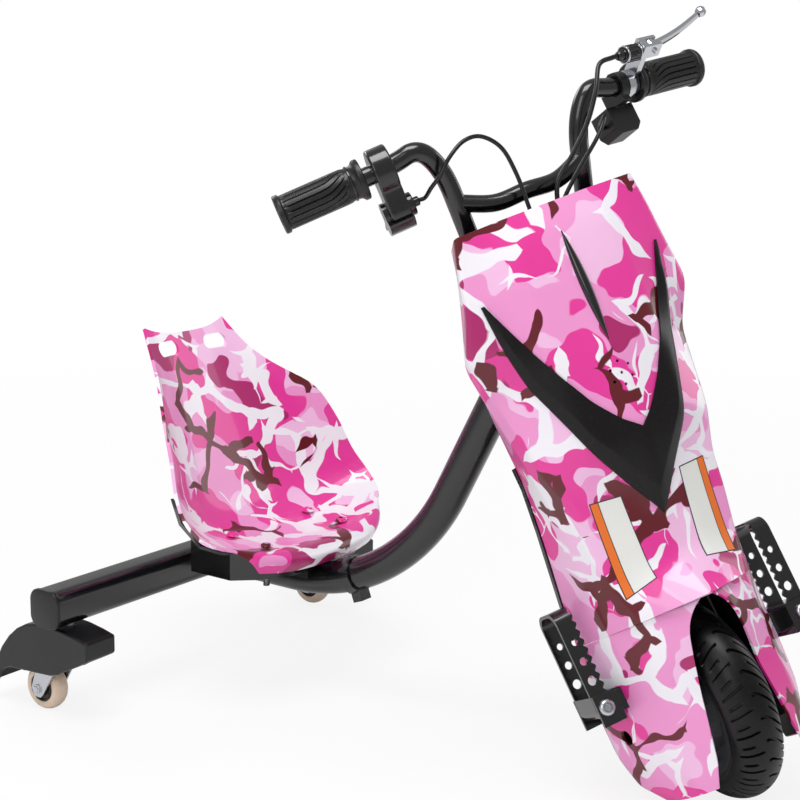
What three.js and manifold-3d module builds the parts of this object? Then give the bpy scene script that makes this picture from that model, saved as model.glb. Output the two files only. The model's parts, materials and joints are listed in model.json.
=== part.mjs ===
// A three-wheeled drifting scooter: a driven front wheel that steers in a moulded fairing,
// one bent main tube, a bucket seat, and a rear cross tube on two swivel casters.
// Millimetres, +Z up, the scooter faces -Y, and +X is the rider's left.
import * as THREE from "three";
import { mergeVertices, toCreasedNormals } from "three/addons/utils/BufferGeometryUtils.js";
import Module from "manifold-3d";

const wasm = await Module();
wasm.setup();

// Overall layout
const FRONT_WHEEL_RADIUS = 110;
const TYRE_SECTION_RADIUS = 28;
const WHEELBASE = 684;
const RAKE = THREE.MathUtils.degToRad(31.4);
const AXLE_OFFSET = 13.8;
const STEER_AT_REST = THREE.MathUtils.degToRad(-35.6);

// Clearances and cut overruns
const SEAT_GAP = 0.3;
const RUNNING_GAP = 0.6;
const OVERRUN = 2;
const MERGE_DISTANCE = 0.0005;
const CREASE_ANGLE = THREE.MathUtils.degToRad(35);

// Frame tubes
const MAIN_TUBE_RADIUS = 20;
const MAIN_TUBE_WALL = 2;
const MAIN_TUBE_HEIGHT = 138;
const MAIN_TUBE_BEND_RADIUS = 255;
const MAIN_TUBE_SLOPE = THREE.MathUtils.degToRad(62.9);
const MAIN_TUBE_KNEE = 392;
const CROSS_TUBE_SIZE = 44;
const CROSS_TUBE_CORNER = 13;
const CROSS_TUBE_WALL = 2.5;
const CROSS_TUBE_LENGTH = 566;
const CROSS_TUBE_HEIGHT = 139.6;
const END_CAP_THICKNESS = 5;
const END_CAP_LIP = 1;
const END_CAP_PLUG = 18;

// Head tube, its bearings and the steering column
const HEAD_TUBE_RADIUS = 23;
const HEAD_TUBE_BORE = 20.5;
const HEAD_TUBE_BELOW_JOINT = 55.47;
const HEAD_TUBE_ABOVE_JOINT = 34.53;
const BEARING_SEAT = 12;
const BEARING_FLANGE = 3.4;
const STEERER_RADIUS = 14.3;
const STEERER_WALL = 2.5;
const CROWN_THICKNESS = 8;
const CROWN_EDGE = 17;
const STEERER_TOP_STAND = 8;

// Fork legs
const LEG_FIT = 0.9;
const LEG_WALL = 1.6;
const LEG_GAP_HALF = 50;
const LEG_BEND_HEIGHT = 110;
const LEG_TOP_STAND = 26;
const LEG_SHOULDER_DROP = 20;
const LEG_SHOULDER_HALF = 57;
const LEG_SHOULDER_LEAD = 58;
const AXLE_PLATE_THICKNESS = 6;

// Handlebar
const BAR_RADIUS = 10;
const BAR_WALL = 1.8;
const BAR_HALF_WIDTH = 245;
const BAR_GRIP_DROP = 6;
const BAR_GRIP_LEAD = 107;
const BAR_SWEEP = THREE.MathUtils.degToRad(14.6);
const GRIP_LENGTH = 91;
const GRIP_RADIUS = 18;
const GRIP_FLANGE_RADIUS = 21;
const RISER_HALF = 78;
const RISER_LENGTH = 95;
const RISER_LEAD = 134;
const RISER_OVERLAP = 18;
const SHOULDER_HALF = 98;
const SHOULDER_RISE = 28;
const SHOULDER_LEAD = 149;
const CROSSBAR_RADIUS = 9;
const CROSSBAR_SHARE = 0.6737;
const CROSSBAR_DROP = 14;
const CROSSBAR_BOW = 6;

// Fairing
const SHELL_TOP = 520;
const SHELL_BOTTOM = 104;
const SHELL_HALF_WIDTH = 132;
const SHELL_DEPTH = 155;
const SHELL_WALL = 3;
const BOOT_DROP = 78;
const TRIM_THICKNESS = 6;
const TRIM_EDGE_THICKNESS = 2.5;
const FIN_THICKNESS = 5;
const FIN_HALF_WIDTH = 5.5;
const FIN_TOP_SHARE = 0.923;
const FIN_BOTTOM_SHARE = 0.642;
const SPEAKER_RADIUS = 25;
const SPEAKER_DEPTH = 16;
const SPEAKER_HEIGHT_SHARE = 0.5577;
const VENT_RADIUS = 1.6;
const VENT_PITCH = 12;

// Seat
const SEAT_WALL = 4;
const SEAT_HALF_WIDTH = 172;
const SEAT_HEIGHT = 270;
const SEAT_LENGTH = 250;
const SEAT_FRONT = 480;
const SEAT_UNDERSIDE = 167;
const HANDLE_HOLE_LENGTH = 38;
const HANDLE_HOLE_HEIGHT = 18;

// Casters
const CASTER_INSET = 33;
const CASTER_TRAIL = 40;
const CASTER_WHEEL_RADIUS = 28;
const CASTER_WHEEL_WIDTH = 24;
const CASTER_HUB_RADIUS = 17;
const CASTER_PLATE_THICKNESS = 3;
const CASTER_STEM_RADIUS = 8;
const HOOD_WALL = 3;

// Foot pegs
const PEG_LENGTH = 108;
const PEG_WIDTH = 50;
const PEG_DEPTH = 20;
const PEG_BAND = 3.5;
const PEG_STAND = 14.95;
const PEG_HINGE_HEIGHT = 41;
const PEG_BOLT_RADIUS = 5;
const PEG_TEETH = 10;
const PEG_TOOTH_DEPTH = 3.2;
const PEG_CREST_SHARE = 0.2;

// Sides of round forms, from small fasteners to the tyre. A bore that a round pin turns in has the fine count,
// so that its flats stay clear of the pin's corners.
const SIDES_TINY = 6;
const SIDES_SMALL = 8;
const SIDES_BAR = 10;
const SIDES_MEDIUM = 12;
const SIDES_FINE = 16;
const SIDES_LARGE = 18;
const SIDES_TYRE = 32;

// Steps round a corner and along bent tubes and cables
const CORNER_STEPS = 2;
const LEG_BEND_STEPS = 3;
const BEND_STEPS = 4;
const MAIN_BEND_STEPS = 9;
const STEPS_SHORT = 10;
const STEPS_LONG = 12;

const steel = (color, roughness, metalness) => new THREE.MeshStandardMaterial({ color, roughness, metalness });
const BLACK_PAINT = steel(0x161616, 0.35, 0.2);
const BLACK_PLASTIC = steel(0x1b1b1c, 0.55, 0);
const GLOSS_BLACK = steel(0x0f0d0e, 0.15, 0);
const PINK_SHELL = steel(0xf06ab8, 0.3, 0);
const RUBBER = steel(0x1a1a1b, 0.85, 0);
const SILVER = steel(0xb9bcc0, 0.3, 0.9);
const ALLOY = steel(0x8d9094, 0.4, 0.9);
const AMBER = steel(0xd9c3a5, 0.3, 0);
const CABLE = steel(0x101010, 0.5, 0);
const CASE_GREY = steel(0x3a3d42, 0.6, 0);

const X_AXIS = new THREE.Vector3(1, 0, 0);
const Y_AXIS = new THREE.Vector3(0, 1, 0);
const Z_AXIS = new THREE.Vector3(0, 0, 1);
const QUARTER = Math.PI / 2;
const vec = (x, y, z) => new THREE.Vector3(x, y, z);
const lerp = THREE.MathUtils.lerp;

// A closed three.js geometry as a solid for joins and cuts.
function solid(geometry) {
  const plain = geometry.index ? geometry.toNonIndexed() : geometry.clone();
  const bare = new THREE.BufferGeometry().setAttribute("position", plain.getAttribute("position"));
  const merged = mergeVertices(bare, MERGE_DISTANCE);
  const vertProperties = merged.attributes.position.array;
  const corners = Array.from(merged.index.array);
  if (signedVolume(vertProperties, corners) < 0) corners.reverse();
  return new wasm.Manifold(new wasm.Mesh({ numProp: 3, vertProperties, triVerts: new Uint32Array(corners) }));
}

// A finished solid as a three.js geometry.
function geometryOf(made) {
  const mesh = made.getMesh();
  const positions = new Float32Array(mesh.numVert * 3);
  for (let i = 0; i < mesh.numVert; i += 1) {
    positions.set(mesh.vertProperties.subarray(i * mesh.numProp, i * mesh.numProp + 3), i * 3);
  }
  const geometry = new THREE.BufferGeometry();
  geometry.setAttribute("position", new THREE.BufferAttribute(positions, 3));
  geometry.setIndex(new THREE.BufferAttribute(new Uint32Array(mesh.triVerts), 1));
  return geometry;
}

const joined = (...geometries) => geometries.map(solid).reduce((sum, next) => sum.add(next));
const cutBy = (body, ...tools) => tools.reduce((left, tool) => left.subtract(tool), body);

// A named piece in its group, from a geometry or a solid.
function addPiece(group, name, shape, material) {
  const made = shape.isBufferGeometry ? solid(shape) : shape;
  const mesh = new THREE.Mesh(toCreasedNormals(geometryOf(made), CREASE_ANGLE), material);
  mesh.name = name;
  group.add(mesh);
  return mesh;
}

// A straight round bar between two points.
function rod(from, to, radius, sides = SIDES_MEDIUM) {
  const along = to.clone().sub(from);
  const geometry = new THREE.CylinderGeometry(radius, radius, along.length(), sides);
  geometry.applyQuaternion(new THREE.Quaternion().setFromUnitVectors(Y_AXIS, along.normalize()));
  const middle = from.clone().add(to).multiplyScalar(0.5);
  return geometry.translate(middle.x, middle.y, middle.z);
}

// A block by its lowest and highest corners.
function block(low, high) {
  const size = high.clone().sub(low);
  const middle = low.clone().add(high).multiplyScalar(0.5);
  return new THREE.BoxGeometry(size.x, size.y, size.z).translate(middle.x, middle.y, middle.z);
}

function ringShape(radius, bore, sides, boreSides) {
  const circle = (r, count) =>
    Array.from({ length: count }, (_, i) => {
      const turn = (2 * Math.PI * i) / count;
      return new THREE.Vector2(r * Math.cos(turn), r * Math.sin(turn));
    });
  const shape = new THREE.Shape(circle(radius, sides));
  if (bore > 0) shape.holes.push(new THREE.Path(circle(bore, boreSides)));
  return shape;
}

// A path of runs and bends, with stations at the ends of each straight run and at even steps round each bend.
class StationedPath extends THREE.Curve {
  constructor(path, bendSteps) {
    super();
    this.places = [path.curves[0].getPoint(0)];
    this.directions = [path.curves[0].getTangent(0)];
    for (const run of path.curves) {
      const steps = run.isLineCurve3 ? 1 : bendSteps;
      for (let i = 1; i <= steps; i += 1) {
        this.places.push(run.getPoint(i / steps));
        this.directions.push(run.getTangent(i / steps));
      }
    }
    this.steps = this.places.length - 1;
  }
  getPointAt(u, target = new THREE.Vector3()) {
    return target.copy(this.places[Math.round(u * this.steps)]);
  }
  getTangentAt(u, target = new THREE.Vector3()) {
    return target.copy(this.directions[Math.round(u * this.steps)]);
  }
}

// A pipe, or a solid bar where the bore is zero, along a curve. On a path of runs, the steps are each bend's.
function pipe(curve, radius, bore, sides, steps, boreSides = sides) {
  const path = curve.curves ? new StationedPath(curve, steps) : curve;
  return new THREE.ExtrudeGeometry(ringShape(radius, bore, sides, boreSides), {
    steps: path.steps ?? steps,
    bevelEnabled: false,
    extrudePath: path,
  });
}

// A path of straight runs whose corners are rounded by the given reach.
function roundedPath(points, reach) {
  const path = new THREE.CurvePath();
  let start = points[0];
  for (let i = 1; i < points.length - 1; i += 1) {
    const before = points[i].clone().lerp(points[i - 1], Math.min(0.5, reach / points[i].distanceTo(points[i - 1])));
    const after = points[i].clone().lerp(points[i + 1], Math.min(0.5, reach / points[i].distanceTo(points[i + 1])));
    if (start.distanceTo(before) > MERGE_DISTANCE) path.add(new THREE.LineCurve3(start, before));
    path.add(new THREE.QuadraticBezierCurve3(before, points[i], after));
    start = after;
  }
  path.add(new THREE.LineCurve3(start, points[points.length - 1]));
  return path;
}

// A solid of revolution about X from [radius, x] pairs that start and end on the axis or close on themselves.
function turned(profile, sides) {
  const points = profile.map(([radius, along]) => new THREE.Vector2(radius, along));
  return new THREE.LatheGeometry(points, sides).rotateZ(-QUARTER);
}

// A flat outline pushed along +Z, as a plate or prism.
function plate(points, thickness, holes = []) {
  const shape = new THREE.Shape(points.map(([x, y]) => new THREE.Vector2(x, y)));
  for (const hole of holes) shape.holes.push(hole);
  return new THREE.ExtrudeGeometry(shape, { depth: thickness, bevelEnabled: false });
}

function signedVolume(positions, indices) {
  let sum = 0;
  const [a, b, c] = [vec(0, 0, 0), vec(0, 0, 0), vec(0, 0, 0)];
  for (let i = 0; i < indices.length; i += 3) {
    a.fromArray(positions, indices[i] * 3);
    b.fromArray(positions, indices[i + 1] * 3);
    c.fromArray(positions, indices[i + 2] * 3);
    sum += a.dot(b.cross(c));
  }
  return sum;
}

// A skin through closed rings of equally many points, shut by a flat face at both ends. Each cell is
// split along its shorter diagonal, so that a skin and the same skin set in by a wall fold alike.
function loft(rings) {
  const count = rings[0].length;
  const positions = rings.flat().flatMap((point) => [point.x, point.y, point.z]);
  const indices = [];
  for (let ring = 0; ring < rings.length - 1; ring += 1) {
    for (let i = 0; i < count; i += 1) {
      const next = (i + 1) % count;
      const [a, b] = [ring * count + i, ring * count + next];
      const [low, high] = [rings[ring], rings[ring + 1]];
      const crossed = low[i].distanceTo(high[next]) > low[next].distanceTo(high[i]);
      const faces = crossed ? [a, b, a + count, b, b + count, a + count] : [a, b, b + count, a, b + count, a + count];
      indices.push(...faces);
    }
  }
  for (const [ring, flip] of [[0, true], [rings.length - 1, false]]) {
    for (const face of faceOver(rings[ring])) {
      const [a, b, c] = face.map((i) => i + ring * count);
      indices.push(...(flip ? [c, b, a] : [a, b, c]));
    }
  }
  if (signedVolume(positions, indices) < 0) {
    for (let i = 0; i < indices.length; i += 3) {
      [indices[i + 1], indices[i + 2]] = [indices[i + 2], indices[i + 1]];
    }
  }
  const geometry = new THREE.BufferGeometry();
  geometry.setAttribute("position", new THREE.Float32BufferAttribute(positions, 3));
  geometry.setIndex(indices);
  return geometry;
}

// The triangles that shut one ring, with the ring's own sense kept.
function faceOver(ring) {
  const normal = vec(0, 0, 0);
  ring.forEach((point, i) => normal.add(point.clone().cross(ring[(i + 1) % ring.length])));
  const across = Math.abs(normal.z) > normal.length() / 2 ? X_AXIS : Z_AXIS;
  const side = normal.clone().normalize();
  const u = across.clone().addScaledVector(side, -across.dot(side)).normalize();
  const v = side.clone().cross(u);
  const flat = ring.map((point) => new THREE.Vector2(point.dot(u), point.dot(v)));
  return THREE.ShapeUtils.triangulateShape(flat, []);
}

// A flat path set in by a wall thickness, to its left where the wall is positive.
function setIn(path, wall) {
  return path.map(([x, y], i) => {
    const before = path[Math.max(i - 1, 0)];
    const after = path[Math.min(i + 1, path.length - 1)];
    const into = new THREE.Vector2(x - before[0], y - before[1]).normalize();
    const out = new THREE.Vector2(after[0] - x, after[1] - y).normalize();
    if (i === 0) into.copy(out);
    if (i === path.length - 1) out.copy(into);
    const normal = new THREE.Vector2(-into.y - out.y, into.x + out.x).normalize();
    const reach = wall / Math.max(0.5, normal.dot(new THREE.Vector2(-into.y, into.x)));
    return [x + normal.x * reach, y + normal.y * reach];
  });
}

// Sizes that follow from the ones above
const CASTER_TRACK_HALF = CROSS_TUBE_LENGTH / 2 - CASTER_INSET;
const LEG_BORE = BAR_RADIUS + LEG_FIT;
const LEG_RADIUS = LEG_BORE + LEG_WALL;

// Steering frame: X across, Y to the rear and square to the steering axis, Z up along it.
// The tyre is a ring of round section, so the lean that the turned fork gives it lowers its tread.
const tyreRingRadius = FRONT_WHEEL_RADIUS - TYRE_SECTION_RADIUS;
const lean = Math.asin(Math.abs(Math.sin(STEER_AT_REST) * Math.sin(RAKE)));
const hubBelowBase = AXLE_OFFSET * Math.cos(STEER_AT_REST) * Math.sin(RAKE);
const baseHeight = tyreRingRadius * Math.cos(lean) + TYRE_SECTION_RADIUS + hubBelowBase;
const steeringBase = vec(0, -AXLE_OFFSET * Math.cos(RAKE), baseHeight);

const scooter = new THREE.Group();
const column = new THREE.Group();
column.position.copy(steeringBase);
column.rotation.x = -RAKE;
const steering = new THREE.Group();
steering.rotation.z = STEER_AT_REST;
column.add(steering);
scooter.add(column);

// A point on the steering axis or beside it, in the scooter's own frame with the wheel straight.
function columnPoint(rearward, up) {
  const lift = up * Math.cos(RAKE) - rearward * Math.sin(RAKE);
  const back = up * Math.sin(RAKE) + rearward * Math.cos(RAKE);
  return steeringBase.clone().add(vec(0, back, lift));
}

// Where the main tube's upper run starts, its direction, and the place at which it meets the steering axis.
const knee = vec(0, MAIN_TUBE_KNEE, MAIN_TUBE_HEIGHT);
const tubeUp = vec(0, -Math.cos(MAIN_TUBE_SLOPE), Math.sin(MAIN_TUBE_SLOPE));
const axisUp = vec(0, Math.sin(RAKE), Math.cos(RAKE));
const toKnee = knee.clone().sub(steeringBase);
const kneeReach = (toKnee.y * axisUp.z - toKnee.z * axisUp.y) / (tubeUp.z * axisUp.y - tubeUp.y * axisUp.z);
const jointHeight = knee.clone().addScaledVector(tubeUp, kneeReach).sub(steeringBase).dot(axisUp);

// Heights along the steering axis, each from the piece below it
const HEAD_TUBE_LOW = jointHeight - HEAD_TUBE_BELOW_JOINT;
const HEAD_TUBE_HIGH = jointHeight + HEAD_TUBE_ABOVE_JOINT;
const LEG_SHOULDER_HEIGHT = HEAD_TUBE_HIGH - LEG_SHOULDER_DROP;
const LEG_TOP_HEIGHT = HEAD_TUBE_HIGH + LEG_TOP_STAND;
const RISER_HEIGHT = LEG_TOP_HEIGHT + RISER_LENGTH;
const SHOULDER_HEIGHT = RISER_HEIGHT + SHOULDER_RISE;
const BAR_GRIP_HEIGHT = SHOULDER_HEIGHT - BAR_GRIP_DROP;
const CROSSBAR_HEIGHT = lerp(LEG_TOP_HEIGHT, RISER_HEIGHT, CROSSBAR_SHARE);
const SPEAKER_HEIGHT = lerp(SHELL_BOTTOM, SHELL_TOP, SPEAKER_HEIGHT_SHARE);

// The main tube runs level under the seat, bends up and meets the head tube.
function mainTubePath() {
  const tangent = MAIN_TUBE_BEND_RADIUS * Math.tan(MAIN_TUBE_SLOPE / 2);
  const bendEnd = knee.clone().addScaledVector(tubeUp, tangent);
  const bendStart = knee.clone().add(vec(0, tangent, 0));
  const path = new THREE.CurvePath();
  const rearFace = WHEELBASE - CROSS_TUBE_SIZE / 2 - SEAT_GAP;
  path.add(new THREE.LineCurve3(vec(0, rearFace, MAIN_TUBE_HEIGHT), bendStart));
  path.add(new BendCurve(bendStart, MAIN_TUBE_BEND_RADIUS, MAIN_TUBE_SLOPE));
  path.add(new THREE.LineCurve3(bendEnd, knee.clone().addScaledVector(tubeUp, kneeReach)));
  return path;
}

// An arc in the side plane that leaves its start level, towards the front, and turns upwards.
class BendCurve extends THREE.Curve {
  constructor(start, radius, turn) {
    super();
    this.start = start;
    this.radius = radius;
    this.turn = turn;
  }
  getPoint(t, target = new THREE.Vector3()) {
    const angle = t * this.turn;
    const back = this.radius * Math.sin(angle);
    const rise = this.radius * (1 - Math.cos(angle));
    return target.set(this.start.x, this.start.y - back, this.start.z + rise);
  }
}

function columnCylinder(radius, low, high, sides) {
  return rod(columnPoint(0, low), columnPoint(0, high), radius, sides);
}

function addFrame() {
  const mainPath = mainTubePath();
  const tube = solid(pipe(mainPath, MAIN_TUBE_RADIUS, MAIN_TUBE_RADIUS - MAIN_TUBE_WALL, SIDES_MEDIUM,
    MAIN_BEND_STEPS, SIDES_SMALL));
  const clear = HEAD_TUBE_RADIUS + SEAT_GAP;
  const [below, above] = [HEAD_TUBE_LOW - HEAD_TUBE_RADIUS, HEAD_TUBE_HIGH + HEAD_TUBE_RADIUS];
  const cope = solid(onColumn([[0, below], [clear, below], [clear, above], [0, above]]));
  const farSide = solid(columnCylinder(MAIN_TUBE_RADIUS, HEAD_TUBE_LOW, HEAD_TUBE_HIGH, SIDES_SMALL)
    .translate(0, -HEAD_TUBE_RADIUS, -HEAD_TUBE_RADIUS));
  const coped = cutBy(tube, cope, farSide).decompose();
  addPiece(scooter, "main_tube", largest(coped), BLACK_PAINT);
  const head = [[HEAD_TUBE_BORE, HEAD_TUBE_LOW], [HEAD_TUBE_RADIUS, HEAD_TUBE_LOW], [HEAD_TUBE_RADIUS, HEAD_TUBE_HIGH],
    [HEAD_TUBE_BORE, HEAD_TUBE_HIGH], [HEAD_TUBE_BORE, HEAD_TUBE_LOW]];
  addPiece(scooter, "head_tube", onColumn(head), BLACK_PAINT);
  addBearing("head_bearing_lower", HEAD_TUBE_LOW, 1);
  addBearing("head_bearing_upper", HEAD_TUBE_HIGH, -1);
  addTubeCollar();
}

const largest = (solids) => solids.reduce((best, next) => (next.volume() > best.volume() ? next : best));

// A solid of revolution about the steering axis, in the scooter's frame.
function onColumn(profile) {
  const { x, y, z } = steeringBase;
  return turned(profile, SIDES_MEDIUM).rotateY(-QUARTER).rotateX(-RAKE).translate(x, y, z);
}

// A flanged bearing cup pressed into one end of the head tube.
function addBearing(name, end, inward) {
  const face = end - inward * SEAT_GAP;
  const outside = face - inward * BEARING_FLANGE;
  const inside = end + inward * BEARING_SEAT;
  const cup = HEAD_TUBE_BORE - SEAT_GAP;
  const bore = STEERER_RADIUS + RUNNING_GAP;
  const profile = [[bore, inside], [cup, inside], [cup, face], [HEAD_TUBE_RADIUS, face], [HEAD_TUBE_RADIUS, outside],
    [bore, outside], [bore, inside]];
  addPiece(scooter, name, onColumn(profile), ALLOY);
}

const COLLAR_WIDTH = 14;
const COLLAR_THICKNESS = 3.5;
const COLLAR_EAR = 9;

// The clamp ring round the main tube just ahead of the seat, where the frame's two halves join.
function addTubeCollar() {
  const tangent = MAIN_TUBE_BEND_RADIUS * Math.tan(MAIN_TUBE_SLOPE / 2);
  const seatEdge = SEAT_FRONT - COLLAR_WIDTH - COLLAR_EAR;
  const start = vec(0, MAIN_TUBE_KNEE + tangent, MAIN_TUBE_HEIGHT);
  const angle = Math.asin((start.y - seatEdge) / MAIN_TUBE_BEND_RADIUS);
  const centre = new BendCurve(start, MAIN_TUBE_BEND_RADIUS, angle).getPoint(1);
  const along = vec(0, -Math.cos(angle), Math.sin(angle)).multiplyScalar(COLLAR_WIDTH / 2);
  const outer = MAIN_TUBE_RADIUS + COLLAR_THICKNESS;
  const ears = block(vec(-COLLAR_EAR, -COLLAR_WIDTH / 2, -outer - COLLAR_EAR),
    vec(COLLAR_EAR, COLLAR_WIDTH / 2, -MAIN_TUBE_RADIUS));
  ears.rotateX(-angle).translate(centre.x, centre.y, centre.z);
  const ring = joined(rod(centre.clone().sub(along), centre.clone().add(along), outer), ears);
  const bore = solid(pipe(mainTubePath(), MAIN_TUBE_RADIUS + SEAT_GAP, 0, SIDES_MEDIUM, MAIN_BEND_STEPS));
  addPiece(scooter, "tube_collar", ring.subtract(bore), BLACK_PAINT);
}

// The outline of a square tube with rounded corners, in the plane across it.
function roundedSquare(size, corner) {
  const half = size / 2;
  const shape = new THREE.Shape();
  shape.moveTo(-half + corner, -half);
  shape.lineTo(half - corner, -half);
  shape.absarc(half - corner, -half + corner, corner, -QUARTER, 0);
  shape.absarc(half - corner, half - corner, corner, 0, QUARTER);
  shape.absarc(-half + corner, half - corner, corner, QUARTER, 2 * QUARTER);
  shape.absarc(-half + corner, -half + corner, corner, 2 * QUARTER, 3 * QUARTER);
  return shape;
}

function squareBar(size, corner, from, to) {
  const options = { depth: to - from, bevelEnabled: false, curveSegments: CORNER_STEPS };
  const bar = new THREE.ExtrudeGeometry(roundedSquare(size, corner), options);
  return bar.rotateX(QUARTER).rotateZ(QUARTER).translate(from, WHEELBASE, CROSS_TUBE_HEIGHT);
}

function addCrossTube() {
  const half = CROSS_TUBE_LENGTH / 2;
  const boreSize = CROSS_TUBE_SIZE - 2 * CROSS_TUBE_WALL;
  const boreCorner = CROSS_TUBE_CORNER - CROSS_TUBE_WALL;
  let tube = solid(squareBar(CROSS_TUBE_SIZE, CROSS_TUBE_CORNER, -half, half));
  tube = tube.subtract(solid(squareBar(boreSize, boreCorner, -half - OVERRUN, half + OVERRUN)));
  for (const side of [-1, 1]) {
    const hole = rod(vec(side * CASTER_TRACK_HALF, WHEELBASE, CROSS_TUBE_HEIGHT - CROSS_TUBE_SIZE),
      vec(side * CASTER_TRACK_HALF, WHEELBASE, CROSS_TUBE_HEIGHT), CASTER_STEM_RADIUS + RUNNING_GAP);
    tube = tube.subtract(solid(hole));
    const face = side * (half + SEAT_GAP);
    const outside = side * (half + SEAT_GAP + END_CAP_THICKNESS);
    const inside = side * (half - END_CAP_PLUG);
    const lid = squareBar(CROSS_TUBE_SIZE + 2 * END_CAP_LIP, CROSS_TUBE_CORNER + END_CAP_LIP,
      Math.min(face, outside), Math.max(face, outside));
    const plug = squareBar(boreSize - 2 * SEAT_GAP, boreCorner - SEAT_GAP, Math.min(inside, face),
      Math.max(inside, face));
    addPiece(scooter, side > 0 ? "end_cap_left" : "end_cap_right", joined(lid, plug), BLACK_PLASTIC);
  }
  addPiece(scooter, "rear_cross_tube", tube, BLACK_PAINT);
}

// Fork, steerer and crowns, in the steering frame.
const legPath = (side) =>
  roundedPath([
    vec(side * LEG_GAP_HALF, AXLE_OFFSET, 0),
    vec(side * LEG_GAP_HALF, AXLE_OFFSET, LEG_BEND_HEIGHT),
    vec(side * LEG_SHOULDER_HALF, -LEG_SHOULDER_LEAD, LEG_SHOULDER_HEIGHT),
    riserAt(side, LEG_TOP_HEIGHT),
  ], LEG_RADIUS * 2);

// A point on a riser's straight run, carried on downwards to the fork leg.
function riserAt(side, height) {
  const foot = vec(side * LEG_SHOULDER_HALF, -LEG_SHOULDER_LEAD, LEG_SHOULDER_HEIGHT);
  const top = vec(side * RISER_HALF, -RISER_LEAD, RISER_HEIGHT);
  return foot.lerp(top, (height - LEG_SHOULDER_HEIGHT) / (RISER_HEIGHT - LEG_SHOULDER_HEIGHT));
}

const legBody = (side, radius, bore) =>
  pipe(legPath(side), radius, bore, SIDES_MEDIUM, LEG_BEND_STEPS, SIDES_BAR);

function legCentreAt(side, height) {
  const low = vec(side * LEG_GAP_HALF, AXLE_OFFSET, LEG_BEND_HEIGHT);
  const high = vec(side * LEG_SHOULDER_HALF, -LEG_SHOULDER_LEAD, LEG_SHOULDER_HEIGHT);
  const share = (height - LEG_BEND_HEIGHT) / (LEG_SHOULDER_HEIGHT - LEG_BEND_HEIGHT);
  return share < 1 ? low.lerp(high, share) : riserAt(side, height);
}

// A crown is a flat plate from the steerer to both fork legs, bored for all three.
function crownPlate(low) {
  const leg = legCentreAt(1, low + CROWN_THICKNESS / 2);
  const ear = leg.x + CROWN_EDGE;
  const outline = [
    [-HEAD_TUBE_RADIUS, HEAD_TUBE_RADIUS * 0.6],
    [-ear, leg.y + CROWN_EDGE * 0.6],
    [-ear, leg.y - CROWN_EDGE * 0.6],
    [-ear + CROWN_EDGE, leg.y - CROWN_EDGE],
    [ear - CROWN_EDGE, leg.y - CROWN_EDGE],
    [ear, leg.y - CROWN_EDGE * 0.6],
    [ear, leg.y + CROWN_EDGE * 0.6],
    [HEAD_TUBE_RADIUS, HEAD_TUBE_RADIUS * 0.6],
    [HEAD_TUBE_RADIUS * 0.5, HEAD_TUBE_RADIUS],
    [-HEAD_TUBE_RADIUS * 0.5, HEAD_TUBE_RADIUS],
  ];
  const made = solid(plate(outline, CROWN_THICKNESS).translate(0, 0, low));
  return cutBy(made, ...[-1, 1].map((side) => solid(legBody(side, LEG_RADIUS + SEAT_GAP, 0))));
}

function addFork() {
  const lowerCrown = HEAD_TUBE_LOW - 2 * SEAT_GAP - BEARING_FLANGE - CROWN_THICKNESS;
  const upperCrown = HEAD_TUBE_HIGH + 2 * SEAT_GAP + BEARING_FLANGE;
  const top = upperCrown + CROWN_THICKNESS + STEERER_TOP_STAND;
  const steerer = solid(rod(vec(0, 0, lowerCrown), vec(0, 0, top), STEERER_RADIUS));
  const bore = solid(rod(vec(0, 0, lowerCrown - OVERRUN), vec(0, 0, top + OVERRUN), STEERER_RADIUS - STEERER_WALL));
  addPiece(steering, "steerer_and_lower_crown", crownPlate(lowerCrown).add(steerer).subtract(bore), BLACK_PAINT);
  const clear = solid(rod(vec(0, 0, upperCrown - OVERRUN), vec(0, 0, top), STEERER_RADIUS + SEAT_GAP));
  addPiece(steering, "upper_crown", crownPlate(upperCrown).subtract(clear), BLACK_PAINT);
  for (const side of [-1, 1]) addForkLeg(side);
  addAxle();
}

const AXLE_RADIUS = 6;
const AXLE_NUT_RADIUS = 10.5;
const AXLE_NUT_THICKNESS = 8;

function addForkLeg(side) {
  const inner = side * (LEG_GAP_HALF - AXLE_PLATE_THICKNESS / 2);
  const outer = side * (LEG_GAP_HALF + AXLE_PLATE_THICKNESS / 2);
  const low = vec(Math.min(inner, outer), AXLE_OFFSET - LEG_RADIUS * 1.3, -LEG_RADIUS * 1.5);
  const high = vec(Math.max(inner, outer), AXLE_OFFSET + LEG_RADIUS * 1.3, LEG_RADIUS * 3);
  const pocket = block(vec(side * LEG_GAP_HALF - LEG_RADIUS * 2, AXLE_OFFSET - LEG_RADIUS * 2, -LEG_RADIUS * 2),
    vec(side * LEG_GAP_HALF + LEG_RADIUS * 2, AXLE_OFFSET + LEG_RADIUS * 2, LEG_RADIUS * 1.6));
  const tube = solid(legBody(side, LEG_RADIUS, LEG_BORE)).subtract(solid(pocket));
  const hole = rod(vec(0, AXLE_OFFSET, 0), vec(side * LEG_GAP_HALF * 2, AXLE_OFFSET, 0), AXLE_RADIUS + SEAT_GAP);
  const made = largest(tube.add(solid(block(low, high))).subtract(solid(hole)).decompose());
  addPiece(steering, side > 0 ? "fork_leg_left" : "fork_leg_right", made, BLACK_PAINT);
}

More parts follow.
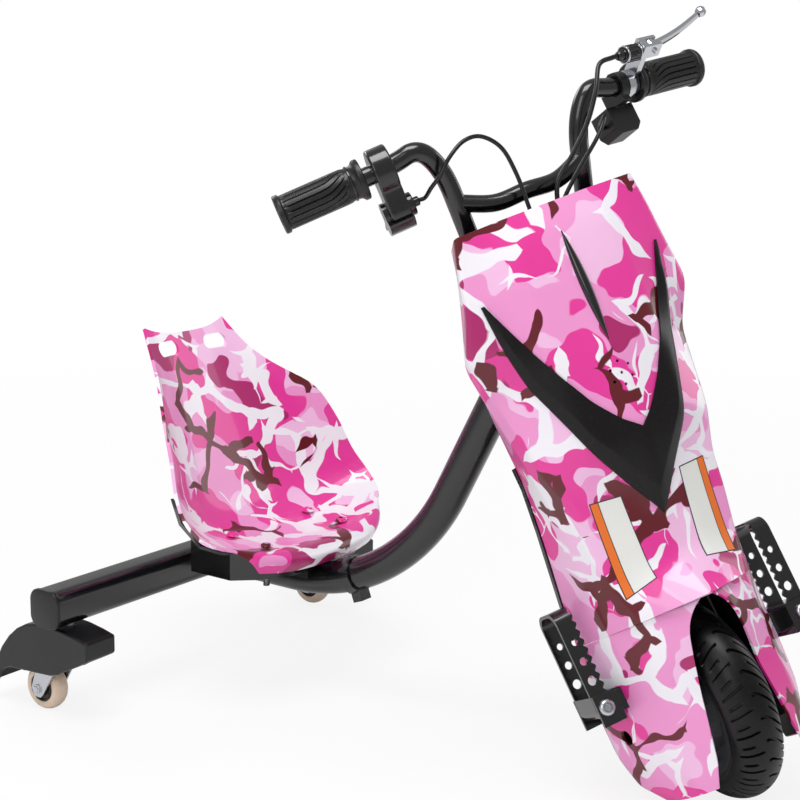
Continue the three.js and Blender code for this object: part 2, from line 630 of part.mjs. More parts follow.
function addAxle() {
  const nutInside = LEG_GAP_HALF + AXLE_PLATE_THICKNESS / 2 + SEAT_GAP;
  const nutOutside = nutInside + AXLE_NUT_THICKNESS;
  const end = nutOutside + AXLE_NUT_THICKNESS / 2;
  const centred = (from, to, radius, sides) => rod(vec(from, AXLE_OFFSET, 0), vec(to, AXLE_OFFSET, 0), radius, sides);
  const axle = joined(
    centred(-end, end, AXLE_RADIUS, SIDES_SMALL),
    centred(nutInside, nutOutside, AXLE_NUT_RADIUS, 6),
    centred(-nutOutside, -nutInside, AXLE_NUT_RADIUS, 6),
  );
  addPiece(steering, "front_axle", axle, SILVER);
}

// Front wheel: a hub motor with its rim cast on, and a pneumatic tyre.
const RIM_RADIUS = 70;
const RIM_HALF_WIDTH = 24;
const RIM_LIP_HEIGHT = 6;
const HUB_HALF_WIDTH = 30;
const HUB_COVER_RADIUS = 46;
const HUB_BOSS_RADIUS = 17;
const HUB_BOSS_HALF = 42;

function addFrontWheel() {
  const lip = RIM_RADIUS + RIM_LIP_HEIGHT;
  addPiece(steering, "hub_motor", hubBody(lip).translate(0, AXLE_OFFSET, 0), CASE_GREY);
  addPiece(steering, "tyre", tyreBody(lip).translate(0, AXLE_OFFSET, 0), RUBBER);
}

function hubBody(lip) {
  const bore = AXLE_RADIUS + RUNNING_GAP;
  const well = RIM_RADIUS - RIM_LIP_HEIGHT;
  const web = RIM_HALF_WIDTH - RIM_LIP_HEIGHT;
  const half = [
    [bore, HUB_BOSS_HALF], [HUB_BOSS_RADIUS, HUB_BOSS_HALF], [HUB_BOSS_RADIUS, HUB_HALF_WIDTH],
    [HUB_COVER_RADIUS, HUB_HALF_WIDTH], [HUB_COVER_RADIUS + RIM_LIP_HEIGHT, web],
    [well, web], [well, RIM_HALF_WIDTH], [lip, RIM_HALF_WIDTH], [RIM_RADIUS, web - RIM_LIP_HEIGHT / 2],
  ];
  const other = half.map(([radius, along]) => [radius, -along]).reverse();
  return turned([...half, ...other, half[0]], SIDES_FINE);
}

const TYRE_CROWN_STEPS = 8;

// The tyre's section is a round crown over a bead that sits in the rim.
function tyreBody(lip) {
  const crown = [];
  const steps = TYRE_CROWN_STEPS;
  const open = THREE.MathUtils.degToRad(28);
  for (let i = 0; i <= steps; i += 1) {
    const turn = -Math.PI / 2 - open + ((Math.PI + 2 * open) * i) / steps;
    crown.push([tyreRingRadius + TYRE_SECTION_RADIUS * Math.cos(turn), TYRE_SECTION_RADIUS * Math.sin(turn)]);
  }
  const beadHalf = RIM_HALF_WIDTH - RIM_LIP_HEIGHT;
  const bead = [[lip + SEAT_GAP, RIM_HALF_WIDTH], [RIM_RADIUS + RIM_LIP_HEIGHT / 2, beadHalf],
    [RIM_RADIUS + RIM_LIP_HEIGHT / 2, -beadHalf], [lip + SEAT_GAP, -RIM_HALF_WIDTH]];
  const profile = [...crown, ...bead, crown[0]];
  return turned(profile, SIDES_TYRE);
}

// Fairing. Each station is a height share and five outline points of the +X half, front to rear edge:
// middle, inner crease, front corner, side and rear edge. The first number after the height is the
// middle's forward share of the depth, and each pair is an out share and a forward share.
const shellStationShares = [
  [1.0, 0.981, 0.379, 0.981, 0.788, 0.942, 0.697, 0.613, 0.545, 0.323],
  [0.928, 1.0, 0.394, 0.994, 0.848, 0.877, 0.742, 0.594, 0.606, 0.323],
  [0.829, 0.987, 0.417, 0.968, 0.894, 0.806, 0.848, 0.568, 0.682, 0.297],
  [0.724, 0.968, 0.439, 0.923, 1.0, 0.665, 0.939, 0.465, 0.788, 0.245],
  [0.62, 0.942, 0.455, 0.865, 0.848, 0.542, 0.879, 0.426, 0.773, 0.168],
  [0.416, 0.845, 0.394, 0.755, 0.758, 0.529, 0.78, 0.387, 0.727, 0.077],
  [0.308, 0.697, 0.273, 0.613, 0.636, 0.516, 0.712, 0.335, 0.742, 0.026],
  [0.216, 0.568, 0.258, 0.555, 0.636, 0.439, 0.697, 0.284, 0.75, -0.039],
  [0.113, 0.503, 0.25, 0.503, 0.591, 0.387, 0.697, 0.194, 0.765, -0.116],
  [0.0, 0.684, 0.22, 0.594, 0.515, 0.4, 0.667, 0.194, 0.78, -0.194],
];

// A boot's stations: a drop share, then front edge, front ridge, front corner, side and rear edge.
const bootStationShares = [
  [0.0, 0.227, 0.581, 0.47, 0.413, 0.667, 0.194, 0.78, -0.129, 0.773, -0.297],
  [0.246, 0.242, 0.503, 0.5, 0.348, 0.682, 0.129, 0.795, -0.181, 0.735, -0.426],
  [0.471, 0.273, 0.406, 0.53, 0.271, 0.727, 0.039, 0.811, -0.245, 0.72, -0.516],
  [0.679, 0.318, 0.368, 0.561, 0.206, 0.742, -0.026, 0.811, -0.284, 0.705, -0.542],
  [0.865, 0.356, 0.323, 0.561, 0.168, 0.697, -0.052, 0.75, -0.271, 0.667, -0.49],
  [1.0, 0.409, 0.271, 0.515, 0.194, 0.591, 0.052, 0.636, -0.129, 0.591, -0.284],
];

const outAndForward = (out, forward) => [out * SHELL_HALF_WIDTH, -forward * SHELL_DEPTH];
const shellHeight = (share) => lerp(SHELL_BOTTOM, SHELL_TOP, share);

function shellHalfPath(station) {
  const [, middle, ...pairs] = station;
  const half = [outAndForward(0, middle)];
  for (let i = 0; i < pairs.length; i += 2) half.push(outAndForward(pairs[i], pairs[i + 1]));
  return half;
}

// A wall's closed ring at one height: the outer path and the same path set in by the wall.
function wallRing(path, wall, height) {
  const ring = [...path, ...setIn(path, wall).reverse()];
  return ring.map(([x, y]) => vec(x, y, height));
}

function shellRing(station) {
  const half = shellHalfPath(station);
  const other = half.slice(1).map(([x, y]) => [-x, y]).reverse();
  return wallRing([...other, ...half], SHELL_WALL, shellHeight(station[0]));
}

// The fairing's front surface: how far back it lies at a place across and a height.
function shellFrontAt(across, height) {
  const share = (height - SHELL_BOTTOM) / (SHELL_TOP - SHELL_BOTTOM);
  const above = shellStationShares.findLastIndex((station) => station[0] >= share);
  const high = shellStationShares[Math.max(above, 0)];
  const low = shellStationShares[Math.min(Math.max(above, 0) + 1, shellStationShares.length - 1)];
  const t = high === low ? 0 : (share - low[0]) / (high[0] - low[0]);
  const lowPath = shellHalfPath(low);
  const path = shellHalfPath(high).map(([x, y], i) => [lerp(lowPath[i][0], x, t), lerp(lowPath[i][1], y, t)]);
  const place = Math.abs(across);
  for (let i = 1; i < path.length; i += 1) {
    if (place <= path[i][0] || path[i + 1][0] < path[i][0]) {
      const [a, b] = [path[i - 1], path[i]];
      return lerp(a[1], b[1], (place - a[0]) / (b[0] - a[0]));
    }
  }
  return path[2][1];
}

function addFrontShell() {
  let shell = solid(loft(shellStationShares.map(shellRing)));
  const ventPlaces = [[0, 0], ...Array.from({ length: 6 }, (_, i) => {
    const turn = (i + 0.5) * (Math.PI / 3);
    return [VENT_PITCH * Math.cos(turn), VENT_PITCH * Math.sin(turn)];
  })];
  for (const [across, up] of ventPlaces) {
    const place = vec(across, -SHELL_DEPTH, SPEAKER_HEIGHT + up);
    const behind = place.clone().setY(-SHELL_DEPTH / 2);
    shell = shell.subtract(solid(rod(place, behind, VENT_RADIUS, SIDES_TINY)));
  }
  addPiece(steering, "front_shell", shell, PINK_SHELL);
  const speakerFace = shellFrontAt(0, SPEAKER_HEIGHT - SPEAKER_RADIUS) + SHELL_WALL + SPEAKER_DEPTH / 2;
  const speaker = rod(vec(0, speakerFace, SPEAKER_HEIGHT), vec(0, speakerFace + SPEAKER_DEPTH, SPEAKER_HEIGHT),
    SPEAKER_RADIUS);
  const ring = solid(rod(vec(0, -SHELL_DEPTH, SPEAKER_HEIGHT), vec(0, speakerFace, SPEAKER_HEIGHT),
    SPEAKER_RADIUS - SHELL_WALL));
  const ringBore = solid(rod(vec(0, -SHELL_DEPTH - OVERRUN, SPEAKER_HEIGHT), vec(0, speakerFace, SPEAKER_HEIGHT),
    VENT_PITCH + VENT_RADIUS * 2));
  const collar = ring.subtract(ringBore).intersect(filledShell(SHELL_WALL + SEAT_GAP));
  addPiece(steering, "speaker", largest(solid(speaker).add(collar).decompose()), BLACK_PLASTIC);
}

const REAR_COVER_TOP_SHARE = 0.5433;
const REAR_COVER_BOTTOM_SHARE = 0.0865;
const REAR_COVER_BULGE = 44;
const REAR_COVER_CORNER_SHARES = [0.7, 0.82];
const REAR_COVER_LAP = 5;
const REAR_COVER_STAND = 2;

// The rear cover closes the fairing behind the electronics, between the shell's two rear edges.
function addRearCover() {
  const rings = Array.from({ length: EDGE_STEPS + 1 }, (_, i) => {
    const height = shellHeight(lerp(REAR_COVER_TOP_SHARE, REAR_COVER_BOTTOM_SHARE, i / EDGE_STEPS));
    const edge = shellEdgeAt(height);
    const inset = edge[0] - STRIP_THICKNESS - REAR_COVER_STAND;
    const [cornerOut, cornerBack] = REAR_COVER_CORNER_SHARES;
    const half = [[0, REAR_COVER_BULGE], [inset * cornerOut, REAR_COVER_BULGE * cornerBack],
      [inset, edge[1] + REAR_COVER_LAP], [inset, edge[1] - REAR_COVER_LAP * 3]];
    const other = half.slice(1).map(([x, y]) => [-x, y]).reverse();
    return wallRing([...other, ...half], -SHELL_WALL, height);
  });
  addPiece(steering, "rear_cover", loft(rings), BLACK_PLASTIC);
}

function shellEdgeAt(height) {
  const share = (height - SHELL_BOTTOM) / (SHELL_TOP - SHELL_BOTTOM);
  const above = shellStationShares.findLastIndex((station) => station[0] >= share);
  const [high, low] = [shellStationShares[above], shellStationShares[above + 1] ?? shellStationShares[above]];
  const t = high === low ? 0 : (share - low[0]) / (high[0] - low[0]);
  const [a, b] = [shellHalfPath(low).at(-1), shellHalfPath(high).at(-1)];
  return [lerp(a[0], b[0], t), lerp(a[1], b[1], t)];
}

const STRIP_TOP_SHARE = 0.47;
const STRIP_BOTTOM_SHARE = 0.02;
const STRIP_WIDTH = 13;
const STRIP_THICKNESS = 5;
const STRIP_STAND = 1.2;
const EDGE_STEPS = 8;

// A glossy strip along the fairing's rear edge on each side.
function addSideStrip(side) {
  const rings = Array.from({ length: EDGE_STEPS + 1 }, (_, i) => {
    const height = shellHeight(lerp(STRIP_BOTTOM_SHARE, STRIP_TOP_SHARE, i / EDGE_STEPS));
    const [x, y] = shellEdgeAt(height);
    const out = side * (x + SHELL_WALL / 2);
    const inner = side * (x - STRIP_THICKNESS);
    const start = y + STRIP_STAND;
    return [vec(out, start, height), vec(out, start + STRIP_WIDTH * 0.6, height),
      vec(side * (x - STRIP_THICKNESS / 2), start + STRIP_WIDTH, height), vec(inner, start + STRIP_WIDTH, height),
      vec(inner, start, height)];
  });
  addPiece(steering, side > 0 ? "side_strip_left" : "side_strip_right", loft(rings), GLOSS_BLACK);
}

function bootRing(side, station, wall) {
  const [drop, ...pairs] = station;
  const path = [];
  for (let i = 0; i < pairs.length; i += 2) path.push(outAndForward(pairs[i], pairs[i + 1]));
  const height = SHELL_BOTTOM - SEAT_GAP - drop * (SHELL_BOTTOM + BOOT_DROP - SEAT_GAP);
  return wallRing(path, wall, height).map((point) => point.setX(side * point.x));
}

const ACCESS_HOLE_RADIUS = 8;

// The lower side covers that wrap the wheel, with the axle's access hole and the peg arm's slot.
function addBoot(side) {
  const body = solid(loft(bootStationShares.map((station) => bootRing(side, station, SHELL_WALL))));
  const far = side * SHELL_HALF_WIDTH;
  const access = solid(rod(vec(side * LEG_GAP_HALF, AXLE_OFFSET, 0), vec(far, AXLE_OFFSET, 0), ACCESS_HOLE_RADIUS,
    SIDES_SMALL));
  const arm = solid(pegArmBlock(side, RUNNING_GAP));
  addPiece(steering, side > 0 ? "boot_left" : "boot_right", cutBy(body, access, arm), PINK_SHELL);
}

const PEG_HINGE_HALF = SHELL_HALF_WIDTH * Math.max(...bootStationShares.map((station) => station[7])) + PEG_STAND;
const PEG_ARM_HALF = 11;
const PEG_EAR = 4;

// The bar from the fork leg's foot out through the boot to the peg's clevis.
function pegArmBlock(side, clearance) {
  const inner = side * (LEG_GAP_HALF + AXLE_PLATE_THICKNESS / 2 + SEAT_GAP);
  const outer = side * (PEG_HINGE_HALF - PEG_DEPTH / 2 - PEG_EAR * 1.5);
  const low = vec(Math.min(inner, outer), -PEG_ARM_HALF - clearance, PEG_HINGE_HEIGHT - PEG_ARM_HALF - clearance);
  const high = vec(Math.max(inner, outer), PEG_ARM_HALF + clearance, PEG_HINGE_HEIGHT + PEG_ARM_HALF + clearance);
  return block(low, high);
}

function addPegBracket(side) {
  const reach = PEG_WIDTH / 2 + RUNNING_GAP;
  const back = side * (PEG_HINGE_HALF - PEG_DEPTH / 2 - PEG_EAR * 1.5);
  const front = side * (PEG_HINGE_HALF - PEG_DEPTH / 2 - PEG_EAR / 2);
  const tip = side * (PEG_HINGE_HALF + PEG_DEPTH / 2);
  const low = PEG_HINGE_HEIGHT - PEG_DEPTH * 0.9;
  const high = PEG_HINGE_HEIGHT + PEG_DEPTH * 0.75;
  const span = (a, b, y0, y1) => block(vec(Math.min(a, b), y0, low), vec(Math.max(a, b), y1, high));
  const parts = [
    pegArmBlock(side, 0),
    span(back, front, -reach - PEG_EAR, reach + PEG_EAR),
    span(back, tip, -reach - PEG_EAR, -reach),
    span(back, tip, reach, reach + PEG_EAR),
  ];
  const bore = pegBore(side, PEG_BOLT_RADIUS + SEAT_GAP, SIDES_SMALL);
  const leg = solid(legBody(side, LEG_RADIUS + SEAT_GAP, 0));
  const made = largest(cutBy(joined(...parts), solid(bore), leg).decompose());
  addPiece(steering, side > 0 ? "peg_bracket_left" : "peg_bracket_right", made, BLACK_PAINT);
  addPegBolt(side, reach + PEG_EAR);
  addPeg(side);
}

function pegBore(side, radius, sides) {
  const far = PEG_WIDTH;
  const at = (y) => vec(side * PEG_HINGE_HALF, y, PEG_HINGE_HEIGHT);
  return rod(at(-far), at(far), radius, sides);
}

const BOLT_HEAD_THICKNESS = 4.5;
const BOLT_HEAD_RATIO = 1.7;

function addPegBolt(side, cheek) {
  const at = (y) => vec(side * PEG_HINGE_HALF, y, PEG_HINGE_HEIGHT);
  const start = -cheek - SEAT_GAP;
  const head = rod(at(start - BOLT_HEAD_THICKNESS), at(start), PEG_BOLT_RADIUS * BOLT_HEAD_RATIO, SIDES_MEDIUM);
  const nut = rod(at(cheek + SEAT_GAP), at(cheek + SEAT_GAP + BOLT_HEAD_THICKNESS), PEG_BOLT_RADIUS * BOLT_HEAD_RATIO, 6);
  const shank = rod(at(start), at(cheek + SEAT_GAP + BOLT_HEAD_THICKNESS), PEG_BOLT_RADIUS, SIDES_SMALL);
  addPiece(steering, side > 0 ? "peg_bolt_left" : "peg_bolt_right", joined(head, nut, shank), SILVER);
}

// Folding peg: a band bent to a loop, with teeth along its tread, holes in its sides and a round foot.
const PEG_HEEL = 15;
const PEG_CORNER = 15;
const PEG_HOLE_RADII = [5, 4.2, 3.6];
const PEG_HOLE_PITCH = 21;

function pegLoop(half, low, high, depth) {
  const corner = Math.min(PEG_CORNER, half);
  const shape = new THREE.Shape();
  shape.moveTo(-half, low);
  shape.lineTo(half, low);
  shape.lineTo(half, high - corner);
  shape.absarc(half - corner, high - corner, corner, 0, QUARTER);
  shape.absarc(-half + corner, high - corner, corner, QUARTER, 2 * QUARTER);
  return new THREE.ExtrudeGeometry(shape, { depth, bevelEnabled: false, curveSegments: CORNER_STEPS });
}

// Width lies along X, length along Y and depth along Z; the tread is the face at zero depth.
function pegBody() {
  const half = PEG_WIDTH / 2;
  const middle = PEG_DEPTH / 2;
  const foot = rod(vec(-half, 0, middle), vec(half, 0, middle), middle);
  const loop = joined(pegLoop(half, 0, PEG_LENGTH, PEG_DEPTH), foot);
  const hollow = pegLoop(half - PEG_BAND, PEG_HEEL, PEG_LENGTH - PEG_BAND, PEG_DEPTH + 2 * OVERRUN);
  let peg = loop.subtract(solid(hollow.translate(0, 0, -OVERRUN)));
  const pitch = (PEG_LENGTH - PEG_HEEL) / PEG_TEETH;
  const across = new THREE.Matrix4().makeBasis(Y_AXIS, Z_AXIS, X_AXIS).setPosition(-half - OVERRUN, 0, 0);
  for (let i = 0; i < PEG_TEETH; i += 1) {
    const [low, high] = [PEG_HEEL + i * pitch, PEG_HEEL + (i + 1 - PEG_CREST_SHARE) * pitch];
    const notch = plate([[low, -OVERRUN], [high, -OVERRUN], [(low + high) / 2, PEG_TOOTH_DEPTH]],
      PEG_WIDTH + 2 * OVERRUN);
    peg = peg.subtract(solid(notch.applyMatrix4(across)));
  }
  PEG_HOLE_RADII.forEach((radius, i) => {
    const along = PEG_HEEL + PEG_HOLE_PITCH * (i + 0.7);
    const hole = rod(vec(-PEG_WIDTH, along, middle), vec(PEG_WIDTH, along, middle), radius, SIDES_TINY);
    peg = peg.subtract(solid(hole));
  });
  return geometryOf(peg);
}

function addPeg(side) {
  const upright = new THREE.Matrix4().makeBasis(Y_AXIS, Z_AXIS, X_AXIS);
  const geometry = pegBody().applyMatrix4(upright);
  geometry.translate(PEG_HINGE_HALF - PEG_DEPTH / 2, 0, PEG_HINGE_HEIGHT);
  if (side < 0) geometry.rotateZ(2 * QUARTER);
  const seated = solid(geometry).subtract(solid(pegBore(side, PEG_BOLT_RADIUS + RUNNING_GAP / 2, SIDES_FINE)));
  addPiece(steering, side > 0 ? "peg_left" : "peg_right", seated, BLACK_PAINT);
}

// Trims on the fairing's face: out shares of the half width and height shares, from a tip to the middle.
const trimInnerShares = [[0.758, 0.829], [0.606, 0.716], [0.447, 0.606], [0.288, 0.519], [0.129, 0.457], [0, 0.423]];
const trimOuterShares = [[0.78, 0.829], [0.735, 0.719], [0.636, 0.606], [0.417, 0.413], [0.258, 0.337], [0, 0.216]];
const TRIM_RIDGE_SHARE = 0.72;
const TRIM_STEPS = 3;

// One cross section of the V trim, from a root inside the shell to a ridge that stands off it.
function trimRing(inner, outer) {
  const stand = (share, amount) => {
    const across = lerp(inner[0], outer[0], share) * SHELL_HALF_WIDTH;
    const height = shellHeight(lerp(inner[1], outer[1], share));
    return vec(across, shellFrontAt(across, height) - amount, height);
  };
  return [stand(0, -SHELL_WALL), stand(0, TRIM_EDGE_THICKNESS), stand(TRIM_RIDGE_SHARE, TRIM_THICKNESS),
    stand(1, TRIM_EDGE_THICKNESS), stand(1, -SHELL_WALL), stand(TRIM_RIDGE_SHARE, -SHELL_WALL)];
}

// The same shares with further places between them, so that the trim follows the folds of the face.
function refined(shares, steps) {
  const between = ([x0, y0], [x1, y1]) =>
    Array.from({ length: steps }, (_, i) => [lerp(x0, x1, i / steps), lerp(y0, y1, i / steps)]);
  return [...shares.slice(0, -1).flatMap((pair, i) => between(pair, shares[i + 1])), shares.at(-1)];
}

function addVTrim() {
  const outer = refined(trimOuterShares, TRIM_STEPS);
  const half = refined(trimInnerShares, TRIM_STEPS).map((inner, i) => trimRing(inner, outer[i]));
  const other = half.slice(0, -1).map((ring) => ring.map((point) => vec(-point.x, point.y, point.z))).reverse();
  const trim = solid(loft([...half, ...other])).subtract(filledShell(-SEAT_GAP));
  addPiece(steering, "v_trim", largest(trim.decompose()), GLOSS_BLACK);
}

// The fairing's form without its hollow, set in by the given distance or grown where that is negative.
function filledShell(inset) {
  return solid(loft(shellStationShares.map((station) => {
    const half = shellHalfPath(station);
    const other = half.slice(1).map(([x, y]) => [-x, y]).reverse();
    return setIn([...other, ...half], inset).map(([x, y]) => vec(x, y, shellHeight(station[0])));
  })));
}

const FIN_STEPS = 8;
const FIN_TIP_SHARE = 0.12;

// The slim fin down the upper middle of the face.
function addCentreFin() {
  const rings = Array.from({ length: FIN_STEPS + 1 }, (_, i) => {
    const height = shellHeight(lerp(FIN_BOTTOM_SHARE, FIN_TOP_SHARE, i / FIN_STEPS));
    const swell = Math.max(FIN_TIP_SHARE, Math.sin((Math.PI * i) / FIN_STEPS));
    const face = shellFrontAt(0, height);
    const wide = FIN_HALF_WIDTH * swell;
    return [vec(-wide, face + SHELL_WALL, height), vec(0, face - SEAT_GAP - FIN_THICKNESS * swell, height),
      vec(wide, face + SHELL_WALL, height)];
  });
  const fin = solid(loft(rings)).subtract(filledShell(-SEAT_GAP));
  addPiece(steering, "centre_fin", largest(fin.decompose()), GLOSS_BLACK);
}

// Handlebar. Each half runs from inside the fork leg up the riser, over the shoulder and out to the grip's end.
const GRIP_FLANGE = 6;
const GRIP_CAP = 3;
const GRIP_ROUND = 2;
const BAR_BEND_REACH = 26;
const BAR_STRAIGHT = 30;

const gripDirection = (side) => vec(side * Math.cos(BAR_SWEEP), Math.sin(BAR_SWEEP), 0);
const gripInnerEnd = (side) =>
  vec(side * BAR_HALF_WIDTH, -BAR_GRIP_LEAD, BAR_GRIP_HEIGHT).addScaledVector(gripDirection(side), -GRIP_LENGTH);

const barPath = (side) =>
  roundedPath([
    riserAt(side, LEG_TOP_HEIGHT - RISER_OVERLAP),
    vec(side * RISER_HALF, -RISER_LEAD, RISER_HEIGHT),
    vec(side * SHOULDER_HALF, -SHOULDER_LEAD, SHOULDER_HEIGHT),
    gripInnerEnd(side).addScaledVector(gripDirection(side), -BAR_STRAIGHT),
    gripInnerEnd(side).addScaledVector(gripDirection(side), GRIP_LENGTH - GRIP_CAP - SEAT_GAP),
  ], BAR_BEND_REACH);

const barBody = (side, radius, bore) => pipe(barPath(side), radius, bore, SIDES_BAR, BEND_STEPS, SIDES_TINY);

// Both bent halves and the brace welded between them are one piece.
function addHandlebar() {
  const end = (side) => riserAt(side, CROSSBAR_HEIGHT);
  const middle = vec(0, end(1).y - CROSSBAR_BOW, CROSSBAR_HEIGHT - CROSSBAR_DROP);
  const quarter = (side) => end(side).lerp(middle, 0.5).setZ(middle.z);
  const curve = new THREE.CatmullRomCurve3([end(-1), quarter(-1), middle, quarter(1), end(1)]);
  let brace = solid(pipe(curve, CROSSBAR_RADIUS, 0, SIDES_SMALL, STEPS_SHORT));
  for (const side of [-1, 1]) brace = brace.subtract(solid(barBody(side, BAR_RADIUS - BAR_WALL / 2, 0)));
  let bar = largest(brace.decompose());
  for (const side of [-1, 1]) {
    bar = bar.add(solid(barBody(side, BAR_RADIUS, BAR_RADIUS - BAR_WALL)));
    addGrip(side);
  }
  addPiece(steering, "handlebar", bar, BLACK_PAINT);
}

// The controls sit in a frame whose X runs out along the bar from the grip's inner end.
function gripFrame(side) {
  const turn = side > 0 ? BAR_SWEEP : 2 * QUARTER - BAR_SWEEP;
  return new THREE.Matrix4().makeRotationZ(turn).setPosition(gripInnerEnd(side));
}

function addGrip(side) {
  const bore = BAR_RADIUS + SEAT_GAP;
  const profile = [
    [0, GRIP_LENGTH - GRIP_CAP], [bore, GRIP_LENGTH - GRIP_CAP], [bore, 0], [GRIP_RADIUS, 0],
    [GRIP_RADIUS, GRIP_LENGTH - 2 * GRIP_FLANGE], [GRIP_FLANGE_RADIUS, GRIP_LENGTH - GRIP_FLANGE],
    [GRIP_FLANGE_RADIUS, GRIP_LENGTH - GRIP_ROUND], [GRIP_FLANGE_RADIUS - GRIP_ROUND, GRIP_LENGTH], [0, GRIP_LENGTH],
  ];
  const grip = turned(profile, SIDES_FINE).applyMatrix4(gripFrame(side));
  addPiece(steering, side > 0 ? "grip_left" : "grip_right", grip, RUBBER);
}

// Thumb throttle: a clamp ring on the bar, a drum behind and below it, and a paddle that turns about the drum.
const THROTTLE_STAND = 4;
const THROTTLE_WIDTH = 27;
const THROTTLE_RING_RADIUS = 24;
const DRUM_RADIUS = 18;
const DRUM_BACK = 18.6;
const DRUM_DROP = 38;
const DRUM_PIN_RADIUS = 4;
const GLAND_RADIUS = 5;
const GLAND_LENGTH = 12;
const CHEEK_THICKNESS = 5;
const CHEEK_RADIUS = 12;
const LIP_THICKNESS = 3.5;
const LIP_START = THREE.MathUtils.degToRad(-12);
const LIP_SPAN = THREE.MathUtils.degToRad(120);
const LIP_TAB = 9;

// The drum's frame: X to the rear, Y up, and Z inboard from the drum's outer side.
function drumFrame() {
  const place = new THREE.Matrix4().makeTranslation(-THROTTLE_STAND, -DRUM_BACK, -DRUM_DROP);
  const turn = new THREE.Matrix4().makeBasis(Y_AXIS.clone().negate(), Z_AXIS, X_AXIS.clone().negate());
  return gripFrame(-1).multiply(place).multiply(turn);
}

function addThrottle() {
  const start = CHEEK_THICKNESS + RUNNING_GAP;
  const disc = (x, y, radius, low, high, sides) => rod(vec(x, y, low), vec(x, y, high), radius, sides);
  const neck = DRUM_RADIUS - RUNNING_GAP;
  const outline = [[-neck, 0], [neck, 0], [neck - DRUM_BACK, DRUM_DROP], [-neck - DRUM_BACK, DRUM_DROP]];
  const body = joined(
    disc(-DRUM_BACK, DRUM_DROP, THROTTLE_RING_RADIUS, start, THROTTLE_WIDTH, SIDES_FINE),
    disc(0, 0, DRUM_RADIUS, start, THROTTLE_WIDTH, SIDES_FINE),
    plate(outline, THROTTLE_WIDTH - start).translate(0, 0, start),
    disc(0, 0, DRUM_PIN_RADIUS, 0, THROTTLE_WIDTH, SIDES_SMALL),
    disc(0, 0, GLAND_RADIUS, start, THROTTLE_WIDTH + GLAND_LENGTH, SIDES_SMALL),
    disc(0, 0, CHEEK_RADIUS, start, THROTTLE_WIDTH + GLAND_LENGTH / 2, SIDES_MEDIUM),
  );
  const placed = solid(geometryOf(body).applyMatrix4(drumFrame()));
  addPiece(steering, "throttle_housing", placed.subtract(solid(barBody(-1, BAR_RADIUS + SEAT_GAP, 0))), BLACK_PLASTIC);
  addPaddle();
}

function arcPoints(radius, from, to, steps) {
  return Array.from({ length: steps + 1 }, (_, i) => {
    const turn = lerp(from, to, i / steps);
    return [radius * Math.cos(turn), radius * Math.sin(turn)];
  });
}

function addPaddle() {
  const inner = DRUM_RADIUS + RUNNING_GAP;
  const outer = inner + LIP_THICKNESS;
  const end = LIP_START - LIP_SPAN;
  const tab = [[outer + LIP_TAB, inner * Math.sin(LIP_START)], [outer + LIP_TAB, outer * Math.sin(LIP_START) - LIP_THICKNESS]];
  const outerArc = arcPoints(outer, LIP_START, end, 8);
  const lip = plate([...tab, ...outerArc.slice(1), ...arcPoints(inner, end, LIP_START, 8)], THROTTLE_WIDTH);
  const cheekTop = arcPoints(CHEEK_RADIUS, end, LIP_START - 4 * QUARTER, 10).slice(1, -1);
  const cheek = plate([...outerArc, ...cheekTop], CHEEK_THICKNESS);
  const bore = rod(vec(0, 0, -OVERRUN), vec(0, 0, CHEEK_THICKNESS + OVERRUN), DRUM_PIN_RADIUS + SEAT_GAP,
    SIDES_FINE);
  const paddle = joined(lip, cheek).subtract(solid(bore));
  addPiece(steering, "throttle_paddle", geometryOf(paddle).applyMatrix4(drumFrame()), BLACK_PLASTIC);
}

// Brake: a clamp with a forked arm, the cable's adjuster barrel, and the lever on the arm's pin.
const BRAKE_CLAMP_WIDTH = 13;
const BRAKE_CLAMP_RADIUS = 15;
const BRAKE_STAND = 1;
const BRAKE_REACH = 44;
const BRAKE_TIP = THREE.MathUtils.degToRad(-26);
const BRAKE_PIVOT_OUT = 9;
const BRAKE_PIN_RADIUS = 3;
const BRAKE_ARM_WIDTH = 7;
const BRAKE_ARM_THICKNESS = 16;
const LEVER_THICKNESS = 7;
const LEVER_EYE_RADIUS = 7.5;
const LEVER_LENGTH = 66;
const LEVER_SPREAD = THREE.MathUtils.degToRad(-28);
const LEVER_BOW = 5;
const LEVER_STEPS = 8;
const LEVER_TIP_SHARE = 0.45;
const LEVER_BALL_RADIUS = 6;
const BARREL_RADIUS = 9;
const BARREL_LENGTH = 20;
const BARREL_NOSE_RADIUS = 5;
const BARREL_NOSE_LENGTH = 9;

const brakeFrame = () => gripFrame(1).multiply(new THREE.Matrix4().makeRotationX(BRAKE_TIP));

